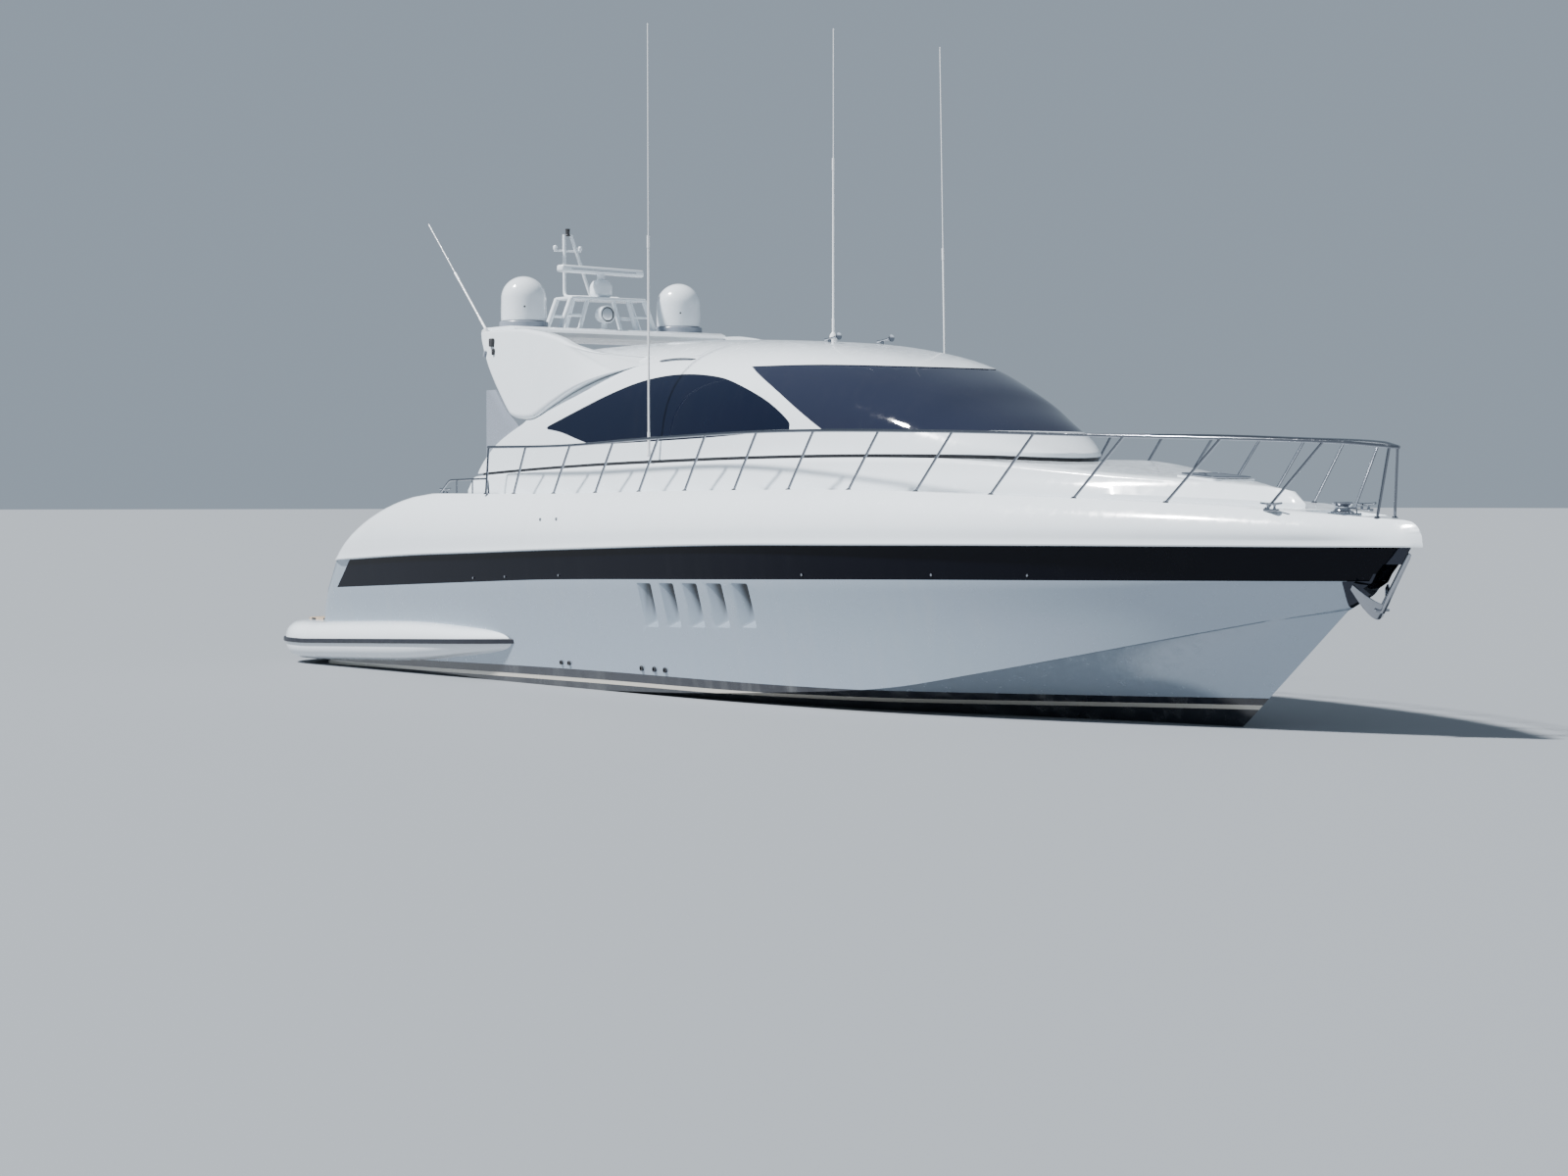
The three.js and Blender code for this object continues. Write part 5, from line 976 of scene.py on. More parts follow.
# %% Trunk
def trunk_skin(steps=64):
    shares = [1 - (1 - k / steps) ** 1.3 for k in range(steps + 1)]

    def row(aft, stem, breadth, height):
        return [(x, max(0.0, breadth(x)), height(x)) for x in (mix(aft, stem, share) for share in shares)]

    def rise(x):
        return 0.018 * smoothstep(x, 5.5, 6.4) * smoothstep(-x, -9.0, -8.2)

    sink = row(TRUNK_AFT, TRUNK_END, trunk_foot_y, lambda x: deck_z(x) - 0.3)
    foot = row(TRUNK_AFT, TRUNK_END, trunk_foot_y, lambda x: deck_z(x) + 0.05)
    shoulder = row(TRUNK_AFT + 0.09, TRUNK_TIP + 0.2, lambda x: trunk_top_y(x) + 0.02,
                   lambda x: mix(deck_z(x) + 0.05, trunk_top_z(x), 0.8))
    top = row(TRUNK_AFT + 0.13, TRUNK_TIP, lambda x: trunk_top_y(x) - 0.025, trunk_top_z)
    crown = row(TRUNK_AFT + 0.13, TRUNK_TIP, lambda x: trunk_top_y(x) * 0.5,
                lambda x: trunk_top_z(x) + rise(x))
    round_low = between(shoulder, top, 0.35, 0.012)
    round_high = between(shoulder, top, 0.7, 0.012)
    return mirrored("trunk", [sink, foot, between(foot, shoulder, 0.5), shoulder, round_low, round_high, top,
                              between(top, crown, 0.5), crown])


print("trunk from", TRUNK_AFT, "to", TRUNK_END)

# %% [markdown]
# The deck moulding is joined with its trunk and cut by the cockpit, the saloon, the garage, the stairs,
# the sunpad's place, the stern door with the room its heel swings through, and the anchor well.

# %% Deck skin
PAD_AFT, PAD_FORE, PAD_HALF, PAD_SEAT, PAD_THICK = -7.43, -6.72, 1.35, 2.27, 0.12
deck = mirrored("deck_skin", deck_lines())
carve(deck, below_joint(-SEAM))
carve(deck, trunk_skin(), "UNION")
for cutter in well_cutters():
    carve(deck, cutter)
carve(deck, garage_room())
for side in (1, -1):
    carve(deck, stair_cutter(side))
carve(deck, block("pad_room", PAD_AFT - 0.06, COCKPIT_AFT + 0.06, -STAIR_INNER - 0.01, STAIR_INNER + 0.01,
                  PAD_SEAT, OVER_ALL))
carve(deck, door_solid("door_seat", DOOR_GAP, 0.3, SEAM))
carve(deck, heel_room())
brow = [(stern_x(z) + 0.002, z) for z in (DOOR_TOP + 0.026 * k for k in range(21))]
carve(deck, across_y("brow_room", brow + [(PAST_STERN, 2.6), (PAST_STERN, DOOR_TOP)], -DOOR_HALF - DOOR_GAP,
                     DOOR_HALF + DOOR_GAP))
carve(deck, up_z("bow_well", rounded_plan(9.56, 10.25, -0.33, 0.33, 0.12), 2.33, 2.8))
print(f"{deck.name}: {len(deck.data.polygons)} faces before the hatch frame")

# %% [markdown]
# The frame of the foredeck hatch is moulded with the deck and lies square to the slope of the trunk.
# With it the deck is complete. The stern door is its own moulding, cut from the same stern.

# %% Hatch frame and stern door
HATCH_X, HATCH_HALF, HATCH_RIM, HATCH_HEIGHT = 7.9, 0.29, 0.03, 0.03
hatch_edge = HATCH_HALF + HATCH_RIM


def ring_outline(half, radius):
    return rounded_plan(-half, half, -half, half, radius)


hatch_slope = math.atan2(trunk_top_z(HATCH_X - hatch_edge) - trunk_top_z(HATCH_X + hatch_edge),
                         2 * hatch_edge)
on_foredeck = Matrix.Translation((HATCH_X, 0.0, trunk_top_z(HATCH_X))) @ Matrix.Rotation(hatch_slope, 4, "Y")
hatch_frame = up_z("hatch_frame", ring_outline(hatch_edge, 0.06), -0.06, HATCH_HEIGHT)
hatch_frame.data.transform(on_foredeck)
carve(deck, hatch_frame, "UNION")
dress(deck, "white_gelcoat", stands_for=["deck_moulding"])
dress(door_solid("garage_door_skin", 0.0, 0.006, 0.0), "white_gelcoat", "garage_door", ["garage_door"])

# %% [markdown]
# The swim platform wraps round the stern in one long bulb on each side, with a dark rubber rail
# along its fattest line, where the boat would touch first.

# %% Swim platform
PLATFORM_AFT, PLATFORM_FORE, PLATFORM_CORNER, NOSE_DEPTH = -11.0, -3.45, 1.3, 0.33
PLATFORM_Z, PLATFORM_SLOPE, SLOPE_START = 0.365, 0.0345, 9.4
platform_half = through([(-9.7, 0.29), (-6.66, 0.29), (-5.7, 0.265), (-5.0, 0.225), (-4.34, 0.185),
                         (-3.92, 0.148), (-3.62, 0.12), (-3.5, 0.1), (-3.45, 0.055)])
platform_y = through([(-10.0, 2.7), (-5.8, 2.7), (-5.0, 2.685), (-4.4, 2.64), (-3.9, 2.545), (-3.45, 2.39)])
platform_stations = [(k / 20 * math.pi / 2, 0.0) for k in range(20)]
platform_stations += [(math.pi / 2, k / 44) for k in range(45)]


def platform_z(x):
    return PLATFORM_Z + PLATFORM_SLOPE * max(0.0, x + SLOPE_START)


def platform_line(inward, rise):
    points = []
    for turn, share in platform_stations:
        middle = mix(PLATFORM_AFT + PLATFORM_CORNER, PLATFORM_FORE, share)
        reach = PLATFORM_CORNER - inward * min(1.0, platform_half(middle) / 0.2)
        x = middle - reach * math.cos(turn)
        y = platform_y(middle) - PLATFORM_CORNER + reach * math.sin(turn)
        points.append((x, y, platform_z(x) + rise * platform_half(x)))
    return points


def platform_skin(steps=12):
    rows = []
    for k in range(-steps, steps + 1):
        angle = k / steps * math.pi / 2
        inward = NOSE_DEPTH * (1 - abs(math.cos(angle)) ** 0.8)
        rows.append(platform_line(inward, math.copysign(abs(math.sin(angle)) ** 0.8, k) if k else 0.0))
    return mirrored("swim_platform_skin", rows)


def platform_rail_skin():
    half, thick, gap = 0.034, 0.034, 0.0005
    starboard = []
    for turn, share in platform_stations:
        middle = mix(PLATFORM_AFT + PLATFORM_CORNER, PLATFORM_FORE - 0.02, share)
        edge = platform_y(middle) - PLATFORM_CORNER
        z = platform_z(middle - PLATFORM_CORNER * math.cos(turn))
        near, far = PLATFORM_CORNER + gap, PLATFORM_CORNER + gap + thick
        section = [(near - 0.02, -half), (far - 0.01, -half), (far, -half + 0.01), (far, half - 0.01),
                   (far - 0.01, half), (near - 0.02, half)]
        starboard.append([(middle - r * math.cos(turn), -edge - r * math.sin(turn), z + up)
                          for r, up in section])
    port = [[(x, -y, z) for x, y, z in ring] for ring in starboard]
    return loft("platform_rub_rail_skin", starboard[::-1] + port)


platform = platform_skin()
hull_room = mirrored("hull_room", hull_lines(0.0005))
carve(platform, hull_room, keep=True)
dress(platform, "white_gelcoat", stands_for=["swim_platform"])
rub_rail = carve(platform_rail_skin(), hull_room)
dress(rub_rail, "rub_rail", stands_for=["platform_rub_rail"])

# %% [markdown]
# The superstructure is one rounded shell. Its cross-sections are squarish arches that shrink and
# soften towards the nose of the windscreen.

# %% Cross-sections of the cabin
CABIN_BREADTH, CABIN_NOSE, CABIN_FOOT, WALL, SEAL_HEIGHT = 2.05, 5.45, 3.05, 0.07, 0.045
crown_z = through([(-5.3, 4.6), (-4.4, 4.655), (-2.9, 4.675), (-1.2, 4.66), (0.97, 4.545), (2.2, 4.39),
                   (2.9, 4.25), (3.3, 4.12), (3.9, 3.89), (4.25, 3.7), (4.8, 3.42), (5.2, 3.16),
                   (CABIN_NOSE, CABIN_FOOT)])


def cabin_y(x):
    if x < -1.0:
        return CABIN_BREADTH
    return CABIN_BREADTH * math.sqrt(max(0.0, 1 - ((x + 1.0) / (CABIN_NOSE + 1.0)) ** 2.5))


def squareness(x):
    return mix(3.2, 2.1, smoothstep(x, 1.0, 5.0))


def skin_y(x, z):
    share = min(1.0, max(0.0, (z - CABIN_FOOT) / (crown_z(x) - CABIN_FOOT)))
    power = squareness(x)
    return cabin_y(x) * (1 - 0.05 * share) * (1 - share ** power) ** (1 / power)


def cabin_skin(name, inset, aft=-5.2, arc=48, steps=64):
    nose = CABIN_NOSE - inset * 1.6
    bottom = CABIN_FOOT - (0.5 if inset > 0 else 0.4)
    rings = []
    for k in range(steps + 1):
        share = 1 - (1 - k / steps) ** 1.5
        x = mix(aft, nose - 0.004, share)
        outer_x = x + inset * 1.6 * max(0.0, (x - 2.0) / (nose - 2.0))
        breadth = max(0.006, cabin_y(outer_x) - inset)
        height = max(0.006, crown_z(outer_x) - inset - CABIN_FOOT)
        power = squareness(outer_x)
        ring = []
        for n in range(arc + 1):
            angle = n / arc * math.pi
            up = math.sin(angle) ** (2 / power)
            flat = abs(math.cos(angle))
            out = 0.0 if flat < 1e-9 else math.copysign(flat ** (2 / power), math.cos(angle))
            ring.append((x, -breadth * out * (1 - 0.05 * up), CABIN_FOOT + height * up))
        rings.append(ring + [(x, breadth, bottom), (x, -breadth, bottom)])
    return loft(name, rings)


print("breadth of the cabin:", 2 * cabin_y(0.0))

# %% [markdown]
# The windows, the joint of the arch moulding and the sweep of the side's aft end are curves in the side
# view. Each is a few points from the photo, rounded through more points and cut across the boat.

# %% Outlines in the side view
ARCH_JOINT = [(-3.63, 3.64), (-3.23, 3.79), (-2.7, 3.99), (-2.2, 4.14), (-1.7, 4.245), (-1.21, 4.32),
              (-0.26, 4.39)]
SIDE_WINDOW = [(-3.2, 3.468), (-2.88, 3.425), (-2.38, 3.31), (-2.05, 3.24), (0.6, 3.29), (2.25, 3.37),
               (2.2, 3.48), (1.84, 3.69), (1.38, 3.87), (0.82, 4.03), (0.34, 4.1), (-0.15, 4.13),
               (-0.65, 4.12), (-1.22, 4.05), (-1.86, 3.9), (-2.54, 3.71), (-3.12, 3.55), (-3.235, 3.518),
               (-3.27, 3.493), (-3.25, 3.474)]
WINDSCREEN = [(1.1, 4.19), (1.88, 3.84), (2.78, 3.36), (6.0, 3.3), (6.0, 4.135), (3.3, 4.135), (2.2, 4.18)]
AFT_SWEEP = [(-5.4, 2.5), (-5.15, 2.85), (-4.95, 3.05), (-4.65, 3.27), (-4.3, 3.43), (-3.95, 3.56),
             (-3.8, 3.64)]
WING = [(-5.33, 4.91), (-5.3, 4.8), (-5.18, 4.6), (-4.99, 4.35), (-4.7, 4.05), (-4.38, 3.76), (-4.22, 3.67),
        (-3.95, 3.632), *ARCH_JOINT[:6], (-1.25, 4.42), (-2.2, 4.48), (-2.7, 4.59), (-3.1, 4.72),
        (-3.5, 4.81), (-3.9, 4.87), (-4.3, 4.905)]
side_window = smooth_outline(SIDE_WINDOW, 5, corners=(3, 5))
windscreen = smooth_outline(WINDSCREEN, 5, corners=(0, 2, 3, 4, 5))
arch_curve = smooth_outline(ARCH_JOINT, 6, corners=(0, 6))[:37]
sweep_curve = smooth_outline(AFT_SWEEP, 6, corners=(0, 6))[:37]
wing_outline = smooth_outline(WING, 5, corners=(0, 13, 14))


def arch_region(name):
    return across_y(name, [(-3.7, 3.64), *arch_curve, (-0.2, 5.2), (-3.7, 5.2)], -3.0, 3.0)


def below_trunk(name, lift):
    xs = [-5.6 + 0.2 * k for k in range(61)]
    return across_y(name, [(x, trunk_top_z(x) + lift) for x in xs] + [(6.4, 1.0), (-5.6, 1.0)], -3.0, 3.0)


def sweep_room(name):
    return across_y(name, [*sweep_curve, (-3.8, 5.3), (-5.5, 5.3), (-5.5, 2.5)], -3.0, 3.0)


print("points of a side window:", len(side_window))

# %% [markdown]
# A swept wing on each side carries the domes and the radar on the beam between them. It is thick
# inside and rounds off towards its outer edge, and forward it runs into the roof's side.

# %% Wings
WING_MIDDLE = Vector((-3.8, 4.35))
WING_ROLL_IN, WING_ROLL_DEEP, WING_THICK = 0.08, 0.06, 0.13


def wing(side, layers=8):
    """A swept wing with a thickness that rounds off towards its outer edge."""
    def outside(x, z):
        upright = mix(2.035, 1.9, (z - 3.64) / 1.27)
        return mix(upright, skin_y(x, z), smoothstep(x, -2.9, -1.3))

    rings = [[(x, side * (outside(x, z) - WING_THICK), z) for x, z in wing_outline]]
    for k in range(layers + 1):
        angle = k / layers * math.pi / 2
        inward, depth = WING_ROLL_IN * (1 - math.cos(angle)), WING_ROLL_DEEP * (1 - math.sin(angle))
        ring = []
        for x, z in wing_outline:
            toward = (WING_MIDDLE - Vector((x, z))).normalized() * inward
            ring.append((x + toward.x, side * (outside(x, z) - depth), z + toward.y))
        rings.append(ring)
    return loft(f"wing_{side}", rings)


print("points of a wing:", len(wing_outline))

# %% [markdown]
# The arch moulding is the aft part of the same shell with both wings. The cabin shell is what is left
# of it, with holes for the glass. A fine joint keeps the two apart: the shell is also cut by the arch
# moved down and forward by a few millimetres.

# %% Cabin shell and arch moulding
shell = carve(cabin_skin("cabin_shell_skin", 0.0), cabin_skin("inside", WALL, -5.3))
arch = carve(copied(shell, "arch_moulding_skin"), arch_region("arch_cut"), "INTERSECT")
for side in (1, -1):
    carve(arch, wing(side), "UNION")
carve(shell, carve(arch_region("arch_room"), block("aft_room", -5.4, -3.6, -3.0, 3.0, 3.64, 5.2), "UNION"))
carve(shell, sweep_room("sweep"))
carve(shell, across_y("side_window_cut", side_window, -3.0, 3.0))
carve(shell, across_y("windscreen_cut", windscreen, -3.0, 3.0))
carve(shell, below_trunk("trunk_cut", SEAL_HEIGHT))
for move in ((0.0, 0.0, -0.009), (0.0, 0.0, -0.018), (0.012, 0.0, 0.0)):
    room = copied(arch, "arch_shadow")
    room.data.transform(Matrix.Translation(move))
    carve(shell, room)
dress(shell, "white_gelcoat", stands_for=["cabin_shell"])
dress(arch, "white_gelcoat", stands_for=["arch_moulding"])
print("joint of the arch moulding from", ARCH_JOINT[0], "to", ARCH_JOINT[-1])

# %% [markdown]
# The glass is a thinner skin just inside the same surface, cut to each window's outline and a little
# smaller than its hole.

# %% Glass
def inset_outline(outline, margin):
    centre = sum((Vector(point) for point in outline), Vector((0.0, 0.0))) / len(outline)
    small = []
    for point in outline:
        out = Vector(point) - centre
        small.append(tuple(centre + out * (1 - margin / out.length)))
    return small


glass_skin = carve(cabin_skin("glass_skin", 0.006), cabin_skin("glass_inside", 0.022, -5.3))
for name, outline, y0, y1, look in (("side_window_starboard", side_window, -3.0, -0.5, "dark_glass"),
                                    ("side_window_port", side_window, 0.5, 3.0, "dark_glass"),
                                    ("windscreen", windscreen, -3.0, 3.0, "screen_glass")):
    room = across_y(f"{name}_room", inset_outline(outline, 0.003), y0, y1)
    glass = carve(copied(glass_skin, f"{name}_glass"), room, "INTERSECT")
    dress(glass, look, stands_for=[name])
bpy.data.objects.remove(glass_skin)

# %% [markdown]
# Between the trunk and the cabin lies a recessed seal whose near-black colour is painted shade: it gives the
# shadow line along the foot of the cabin.

# %% Seal under the cabin
seal = carve(cabin_skin("cabin_seal_skin", 0.018), cabin_skin("seal_inside", 0.06, -5.3))
carve(seal, sweep_room("seal_sweep"))
carve(seal, below_trunk("seal_top", SEAL_HEIGHT - SEAM), "INTERSECT")
carve(seal, below_trunk("seal_foot", -0.004))
carve(seal, block("seal_end", -5.6, -5.0, -3.0, 3.0, 0.0, 5.0))
dress(seal, "dark_seal", stands_for=["cabin_seal"])

# %% [markdown]
# Fittings start from primitives, turned profiles and tubes. Steel tube on a boat is bent from one
# length, so a tube is a curve with a round section that is then made a mesh.

# %% Helpers for fittings
SHARP = math.radians(28.0)


def placed(obj, place=(0.0, 0.0, 0.0), turn=(0.0, 0.0, 0.0)):
    """Moves and turns (in degrees) a piece made at the origin, and applies that to its mesh."""
    matrix = Matrix.Translation(place)
    for angle, axis in zip(reversed(turn), "ZYX"):
        matrix = matrix @ Matrix.Rotation(math.radians(angle), 4, axis)
    obj.data.transform(matrix)
    return obj


def modified(obj, kind, **settings):
    modifier = obj.modifiers.new("step", kind)
    for key, value in settings.items():
        setattr(modifier, key, value)
    select_only(obj)
    bpy.ops.object.modifier_apply(modifier=modifier.name)
    return obj


def softened(obj, width, segments=3):
    return modified(obj, "BEVEL", width=width, segments=segments, limit_method="ANGLE", angle_limit=SHARP)


def joined(name, parts):
    for other in bpy.context.selected_objects:
        other.select_set(False)
    for part in parts:
        part.select_set(True)
    bpy.context.view_layer.objects.active = parts[0]
    bpy.ops.object.join()
    parts[0].name = name
    return parts[0]


def slab(name, size, place=(0.0, 0.0, 0.0), soft=0.004, turn=(0.0, 0.0, 0.0), segments=3):
    """A block with rounded edges."""
    bpy.ops.mesh.primitive_cube_add(size=1.0)
    obj = bpy.context.object
    obj.name = name
    obj.data.transform(Matrix.Diagonal((*size, 1.0)))
    return placed(softened(obj, soft, segments), place, turn)


# %% [markdown]
# Round pieces are turned like on a lathe from half of their outline. Tube is a curve with a round
# section, and its bends are arcs, as a pipe bender leaves them.

# %% Turned pieces and tubes
def turned(name, profile, place=(0.0, 0.0, 0.0), turn=(0.0, 0.0, 0.0), steps=36):
    """A turned piece: the profile of (radius, height) is spun about its upright axis."""
    mesh = bpy.data.meshes.new(name)
    mesh.from_pydata([(max(r, 0.0), 0.0, z) for r, z in profile],
                     [(k, k + 1) for k in range(len(profile) - 1)], [])
    obj = bpy.data.objects.new(name, mesh)
    bpy.context.scene.collection.objects.link(obj)
    modified(obj, "SCREW", angle=math.tau, steps=steps, render_steps=steps, axis="Z", use_merge_vertices=True)
    shape = bmesh.new()
    shape.from_mesh(obj.data)
    bmesh.ops.remove_doubles(shape, verts=shape.verts, dist=0.00001)
    bmesh.ops.recalc_face_normals(shape, faces=shape.faces)
    shape.to_mesh(obj.data)
    shape.free()
    return placed(obj, place, turn)


def tube(name, points, radius, resolution=4):
    """A bent tube with closed ends through the points."""
    curve = bpy.data.curves.new(name, "CURVE")
    curve.dimensions = "3D"
    curve.bevel_depth, curve.bevel_resolution, curve.use_fill_caps = radius, resolution, True
    spline = curve.splines.new("POLY")
    spline.points.add(len(points) - 1)
    for spot, point in zip(spline.points, points):
        spot.co = (*point, 1.0)
    obj = bpy.data.objects.new(name, curve)
    bpy.context.scene.collection.objects.link(obj)
    select_only(obj)
    bpy.ops.object.convert(target="MESH")
    return bpy.context.object


def rounded_path(points, radius, steps=5):
    """The same path with each inner corner turned through an arc."""
    spots = [Vector(point) for point in points]
    path = [spots[0]]
    for before, corner, after in zip(spots, spots[1:], spots[2:]):
        reach = min(radius, (before - corner).length / 2, (after - corner).length / 2)
        start = corner + (before - corner).normalized() * reach
        end = corner + (after - corner).normalized() * reach
        for k in range(steps + 1):
            t = k / steps
            path.append(start * (1 - t) ** 2 + corner * 2 * t * (1 - t) + end * t * t)
    return path + [spots[-1]]


# %% [markdown]
# The guard rails are the first thing the eye meets on a yacht: leaning stanchions with a small round
# base, and one top rail that runs from the cockpit to the pulpit. They are bent from polished tube.

# %% Guard rails
rail_z = through([(-4.36, 3.24), (-2.1, 3.23), (0.1, 3.29), (2.8, 3.33), (5.6, 3.28), (7.8, 3.2),
                  (10.06, 3.11), (10.78, 3.03)])
rail_y = plan(2.43, 10.68, 0.5, 2.6, 0.11)
post_lean = through([(-3.55, 0.4), (-2.47, 0.5), (2.98, 0.55), (5.12, 0.64), (7.23, 0.68), (8.3, 0.66),
                     (9.39, 0.59)])
RAIL_AFT, RAIL_FORE, RAIL_TIP = -4.2, 10.6, 10.65
POST_FIRST, POST_PITCH, POST_COUNT, POST_TUBE, RAIL_TUBE = -3.55, 1.078, 13, 0.0155, 0.019


def guard_rail(side, name):
    def on_rail(x):
        return (x, side * max(rail_y(x), 0.06), rail_z(x))

    def on_deck(x, y):
        return (x, side * y, deck_z(x))

    route = [on_rail(mix(RAIL_AFT, RAIL_FORE, 1 - (1 - k / 90) ** 1.35)) for k in range(91)]
    parts = [tube("top_rail", [*route, (RAIL_TIP, side * SEAM, rail_z(RAIL_TIP))], RAIL_TUBE, 5)]
    post_base = [(0.0, -0.006), (0.036, -0.006), (0.036, 0.004), (0.026, 0.01), (0.019, 0.02), (0.0, 0.02)]
    end = RAIL_AFT + POST_TUBE
    feet = [(on_deck(end, rail_y(end) + 0.045), on_rail(end)),
            (on_deck(10.48, 0.13), on_rail(RAIL_FORE - 0.02))]
    for k in range(POST_COUNT):
        x = POST_FIRST + k * POST_PITCH
        feet.append((on_deck(x, deck_y(x) - 0.06), on_rail(x + post_lean(x))))
    for foot, top in feet:
        parts.append(tube("post", [foot, top], POST_TUBE, 4))
        parts.append(turned("post_base", post_base, foot, steps=16))
    rail = joined(f"guard_rail_tubes_{name}", parts)
    dress(rail, "rail_steel", stands_for=[f"guard_rail_{name}"], angle=40.0)


for side, name in SIDES:
    guard_rail(side, name)

# %% [markdown]
# Two satellite domes stand on the cross beam. Each is a thin plastic shell on a narrower ring, and
# the joint between shell and ring shows as a grey line near its foot.

# %% Satellite domes
BEAM_TOP = 4.965
DOME_X, DOME_Y, DOME_RADIUS, DOME_SHOULDER = -5.08, 1.32, 0.322, 0.422
DOME_FOOT = BEAM_TOP + SEAM


def dome(side, name):
    ring_rows = [(0.0, 0.0), (0.345, 0.0), (0.35, 0.006), (0.35, 0.078), (0.342, 0.09), (0.3, 0.094),
                 (0.0, 0.094)]
    shell_rows = [(0.0, 0.096), (0.31, 0.096), (DOME_RADIUS, 0.104), (DOME_RADIUS + 0.004, 0.2),
                  (DOME_RADIUS, DOME_SHOULDER)]
    for k in range(1, 15):
        angle = k / 14 * math.pi / 2
        shell_rows.append((DOME_RADIUS * math.cos(angle) if k < 14 else 0.0,
                           DOME_SHOULDER + 0.318 * math.sin(angle)))
    where = (DOME_X, side * DOME_Y, DOME_FOOT)
    dress(turned(f"dome_shell_{name}", shell_rows, where, steps=56), "white_gelcoat",
          stands_for=[f"dome_{name}"])
    dress(turned(f"dome_ring_{name}", ring_rows, where, steps=56), "grey_panel")
    plug = turned(f"dome_plug_{name}", [(0.0, 0.0), (0.012, 0.0), (0.014, 0.003), (0.0, 0.004)],
                  (0.0, -DOME_RADIUS, 0.0), (90.0, 0.0, 0.0), 14)
    placed(plug, (DOME_X, side * DOME_Y, DOME_FOOT + 0.29), (0.0, 0.0, 62.0))
    dress(plug, "dark_seal")


for side, name in SIDES:
    dome(side, name)

# %% [markdown]
# The radar stands on two welded tube frames joined by a plate, with its gearbox, a turned casting, on
# top. A light mast of two bent tubes leans up behind.

# %% Radar mast
MAST_AFT, MAST_FORE, PLATE_TOP, MAST_HALF = -5.33, -4.93, 5.445, 0.63
POLE_X, POLE_HEAD, POLE_TOP = -6.08, -6.14, 6.44
RADAR_X, RADAR_HUB = -5.12, 5.765


def radar_mast():
    leg_foot = [(0.0, 0.001), (0.062, 0.001), (0.062, 0.01), (0.04, 0.016), (0.036, 0.03), (0.0, 0.03)]
    arm_lamp = [(0.0, 0.0), (0.026, 0.0), (0.03, 0.012), (0.03, 0.05), (0.018, 0.066), (0.0, 0.068)]
    hub_foot = RADAR_HUB - SEAM - PLATE_TOP
    parts = [slab("plate", (MAST_FORE - MAST_AFT + 0.08, 2 * MAST_HALF, 0.045),
                  ((MAST_AFT + MAST_FORE) / 2, 0.0, PLATE_TOP - 0.0225), 0.012)]
    for x in (MAST_AFT, MAST_FORE):
        for side in (1, -1):
            for foot, top, radius in ((0.8, 0.62, 0.04), (0.48, 0.34, 0.032)):
                parts.append(tube("leg", [(x, side * foot, BEAM_TOP), (x, side * top, PLATE_TOP - 0.03)],
                                  radius))
                parts.append(turned("leg_foot", leg_foot, (x, side * foot, BEAM_TOP), steps=18))
        for side in (1, -1):
            parts.append(tube("rung", [(x, side * 0.725, 5.17), (x, side * 0.42, 5.17)], 0.022, 3))
    brace = PLATE_TOP + 0.018
    for y in (-0.04, 0.42):
        path = [(MAST_AFT + 0.015, y, brace), (POLE_X, y, brace + 0.055), (POLE_HEAD, y * 0.25, POLE_TOP)]
        parts.append(tube("light_pole", rounded_path(path, 0.09), 0.026))
    cross = POLE_TOP - 0.24
    parts.append(tube("cross_arm", [(POLE_HEAD, -0.18, cross), (POLE_HEAD, 0.28, cross)], 0.015, 3))
    for y in (-0.165, 0.265):
        parts.append(turned("arm_lamp", arm_lamp, (POLE_HEAD, y, cross + 0.01), steps=20))
    gearbox = [(0.0, -0.005), (0.118, -0.005), (0.12, 0.0), (0.15, 0.03), (0.163, 0.05), (0.165, 0.08),
               (0.165, 0.15), (0.158, 0.18), (0.14, 0.215), (0.12, 0.243), (0.09, 0.258), (0.062, 0.264),
               (0.058, 0.27), (0.058, hub_foot), (0.0, hub_foot)]
    parts.append(turned("gearbox", gearbox, (RADAR_X, 0.0, PLATE_TOP), steps=48))
    dress(joined("radar_mast_frame", parts), "white_gelcoat", stands_for=["radar_mast"], angle=40.0)


radar_mast()
lamp_rows = [(0.0, 0.0), (0.036, 0.0), (0.036, 0.018), (0.032, 0.024), (0.032, 0.088), (0.036, 0.094),
             (0.036, 0.108), (0.0, 0.112)]
dress(turned("masthead_lamp", lamp_rows, (POLE_HEAD, 0.05, POLE_TOP - 0.02), steps=28), "dark_trim")

# %% [markdown]
# The scanner is a long rounded bar that spins on the gearbox. It stands a little askew, as it was
# when the photo was taken, and a thin grey stripe runs along its edges.

# %% Radar scanner
SCANNER_TURN = 12.0
scanner_bar = slab("scanner", (0.15, 1.64, 0.105), (0.0, 0.0, 0.0725), 0.034)
scanner_hub = turned("scanner_hub", [(0.0, 0.0), (0.06, 0.0), (0.06, 0.026), (0.0, 0.026)], steps=36)
scanner_stripe = slab("stripe", (0.152, 1.3, 0.012), (0.0, 0.0, 0.072), 0.002)
for part in (scanner_bar, scanner_hub, scanner_stripe):
    placed(part, (RADAR_X, 0.0, RADAR_HUB), (0.0, 0.0, SCANNER_TURN))
dress(joined("radar_scanner_bar", [scanner_bar, scanner_hub]), "white_gelcoat", "radar_scanner",
      ["radar_scanner"], 40.0)
dress(scanner_stripe, "grey_panel", "radar_scanner")

# %% [markdown]
# The searchlight is a drum on a foot with a bright reflector and a rubber ring round its lens.

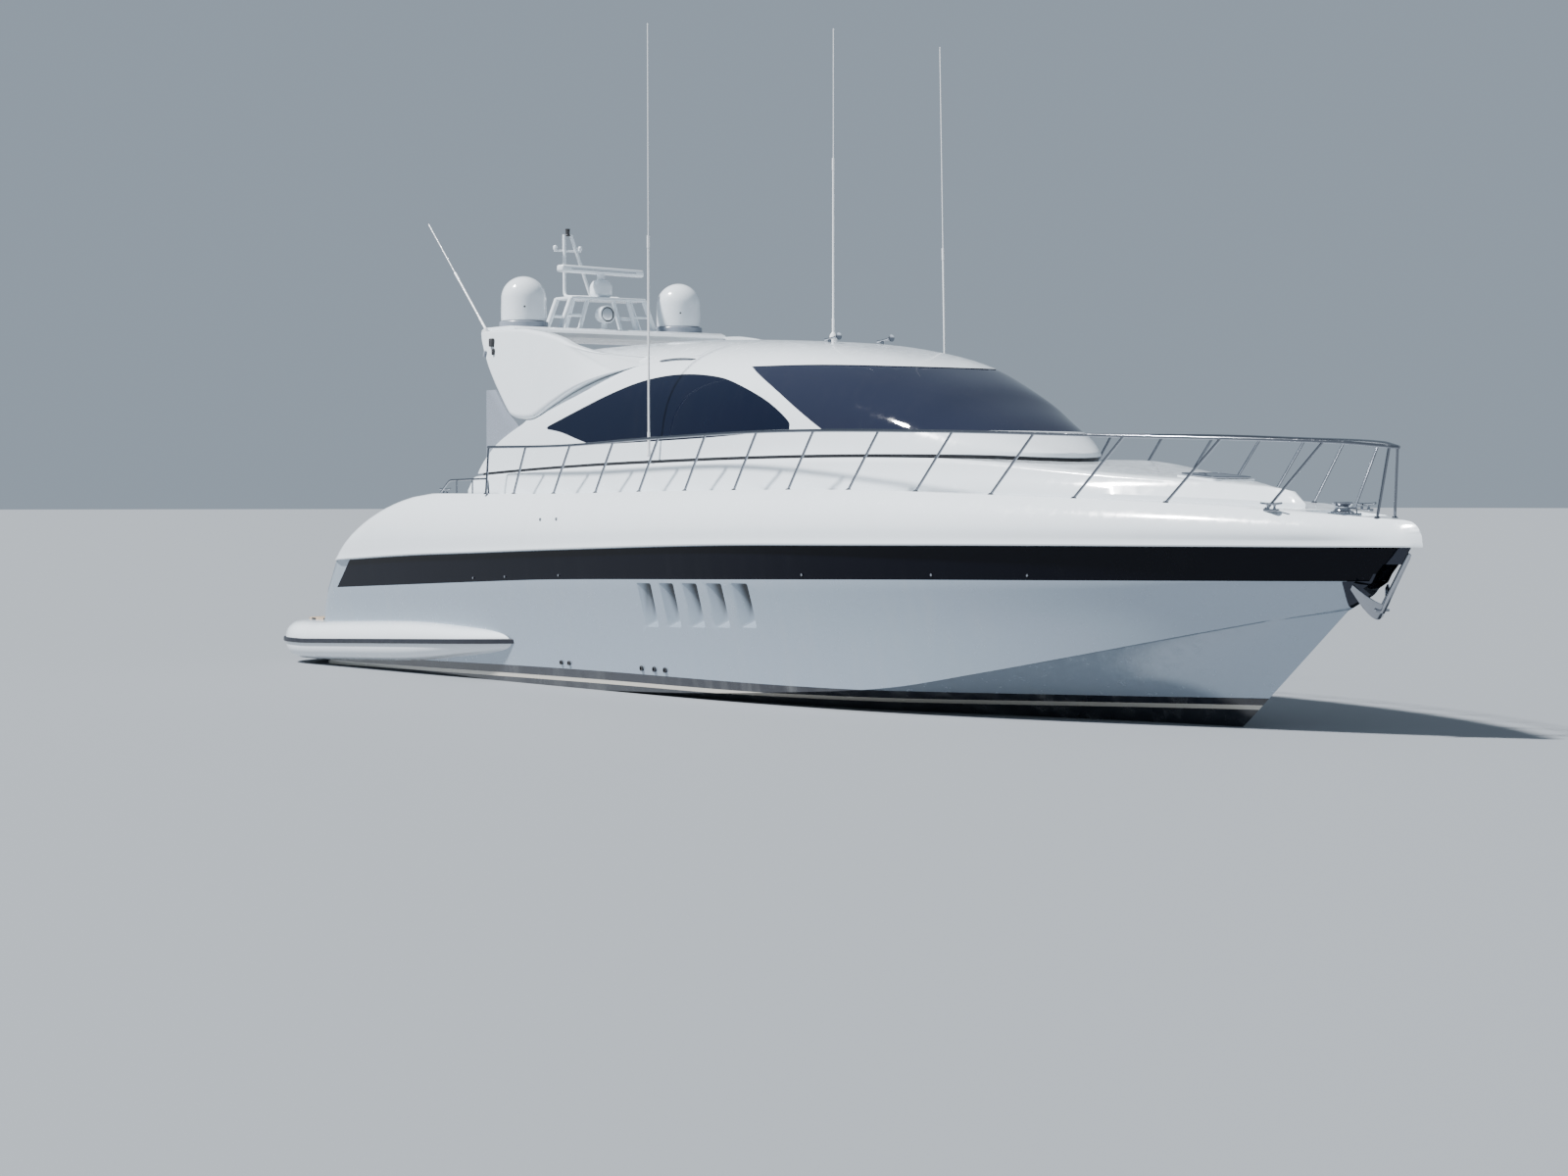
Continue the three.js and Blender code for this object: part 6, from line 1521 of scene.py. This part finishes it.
# %% Searchlight
LAMP_AT, FACE_FORWARD = (-4.79, -0.15, 5.185), (0.0, 90.0, 0.0)
CASE_ROWS = [(0.0, -0.11), (0.05, -0.108), (0.09, -0.095), (0.116, -0.06), (0.123, -0.01), (0.123, 0.07),
             (0.127, 0.08), (0.127, 0.106), (0.118, 0.11), (0.108, 0.11), (0.104, 0.096), (0.0, 0.096)]
FOOT_ROWS = [(0.0, 0.001), (0.075, 0.001), (0.075, 0.012), (0.05, 0.02), (0.042, 0.05), (0.042, 0.22),
             (0.0, 0.22)]
LENS_ROWS = [(0.0, 0.0975), (0.092, 0.0975), (0.088, 0.1), (0.05, 0.105), (0.0, 0.107)]
RING_ROWS = [(0.093, 0.0965), (0.104, 0.0965), (0.1035, 0.104), (0.094, 0.104)]
lamp_case = turned("lamp_case", CASE_ROWS, LAMP_AT, FACE_FORWARD, 44)
lamp_foot = turned("lamp_foot", FOOT_ROWS, (LAMP_AT[0], LAMP_AT[1], BEAM_TOP), steps=28)
lamp = joined("searchlight_case", [lamp_case, lamp_foot])
dress(lamp, "white_gelcoat", stands_for=["searchlight"], angle=40.0)
lens = turned("searchlight_lens", LENS_ROWS, LAMP_AT, FACE_FORWARD, 44)
dress(lens, "reflector")
lens_ring = turned("searchlight_ring", RING_ROWS, LAMP_AT, FACE_FORWARD, 44)
dress(lens_ring, "dark_seal")

# %% [markdown]
# Long fibreglass aerials are joined half way up by a metal ferrule. The two on the side decks fold
# aft on a pin between the prongs of a fork; the roof and wing aerials stand on small round feet.

# %% Aerials
def aerial(name, body, node_name, foot, top, extra=(), joint=0.49):
    start, end = Vector(foot), Vector(top)
    way = (end - start).normalized()
    middle = start.lerp(end, joint)
    tip_rows = [(0.0, -0.012), (0.0095, -0.01), (0.0115, 0.0), (0.0085, 0.01), (0.0, 0.013)]
    parts = [tube("lower", [start, start.lerp(end, joint * 0.5), middle], 0.0145),
             tube("upper", [middle, end], 0.0075, 3),
             tube("ferrule", [middle - way * 0.07, middle + way * 0.09], 0.019),
             tube("collar", [start - way * 0.01, start + way * 0.26], 0.0185),
             turned("tip", tip_rows, end - way * 0.014, steps=12), *extra]
    dress(joined(name, parts), "aerial", body, [node_name], 40.0)


WHIP_Y, WHIP_FOOT, WHIP_LENGTH = 2.18, 3.08, 5.56
for side, name, x, lean in ((-1, "starboard", -0.4, -0.02), (1, "port", 0.25, -0.15)):
    y = side * WHIP_Y
    root = slab("root", (0.038, 0.046, 0.078), (x, y, WHIP_FOOT + 0.02), 0.006)
    pin = tube("pin", [(x, y - 0.0305, WHIP_FOOT), (x, y + 0.0305, WHIP_FOOT)], 0.007)
    aerial(f"folding_aerial_{name}", f"whip_{name}", f"whip_{name}", (x, y, WHIP_FOOT + 0.04),
           (x + lean, y, WHIP_FOOT + WHIP_LENGTH), (root, pin))
ROOF_AERIAL_X, ROOF_AERIAL_Y = -0.04, 0.5
roof_z = crown_z(ROOF_AERIAL_X)
ROOF_FOOT_ROWS = [(0.0, -0.06), (0.052, -0.06), (0.052, 0.05), (0.046, 0.09), (0.026, 0.12),
                  (0.022, 0.13), (0.0, 0.13)]
roof_foot = turned("roof_foot", ROOF_FOOT_ROWS, (ROOF_AERIAL_X, ROOF_AERIAL_Y, roof_z), steps=28)
aerial("roof_aerial", "boat", "whip_roof", (ROOF_AERIAL_X, ROOF_AERIAL_Y, roof_z + 0.05),
       (ROOF_AERIAL_X, ROOF_AERIAL_Y, roof_z + 4.15), (roof_foot,), 0.56)
wing_foot = turned("wing_foot", [(0.0, 0.004), (0.03, 0.004), (0.03, 0.04), (0.02, 0.06), (0.0, 0.06)],
                   (-5.26, -1.835, 4.905), steps=20)
aerial("wing_aerial", "boat", "whip_wing", (-5.26, -1.835, 4.935), (-6.96, -1.835, 6.56), (wing_foot,))

# %% [markdown]
# The anchor hangs on the stem with its flukes curved round it. It is cast and then polished, so its
# edges are round. Its shank runs up through the pocket to the roller under the lip.

# %% Anchor
OCTAGON = [(-1, -0.6), (-0.6, -1), (0.6, -1), (1, -0.6), (1, 0.6), (0.6, 1), (-0.6, 1), (-1, 0.6)]
FLUKE_SECTION = [(-1, -0.5), (-0.9, -1), (0.9, -1), (1, -0.5), (1, 0.5), (0.9, 1), (-0.9, 1), (-1, 0.5)]
SHANK_STATIONS = ((0.0, 0.03, 0.034), (0.08, 0.026, 0.034), (0.5, 0.02, 0.03), (0.94, 0.018, 0.028),
                  (1.0, 0.014, 0.02))
CROWN, SHANK_HEAD = Vector((10.42, 0.0, 1.33)), Vector((10.815, 0.0, 1.94))
stem_way = (SHANK_HEAD - CROWN).normalized()


def fluke_at(share):
    bend = share * share
    return CROWN + Vector((-0.17 * bend, 0.26 * share, 0.26 * bend))


def anchor(steps=20):
    rings = []
    for k in range(-steps, steps + 1):
        share = k / steps
        along = (fluke_at(share + 0.01) - fluke_at(share - 0.01)).normalized()
        thick = along.cross(stem_way).normalized() * 0.011
        wide = stem_way * mix(0.095, 0.03, share * share)
        at = fluke_at(share)
        rings.append([tuple(at + wide * a + thick * b) for a, b in FLUKE_SECTION])
    flukes = loft("flukes", rings)
    side_way = Vector((0.0, 1.0, 0.0))
    across = stem_way.cross(side_way).normalized()
    shank_rings = []
    for share, wide, deep in SHANK_STATIONS:
        at = CROWN.lerp(SHANK_HEAD, share)
        shank_rings.append([tuple(at + side_way * wide * a + across * deep * b) for a, b in OCTAGON])
    shank = loft("shank", shank_rings)
    stock = tube("stock", [CROWN + side_way * s * 0.1 + stem_way * 0.02 for s in (-1, 1)], 0.014)
    dress(joined("anchor_steel", [flukes, shank, stock]), "stainless", stands_for=["anchor"], angle=40.0)


anchor()

# %% [markdown]
# The windlass stands in a well in the foredeck: a drum on a low gear plate, with a bent finger that
# strips the chain off it.

# %% Windlass
WINDLASS_X, WELL_FLOOR = 9.85, 2.33
DRUM_ROWS = [(0.0, 0.03), (0.13, 0.03), (0.13, 0.046), (0.118, 0.05), (0.094, 0.056), (0.084, 0.07),
             (0.08, 0.085), (0.084, 0.102), (0.1, 0.118), (0.11, 0.128), (0.11, 0.144), (0.104, 0.15),
             (0.03, 0.15), (0.028, 0.142), (0.0, 0.142)]
drum = turned("drum", DRUM_ROWS, (WINDLASS_X, 0.0, WELL_FLOOR), steps=44)
gear_plate = slab("gear_plate", (0.36, 0.16, 0.033), (WINDLASS_X + 0.03, 0.0, WELL_FLOOR + 0.0175), 0.008)
FINGER_PATH = ((0.16, 0.05, 0.03), (0.16, 0.05, 0.085), (0.08, 0.02, 0.085))
finger = [(WINDLASS_X + u, y, WELL_FLOOR + z) for u, y, z in FINGER_PATH]
stripper = tube("stripper", rounded_path(finger, 0.02), 0.008, 3)
dress(joined("windlass_steel", [gear_plate, drum, stripper]), "stainless", stands_for=["windlass"],
      angle=35.0)


# %% [markdown]
# A cleat is a bar with rounded ends on two waisted legs, cast in one with its base plate.

# %% Cleats
def cleat(name, x, y):
    z = deck_z(x)
    half_horn = [(0.03, 0.061), (0.08, 0.0625), (0.12, 0.0665), (0.155, 0.071)]
    horn = [(x - u, y, z + h) for u, h in reversed(half_horn)] + [(x + u, y, z + h) for u, h in half_horn]
    leg = [(0.0, 0.0), (0.022, 0.0), (0.016, 0.012), (0.0135, 0.03), (0.016, 0.056), (0.0, 0.06)]
    half_ball = [(0.0, 0.0145), (0.008, 0.012), (0.0135, 0.004)]
    ball = [(r, -h) for r, h in half_ball] + half_ball[::-1]
    parts = [tube("horn", horn, 0.0125)]
    for end in (-1, 1):
        parts.append(turned("leg", leg, (x + end * 0.05, y, z), steps=20))
        parts.append(turned("horn_end", ball, (x + end * 0.153, y, z + 0.0708), steps=14))
    base = up_z("base", rounded_plan(x - 0.108, x + 0.108, y - 0.033, y + 0.033, 0.03, 6), z - 0.02, z + 0.01)
    parts.append(softened(base, 0.004, 2))
    dress(joined(f"{name}_steel", parts), "stainless", stands_for=[name], angle=40.0)


for side, name in SIDES:
    cleat(f"cleat_fore_{name}", 9.5, side * 0.7)
    cleat(f"cleat_aft_{name}", -5.9, side * 2.15)

# %% [markdown]
# The escape hatch has a tinted acrylic pane in a slim metal frame, hinged at its forward edge.

# %% Foredeck hatch
LID_FOOT, LID_TOP, LID_RADIUS = 0.035, 0.059, 0.06
lid_frame = up_z("lid_frame", ring_outline(HATCH_HALF, LID_RADIUS), LID_FOOT, LID_TOP)
carve(lid_frame, up_z("pane_room", ring_outline(HATCH_HALF - 0.028, 0.036), 0.0, 0.1))
softened(lid_frame, 0.006, 3)
knuckles = []
for y in (-0.095, 0.095):
    knuckles.append(slab("knuckle", (0.022, 0.05, 0.02), (HATCH_HALF - 0.019, y, 0.0345), 0.003))
handle = slab("handle", (0.03, 0.1, 0.012), (-HATCH_HALF + 0.05, 0.0, LID_TOP - 0.002), 0.003)
pane = up_z("hatch_pane", ring_outline(HATCH_HALF - 0.0285, 0.0355), LID_FOOT + 0.004, LID_TOP - 0.003)
for part in (lid_frame, handle, *knuckles, pane):
    part.data.transform(on_foredeck)
dress(joined("hatch_lid_frame", [lid_frame, handle, *knuckles]), "stainless", "fore_hatch_lid",
      ["fore_hatch_lid"], 35.0)
dress(pane, "screen_glass", "fore_hatch_lid")

# %% [markdown]
# Aft of the tall rail a low grab rail runs along the side deck on short posts, for a hand on the way
# down to the platform.

# %% Low aft rails
LOW_RAIL = ((-5.72, -0.01), (-5.42, 0.19), (-4.9, 0.2), (-4.3, 0.21), (-4.27, -0.01))


def beside(side, x, up):
    return (x, side * (deck_y(x) - 0.07), deck_z(x) + up)


for side, name in SIDES:
    parts = [tube("grab", rounded_path([beside(side, x, up) for x, up in LOW_RAIL], 0.07), 0.014)]
    for x in (-5.2, -4.74):
        parts.append(tube("grab_post", [beside(side, x, -0.01), beside(side, x, 0.2)], 0.011, 3))
    dress(joined(f"low_rail_{name}", parts), "rail_steel", angle=40.0)

# %% [markdown]
# Seat pads are foam in a sewn vinyl cover. Each starts as a thick rounded slab a little smaller than
# its place. It is inflated as cloth with a cap on the movement, so that its top crowns and its sides
# pull in between the corners, and then the welt is laid round its edge and the channels are sewn in.

# %% Inflating and sewing
from mathutils.bvhtree import BVHTree

PAD_FRAMES, PAD_VOXEL, PAD_PRESSURE, PAD_CAP = 14, 0.022, 4.0, 0.02
SEW_DEPTH, SEW_WIDTH = 0.017, 0.024


def swollen(obj, floor_z):
    """Inflates a closed slab as cloth; no point moves further than the cap or under the floor."""
    modified(obj, "REMESH", mode="VOXEL", voxel_size=PAD_VOXEL)
    rest = [vertex.co.copy() for vertex in obj.data.vertices]
    cloth = obj.modifiers.new("cloth", "CLOTH")
    cloth.settings.use_pressure = True
    cloth.settings.uniform_pressure_force = PAD_PRESSURE
    cloth.settings.effector_weights.gravity = 0.0
    cloth.settings.mass, cloth.settings.tension_stiffness = 0.3, 12.0
    cloth.point_cache.frame_start, cloth.point_cache.frame_end = 1, PAD_FRAMES
    scene = bpy.context.scene
    for frame_number in range(1, PAD_FRAMES + 1):
        scene.frame_set(frame_number)
    select_only(obj)
    bpy.ops.object.modifier_apply(modifier="cloth")
    scene.frame_set(1)
    furthest = max((vertex.co - start).length for vertex, start in zip(obj.data.vertices, rest))
    print(f"{obj.name}: the cloth moved up to {1000 * furthest:.0f} mm")
    for vertex, start in zip(obj.data.vertices, rest):
        move = vertex.co - start
        if move.length > PAD_CAP:
            vertex.co = start + move.normalized() * PAD_CAP
        vertex.co.z = max(vertex.co.z, floor_z)
    modified(obj, "SMOOTH", factor=0.5, iterations=3)
    return modified(obj, "SUBSURF", levels=1, render_levels=1)


def sewn(obj, lines):
    """Presses sewn channels into the top of a pad; lines are (axis, place) in metres."""
    top = max(vertex.co.z for vertex in obj.data.vertices)
    low = min(vertex.co.z for vertex in obj.data.vertices)
    for vertex in obj.data.vertices:
        up = smoothstep(vertex.co.z, mix(low, top, 0.45), mix(low, top, 0.8))
        for axis, place in lines:
            near = abs(vertex.co[axis] - place) / SEW_WIDTH
            vertex.co.z -= SEW_DEPTH * up * math.exp(-near * near)


# %% [markdown]
# The sunpad lies over the garage, and the settee has one cushion aft and one along its port side. Each
# pad stays inside its outline and under its height. The welt is a thin cord laid where the top rolls
# over into the sides.

# %% Seat pads
WELT_RADIUS = 0.006


def seat_pad(name, outline, z0, z1, lines, stands_for):
    """A pad over its rounded outline, with a welt round its upper edge."""
    shrunk = inset_outline(outline, 0.012)
    pad = up_z(name, shrunk, z0 + 0.004, z1 - 0.016)
    softened(pad, 0.02, 3)
    swollen(pad, z0 + 0.001)
    sewn(pad, lines)
    peak = max(vertex.co.z for vertex in pad.data.vertices)
    if peak > z1:
        pad.data.transform(Matrix.Translation((0.0, 0.0, z1 - peak)))
        for vertex in pad.data.vertices:
            vertex.co.z = max(vertex.co.z, z0 + 0.001)
    tree = BVHTree.FromPolygons([v.co for v in pad.data.vertices], [p.vertices for p in pad.data.polygons])
    ring = [tuple(tree.find_nearest(Vector((x, y, z1)))[0]) for x, y in inset_outline(outline, 0.03)]
    pad = joined(name, [pad, tube("welt", [*ring, ring[0]], WELT_RADIUS, 2)])
    dress(pad, "cushion", stands_for=[stands_for], angle=60.0)


sun_pad = rounded_plan(PAD_AFT, PAD_FORE, -PAD_HALF, PAD_HALF, 0.12)
seat_pad("sunpad_cover", sun_pad, PAD_SEAT + 0.0005, PAD_SEAT + PAD_THICK,
         [(1, -0.9), (1, -0.45), (1, 0.0), (1, 0.45), (1, 0.9)], "aft_sunpad")
SETTEE_AFT, SETTEE_FRONT, SETTEE_FORE = -6.6, -5.9, -4.7
SETTEE_STARBOARD, SETTEE_INNER, SETTEE_PORT = -1.25, 0.75, 1.35
SEAT_TOP, BACK_THICK, PAD_RISE = 2.11, 0.12, 0.12
back_x, back_y = SETTEE_AFT + BACK_THICK, SETTEE_PORT - BACK_THICK
aft_plan = rounded_plan(back_x + 0.005, SETTEE_FRONT + 0.01, SETTEE_STARBOARD + 0.005, SETTEE_INNER - 0.005,
                        0.06)
port_plan = rounded_plan(back_x + 0.005, SETTEE_FORE - 0.005, SETTEE_INNER + 0.005, back_y - 0.005, 0.06)
seat_pad("settee_pad_aft", aft_plan, SEAT_TOP + 0.0005, SEAT_TOP + PAD_RISE, [(1, -0.58), (1, 0.08)],
         "settee_cushion_aft")
seat_pad("settee_pad_port", port_plan, SEAT_TOP + 0.0005, SEAT_TOP + PAD_RISE, [(0, -5.9), (0, -5.3)],
         "settee_cushion_port")

# %% [markdown]
# The settee, the bar, the console and a few more are moulded or cabinet pieces. They keep their CAD
# shape and get rounded edges, by a bevel that stays live on the CAD mesh.

# %% Rounded CAD pieces
ROUNDED = {"cockpit_settee": 0.03, "cockpit_bar": 0.018, "arch_beam": 0.02, "helm_console": 0.03,
           "platform_teak": 0.004, "cockpit_sole": 0.003, "cockpit_screen_starboard": 0.006,
           "cockpit_screen_port": 0.006, "saloon_door": 0.003, "engine_starboard": 0.03, "engine_port": 0.03}
for name, width in ROUNDED.items():
    piece = nodes[name]
    weld = piece.modifiers.new("weld", "WELD")
    weld.merge_threshold = 0.0001
    bevel = piece.modifiers.new("round", "BEVEL")
    bevel.width, bevel.segments, bevel.limit_method = width, 3, "ANGLE"
    bevel.angle_limit, bevel.harden_normals = SHARP, True
    for polygon in piece.data.polygons:
        polygon.use_smooth = True
print("rounded:", len(ROUNDED))

# %% [markdown]
# The settee's back has firm pads that lean back a little, one aft and one along the port side.

# %% Back pads of the settee
for pad in (slab("settee_back_aft", (0.05, 1.86, 0.24), (back_x + 0.027, -0.25, 2.355), 0.022,
                 (0.0, -7.0, 0.0)),
            slab("settee_back_port", (1.62, 0.05, 0.24), (-5.56, back_y - 0.027, 2.355), 0.022,
                 (-7.0, 0.0, 0.0))):
    dress(pad, "cushion", angle=60.0)

# %% [markdown]
# The cockpit table has a varnished top on one turned steel leg with a collar where it slides down.

# %% Cockpit table
TABLE_X, TABLE_Y, TABLE_TOP, FLOOR = -5.25, -0.15, 2.44, 1.7454
table_top = up_z("table_top", rounded_plan(TABLE_X - 0.55, TABLE_X + 0.55, TABLE_Y - 0.4, TABLE_Y + 0.4,
                                           0.12, 10), TABLE_TOP - 0.038, TABLE_TOP)
softened(table_top, 0.008, 3)
dress(table_top, "varnished_wood", stands_for=["cockpit_table"])
LEG_ROWS = [(0.0, 0.0), (0.178, 0.0), (0.18, 0.006), (0.172, 0.016), (0.08, 0.03), (0.056, 0.05),
            (0.053, 0.2), (0.053, 0.34), (0.056, 0.344), (0.056, 0.36), (0.043, 0.364), (0.043, 0.62),
            (0.09, 0.64), (0.14, 0.652), (0.14, 0.657), (0.0, 0.657)]
dress(turned("table_leg", LEG_ROWS, (TABLE_X, TABLE_Y, FLOOR)), "stainless")

# %% [markdown]
# The bar along the starboard side has a round steel sink with a bent tap, and three cupboard fronts.

# %% Sink and fronts of the bar
SINK_X = -5.25
SINK_ROWS = [(0.0, 0.0), (0.13, 0.0), (0.15, 0.003), (0.156, 0.006), (0.15, 0.0075), (0.13, 0.004),
             (0.0, 0.002)]
TAP_PATH = [(SINK_X, -1.85, 2.585), (SINK_X, -1.85, 2.74), (SINK_X, -1.7, 2.74), (SINK_X, -1.7, 2.7)]
sink = turned("sink", SINK_ROWS, (SINK_X, -1.66, 2.59))
tap = tube("tap", rounded_path(TAP_PATH, 0.05), 0.011)
fronts = []
for x0, x1 in ((-5.5, -5.06), (-5.02, -4.64), (-4.6, -4.22)):
    fronts.append(slab("front", (x1 - x0, 0.014, 0.62), ((x0 + x1) / 2, -1.398, 2.16), 0.005))
dress(joined("bar_sink", [sink, tap]), "stainless")
dress(joined("bar_fronts", fronts), "white_gelcoat")

# %% [markdown]
# Behind the glass stand the helm console with its wheel, the twin helm seats and a long sofa. They
# show only as dark shapes through the windows from outside, and plainly through the saloon door. The
# wheel is a leather rim on three steel spokes.

# %% Helm wheel
HELM_Y, WHEEL_X, WHEEL_Z, WHEEL_RAKE = -0.88, 1.48, 2.79, 25.0
wheel_turn = (0.0, WHEEL_RAKE, 0.0)
bpy.ops.mesh.primitive_torus_add(major_radius=0.207, minor_radius=0.0155, major_segments=56,
                                 minor_segments=12)
rim = placed(bpy.context.object, (0.0, 0.0, 0.0), (0.0, 90.0, 0.0))
HUB_ROWS = [(0.0, -0.03), (0.03, -0.028), (0.04, -0.012), (0.04, 0.01), (0.024, 0.03), (0.024, 0.12),
            (0.0, 0.12)]
hub = turned("hub", HUB_ROWS, turn=(0.0, 90.0, 0.0), steps=28)
spokes = []
for angle in (0.0, math.tau / 3, math.tau * 2 / 3):
    end = (0.0, 0.2 * math.sin(angle), 0.2 * math.cos(angle))
    spokes.append(tube("spoke", [(0.0, 0.0, 0.0), end], 0.011))
for part in (rim, hub, *spokes):
    placed(part, (WHEEL_X, HELM_Y, WHEEL_Z), wheel_turn)
rim.name = "wheel_rim"
dress(rim, "leather")
dress(joined("wheel_spokes", [hub, *spokes]), "stainless", stands_for=["helm_wheel"], angle=40.0)

# %% [markdown]
# Four blank displays lie in grey bezels on the sloped panel, with two throttle levers beside the wheel.

# %% Displays and throttles
PANEL_X, PANEL_TURN = 1.934, (0.0, -17.8, 0.0)
KNOB_ROWS = [(0.0, -0.018), (0.014, -0.014), (0.018, 0.0), (0.014, 0.014), (0.0, 0.018)]
dials, faces, throttle = [], [], []
for y in (-1.25, -1.0, -0.76, -0.52):
    dials.append(slab("bezel", (0.17, 0.205, 0.012), (PANEL_X, y, 2.945), 0.004, PANEL_TURN))
    faces.append(slab("display", (0.15, 0.18, 0.006), (PANEL_X, y, 2.951), 0.002, PANEL_TURN))
for y in (-1.27, -1.21):
    throttle.append(tube("lever", [(1.62, y, 2.79), (1.56, y, 2.92)], 0.009))
    throttle.append(turned("knob", KNOB_ROWS, (1.56, y, 2.92), steps=16))
dress(joined("helm_bezels", dials), "grey_panel")
dress(joined("helm_displays", faces), "dark_glass")
dress(joined("helm_throttles", throttle), "stainless", angle=50.0)

# %% [markdown]
# The helm seats are a pair on one plinth: firm blocks in leather with rounded edges, each with a seat,
# a back that leans a little and two arms.

# %% Helm seats
seat_parts = []
for side in (-1, 1):
    y = HELM_Y + side * 0.3
    seat_parts.append(slab("seat", (0.46, 0.5, 0.13), (0.905, y, 2.272), 0.035, segments=4))
    seat_parts.append(slab("seat_back", (0.1, 0.5, 0.7), (0.69, y, 2.62), 0.04, (0.0, -4.5, 0.0), 4))
    for y_arm in (y - 0.225, y + 0.225):
        seat_parts.append(slab("arm", (0.34, 0.045, 0.05), (0.87, y_arm, 2.46), 0.018, segments=4))
helm_pads = joined("helm_seat_pads", seat_parts)
dress(helm_pads, "leather", angle=60.0)
plinth = slab("seat_plinth", (0.47, 1.1, 0.45), (0.88, HELM_Y, FLOOR + 0.2275), 0.012)
dress(plinth, "dark_trim", stands_for=["helm_seats"])

# %% [markdown]
# The sofa runs along the port side on a dark base, with four seats and four backs.

# %% Sofa
sofa_base = slab("sofa_base", (3.78, 0.7, 0.24), (-1.3, 1.41, FLOOR + 0.122), 0.01)
dress(sofa_base, "dark_trim", stands_for=["saloon_sofa"])
SOFA_FIRST, SOFA_PITCH = -2.725, 0.95
sofa_pads = []
for k in range(4):
    x = SOFA_FIRST + SOFA_PITCH * k
    sofa_pads.append(slab("sofa_seat", (0.935, 0.52, 0.165), (x, 1.325, 2.075), 0.045, segments=4))
    sofa_pads.append(slab("sofa_back", (0.935, 0.15, 0.56), (x, 1.69, 2.325), 0.05, (4.0, 0.0, 0.0), 4))
sofa_cover = joined("sofa_pads", sofa_pads)
dress(sofa_cover, "leather", angle=60.0)

# %% [markdown]
# Small round fittings finish the sides: lights under the foot of the band, tank vents below the deck
# edge, and through-hull outlets with a rim near the waterline. All are turned facing to port.

# %% Lights, vents and outlets of the sides
OUTLETS = ((-2.25, 0.33, 0.03), (-2.05, 0.33, 0.03), (-0.25, 0.34, 0.035), (0.05, 0.34, 0.035),
           (0.3, 0.34, 0.035))


def side_disc(name, rows, place):
    return turned(name, rows, place, (-90.0, 0.0, 0.0), 20)


def button_rows(radius, out):
    return [(0.0, -0.01), (radius, -0.01), (radius, out * 0.6), (radius * 0.8, out), (0.0, out)]


def rim_rows(radius):
    return [(radius * 0.6, -0.02), (radius, -0.02), (radius, 0.006), (radius * 0.9, 0.012),
            (radius * 0.72, 0.012), (radius * 0.6, 0.004)]


lights, outlets, deck_vents = [], [], []
for side in (-1, 1):
    for x in (-4.3, -3.4, -1.95, 3.43, 5.47, 6.75):
        place = (x, side * (band_foot_y(x) + 0.004), band_foot_z(x) + 0.07)
        lights.append(side_disc("band_light", button_rows(0.016, 0.006), place))
    for x, z, radius in OUTLETS:
        outlets.append(side_disc("outlet", rim_rows(radius), (x, side * (topside_y(x, z) + 0.006), z)))
    for x in (-2.35, -1.93):
        y = mix(lip_y(x) - 0.008, deck_y(x), 0.5) + side_swell(0.5)
        z = mix(lip_z(x) + 0.06, deck_z(x), 0.5)
        deck_vents.append(side_disc("deck_vent", button_rows(0.022, 0.008), (x, side * y, z)))
dress(joined("band_lights", lights), "stainless", angle=40.0)
dress(joined("tank_vents", deck_vents), "stainless", angle=40.0)
dress(joined("hull_outlets", outlets), "dark_trim", angle=40.0)

# %% [markdown]
# Each wing carries two dark lamps and a grey socket on its outer face.

# %% Lamps and sockets of the wings
lamps, mounts = [], []
for side in (-1, 1):
    lamps.append(slab("wing_lamp", (0.1, 0.05, 0.12), (-4.93, side * 1.935, 4.735), 0.016))
    lamps.append(slab("wing_lamp_low", (0.045, 0.05, 0.09), (-4.86, side * 1.945, 4.6), 0.014))
    mounts.append(slab("wing_socket", (0.05, 0.04, 0.1), (-5.1, side * 1.945, 4.58), 0.014, (0.0, 20.0, 0.0)))
dress(joined("wing_lamps", lamps), "dark_trim")
dress(joined("wing_sockets", mounts), "grey_panel")

# %% [markdown]
# A short grab rail runs along each edge of the roof, and two trumpet horns point forward on top.

# %% Grab rails and horns of the roof
GRAB_STEPS, HORN_X, HORN_FOOT_X = 12, 1.05, 1.15
HORN_ROWS = [(0.0, 0.0), (0.016, 0.0), (0.012, 0.05), (0.014, 0.2), (0.022, 0.26), (0.045, 0.3),
             (0.047, 0.303), (0.03, 0.29), (0.0, 0.28)]
grabs, horns = [], []
for side in (-1, 1):
    points = []
    for k in range(GRAB_STEPS + 1):
        arc = math.sin(math.pi * k / GRAB_STEPS)
        x, z = mix(-1.05, -0.25, k / GRAB_STEPS), 4.33 + 0.02 * arc
        lift = 0.03 * arc ** 0.3 if 0 < k < GRAB_STEPS else -0.01
        points.append((x, side * (skin_y(x, z) + lift), z))
    grabs.append(tube("roof_grab", points, 0.011, 3))
dress(joined("roof_grab_rails", grabs), "rail_steel", angle=40.0)
for y in (-0.42, 0.42):
    roof = crown_z(HORN_FOOT_X)
    horns.append(turned("horn", HORN_ROWS, (HORN_X, y, roof + 0.035), (0.0, 84.0, 0.0), 24))
    horns.append(slab("horn_foot", (0.05, 0.03, 0.06), (HORN_FOOT_X, y, roof + 0.004), 0.008))
dress(joined("roof_horns", horns), "stainless", angle=40.0)
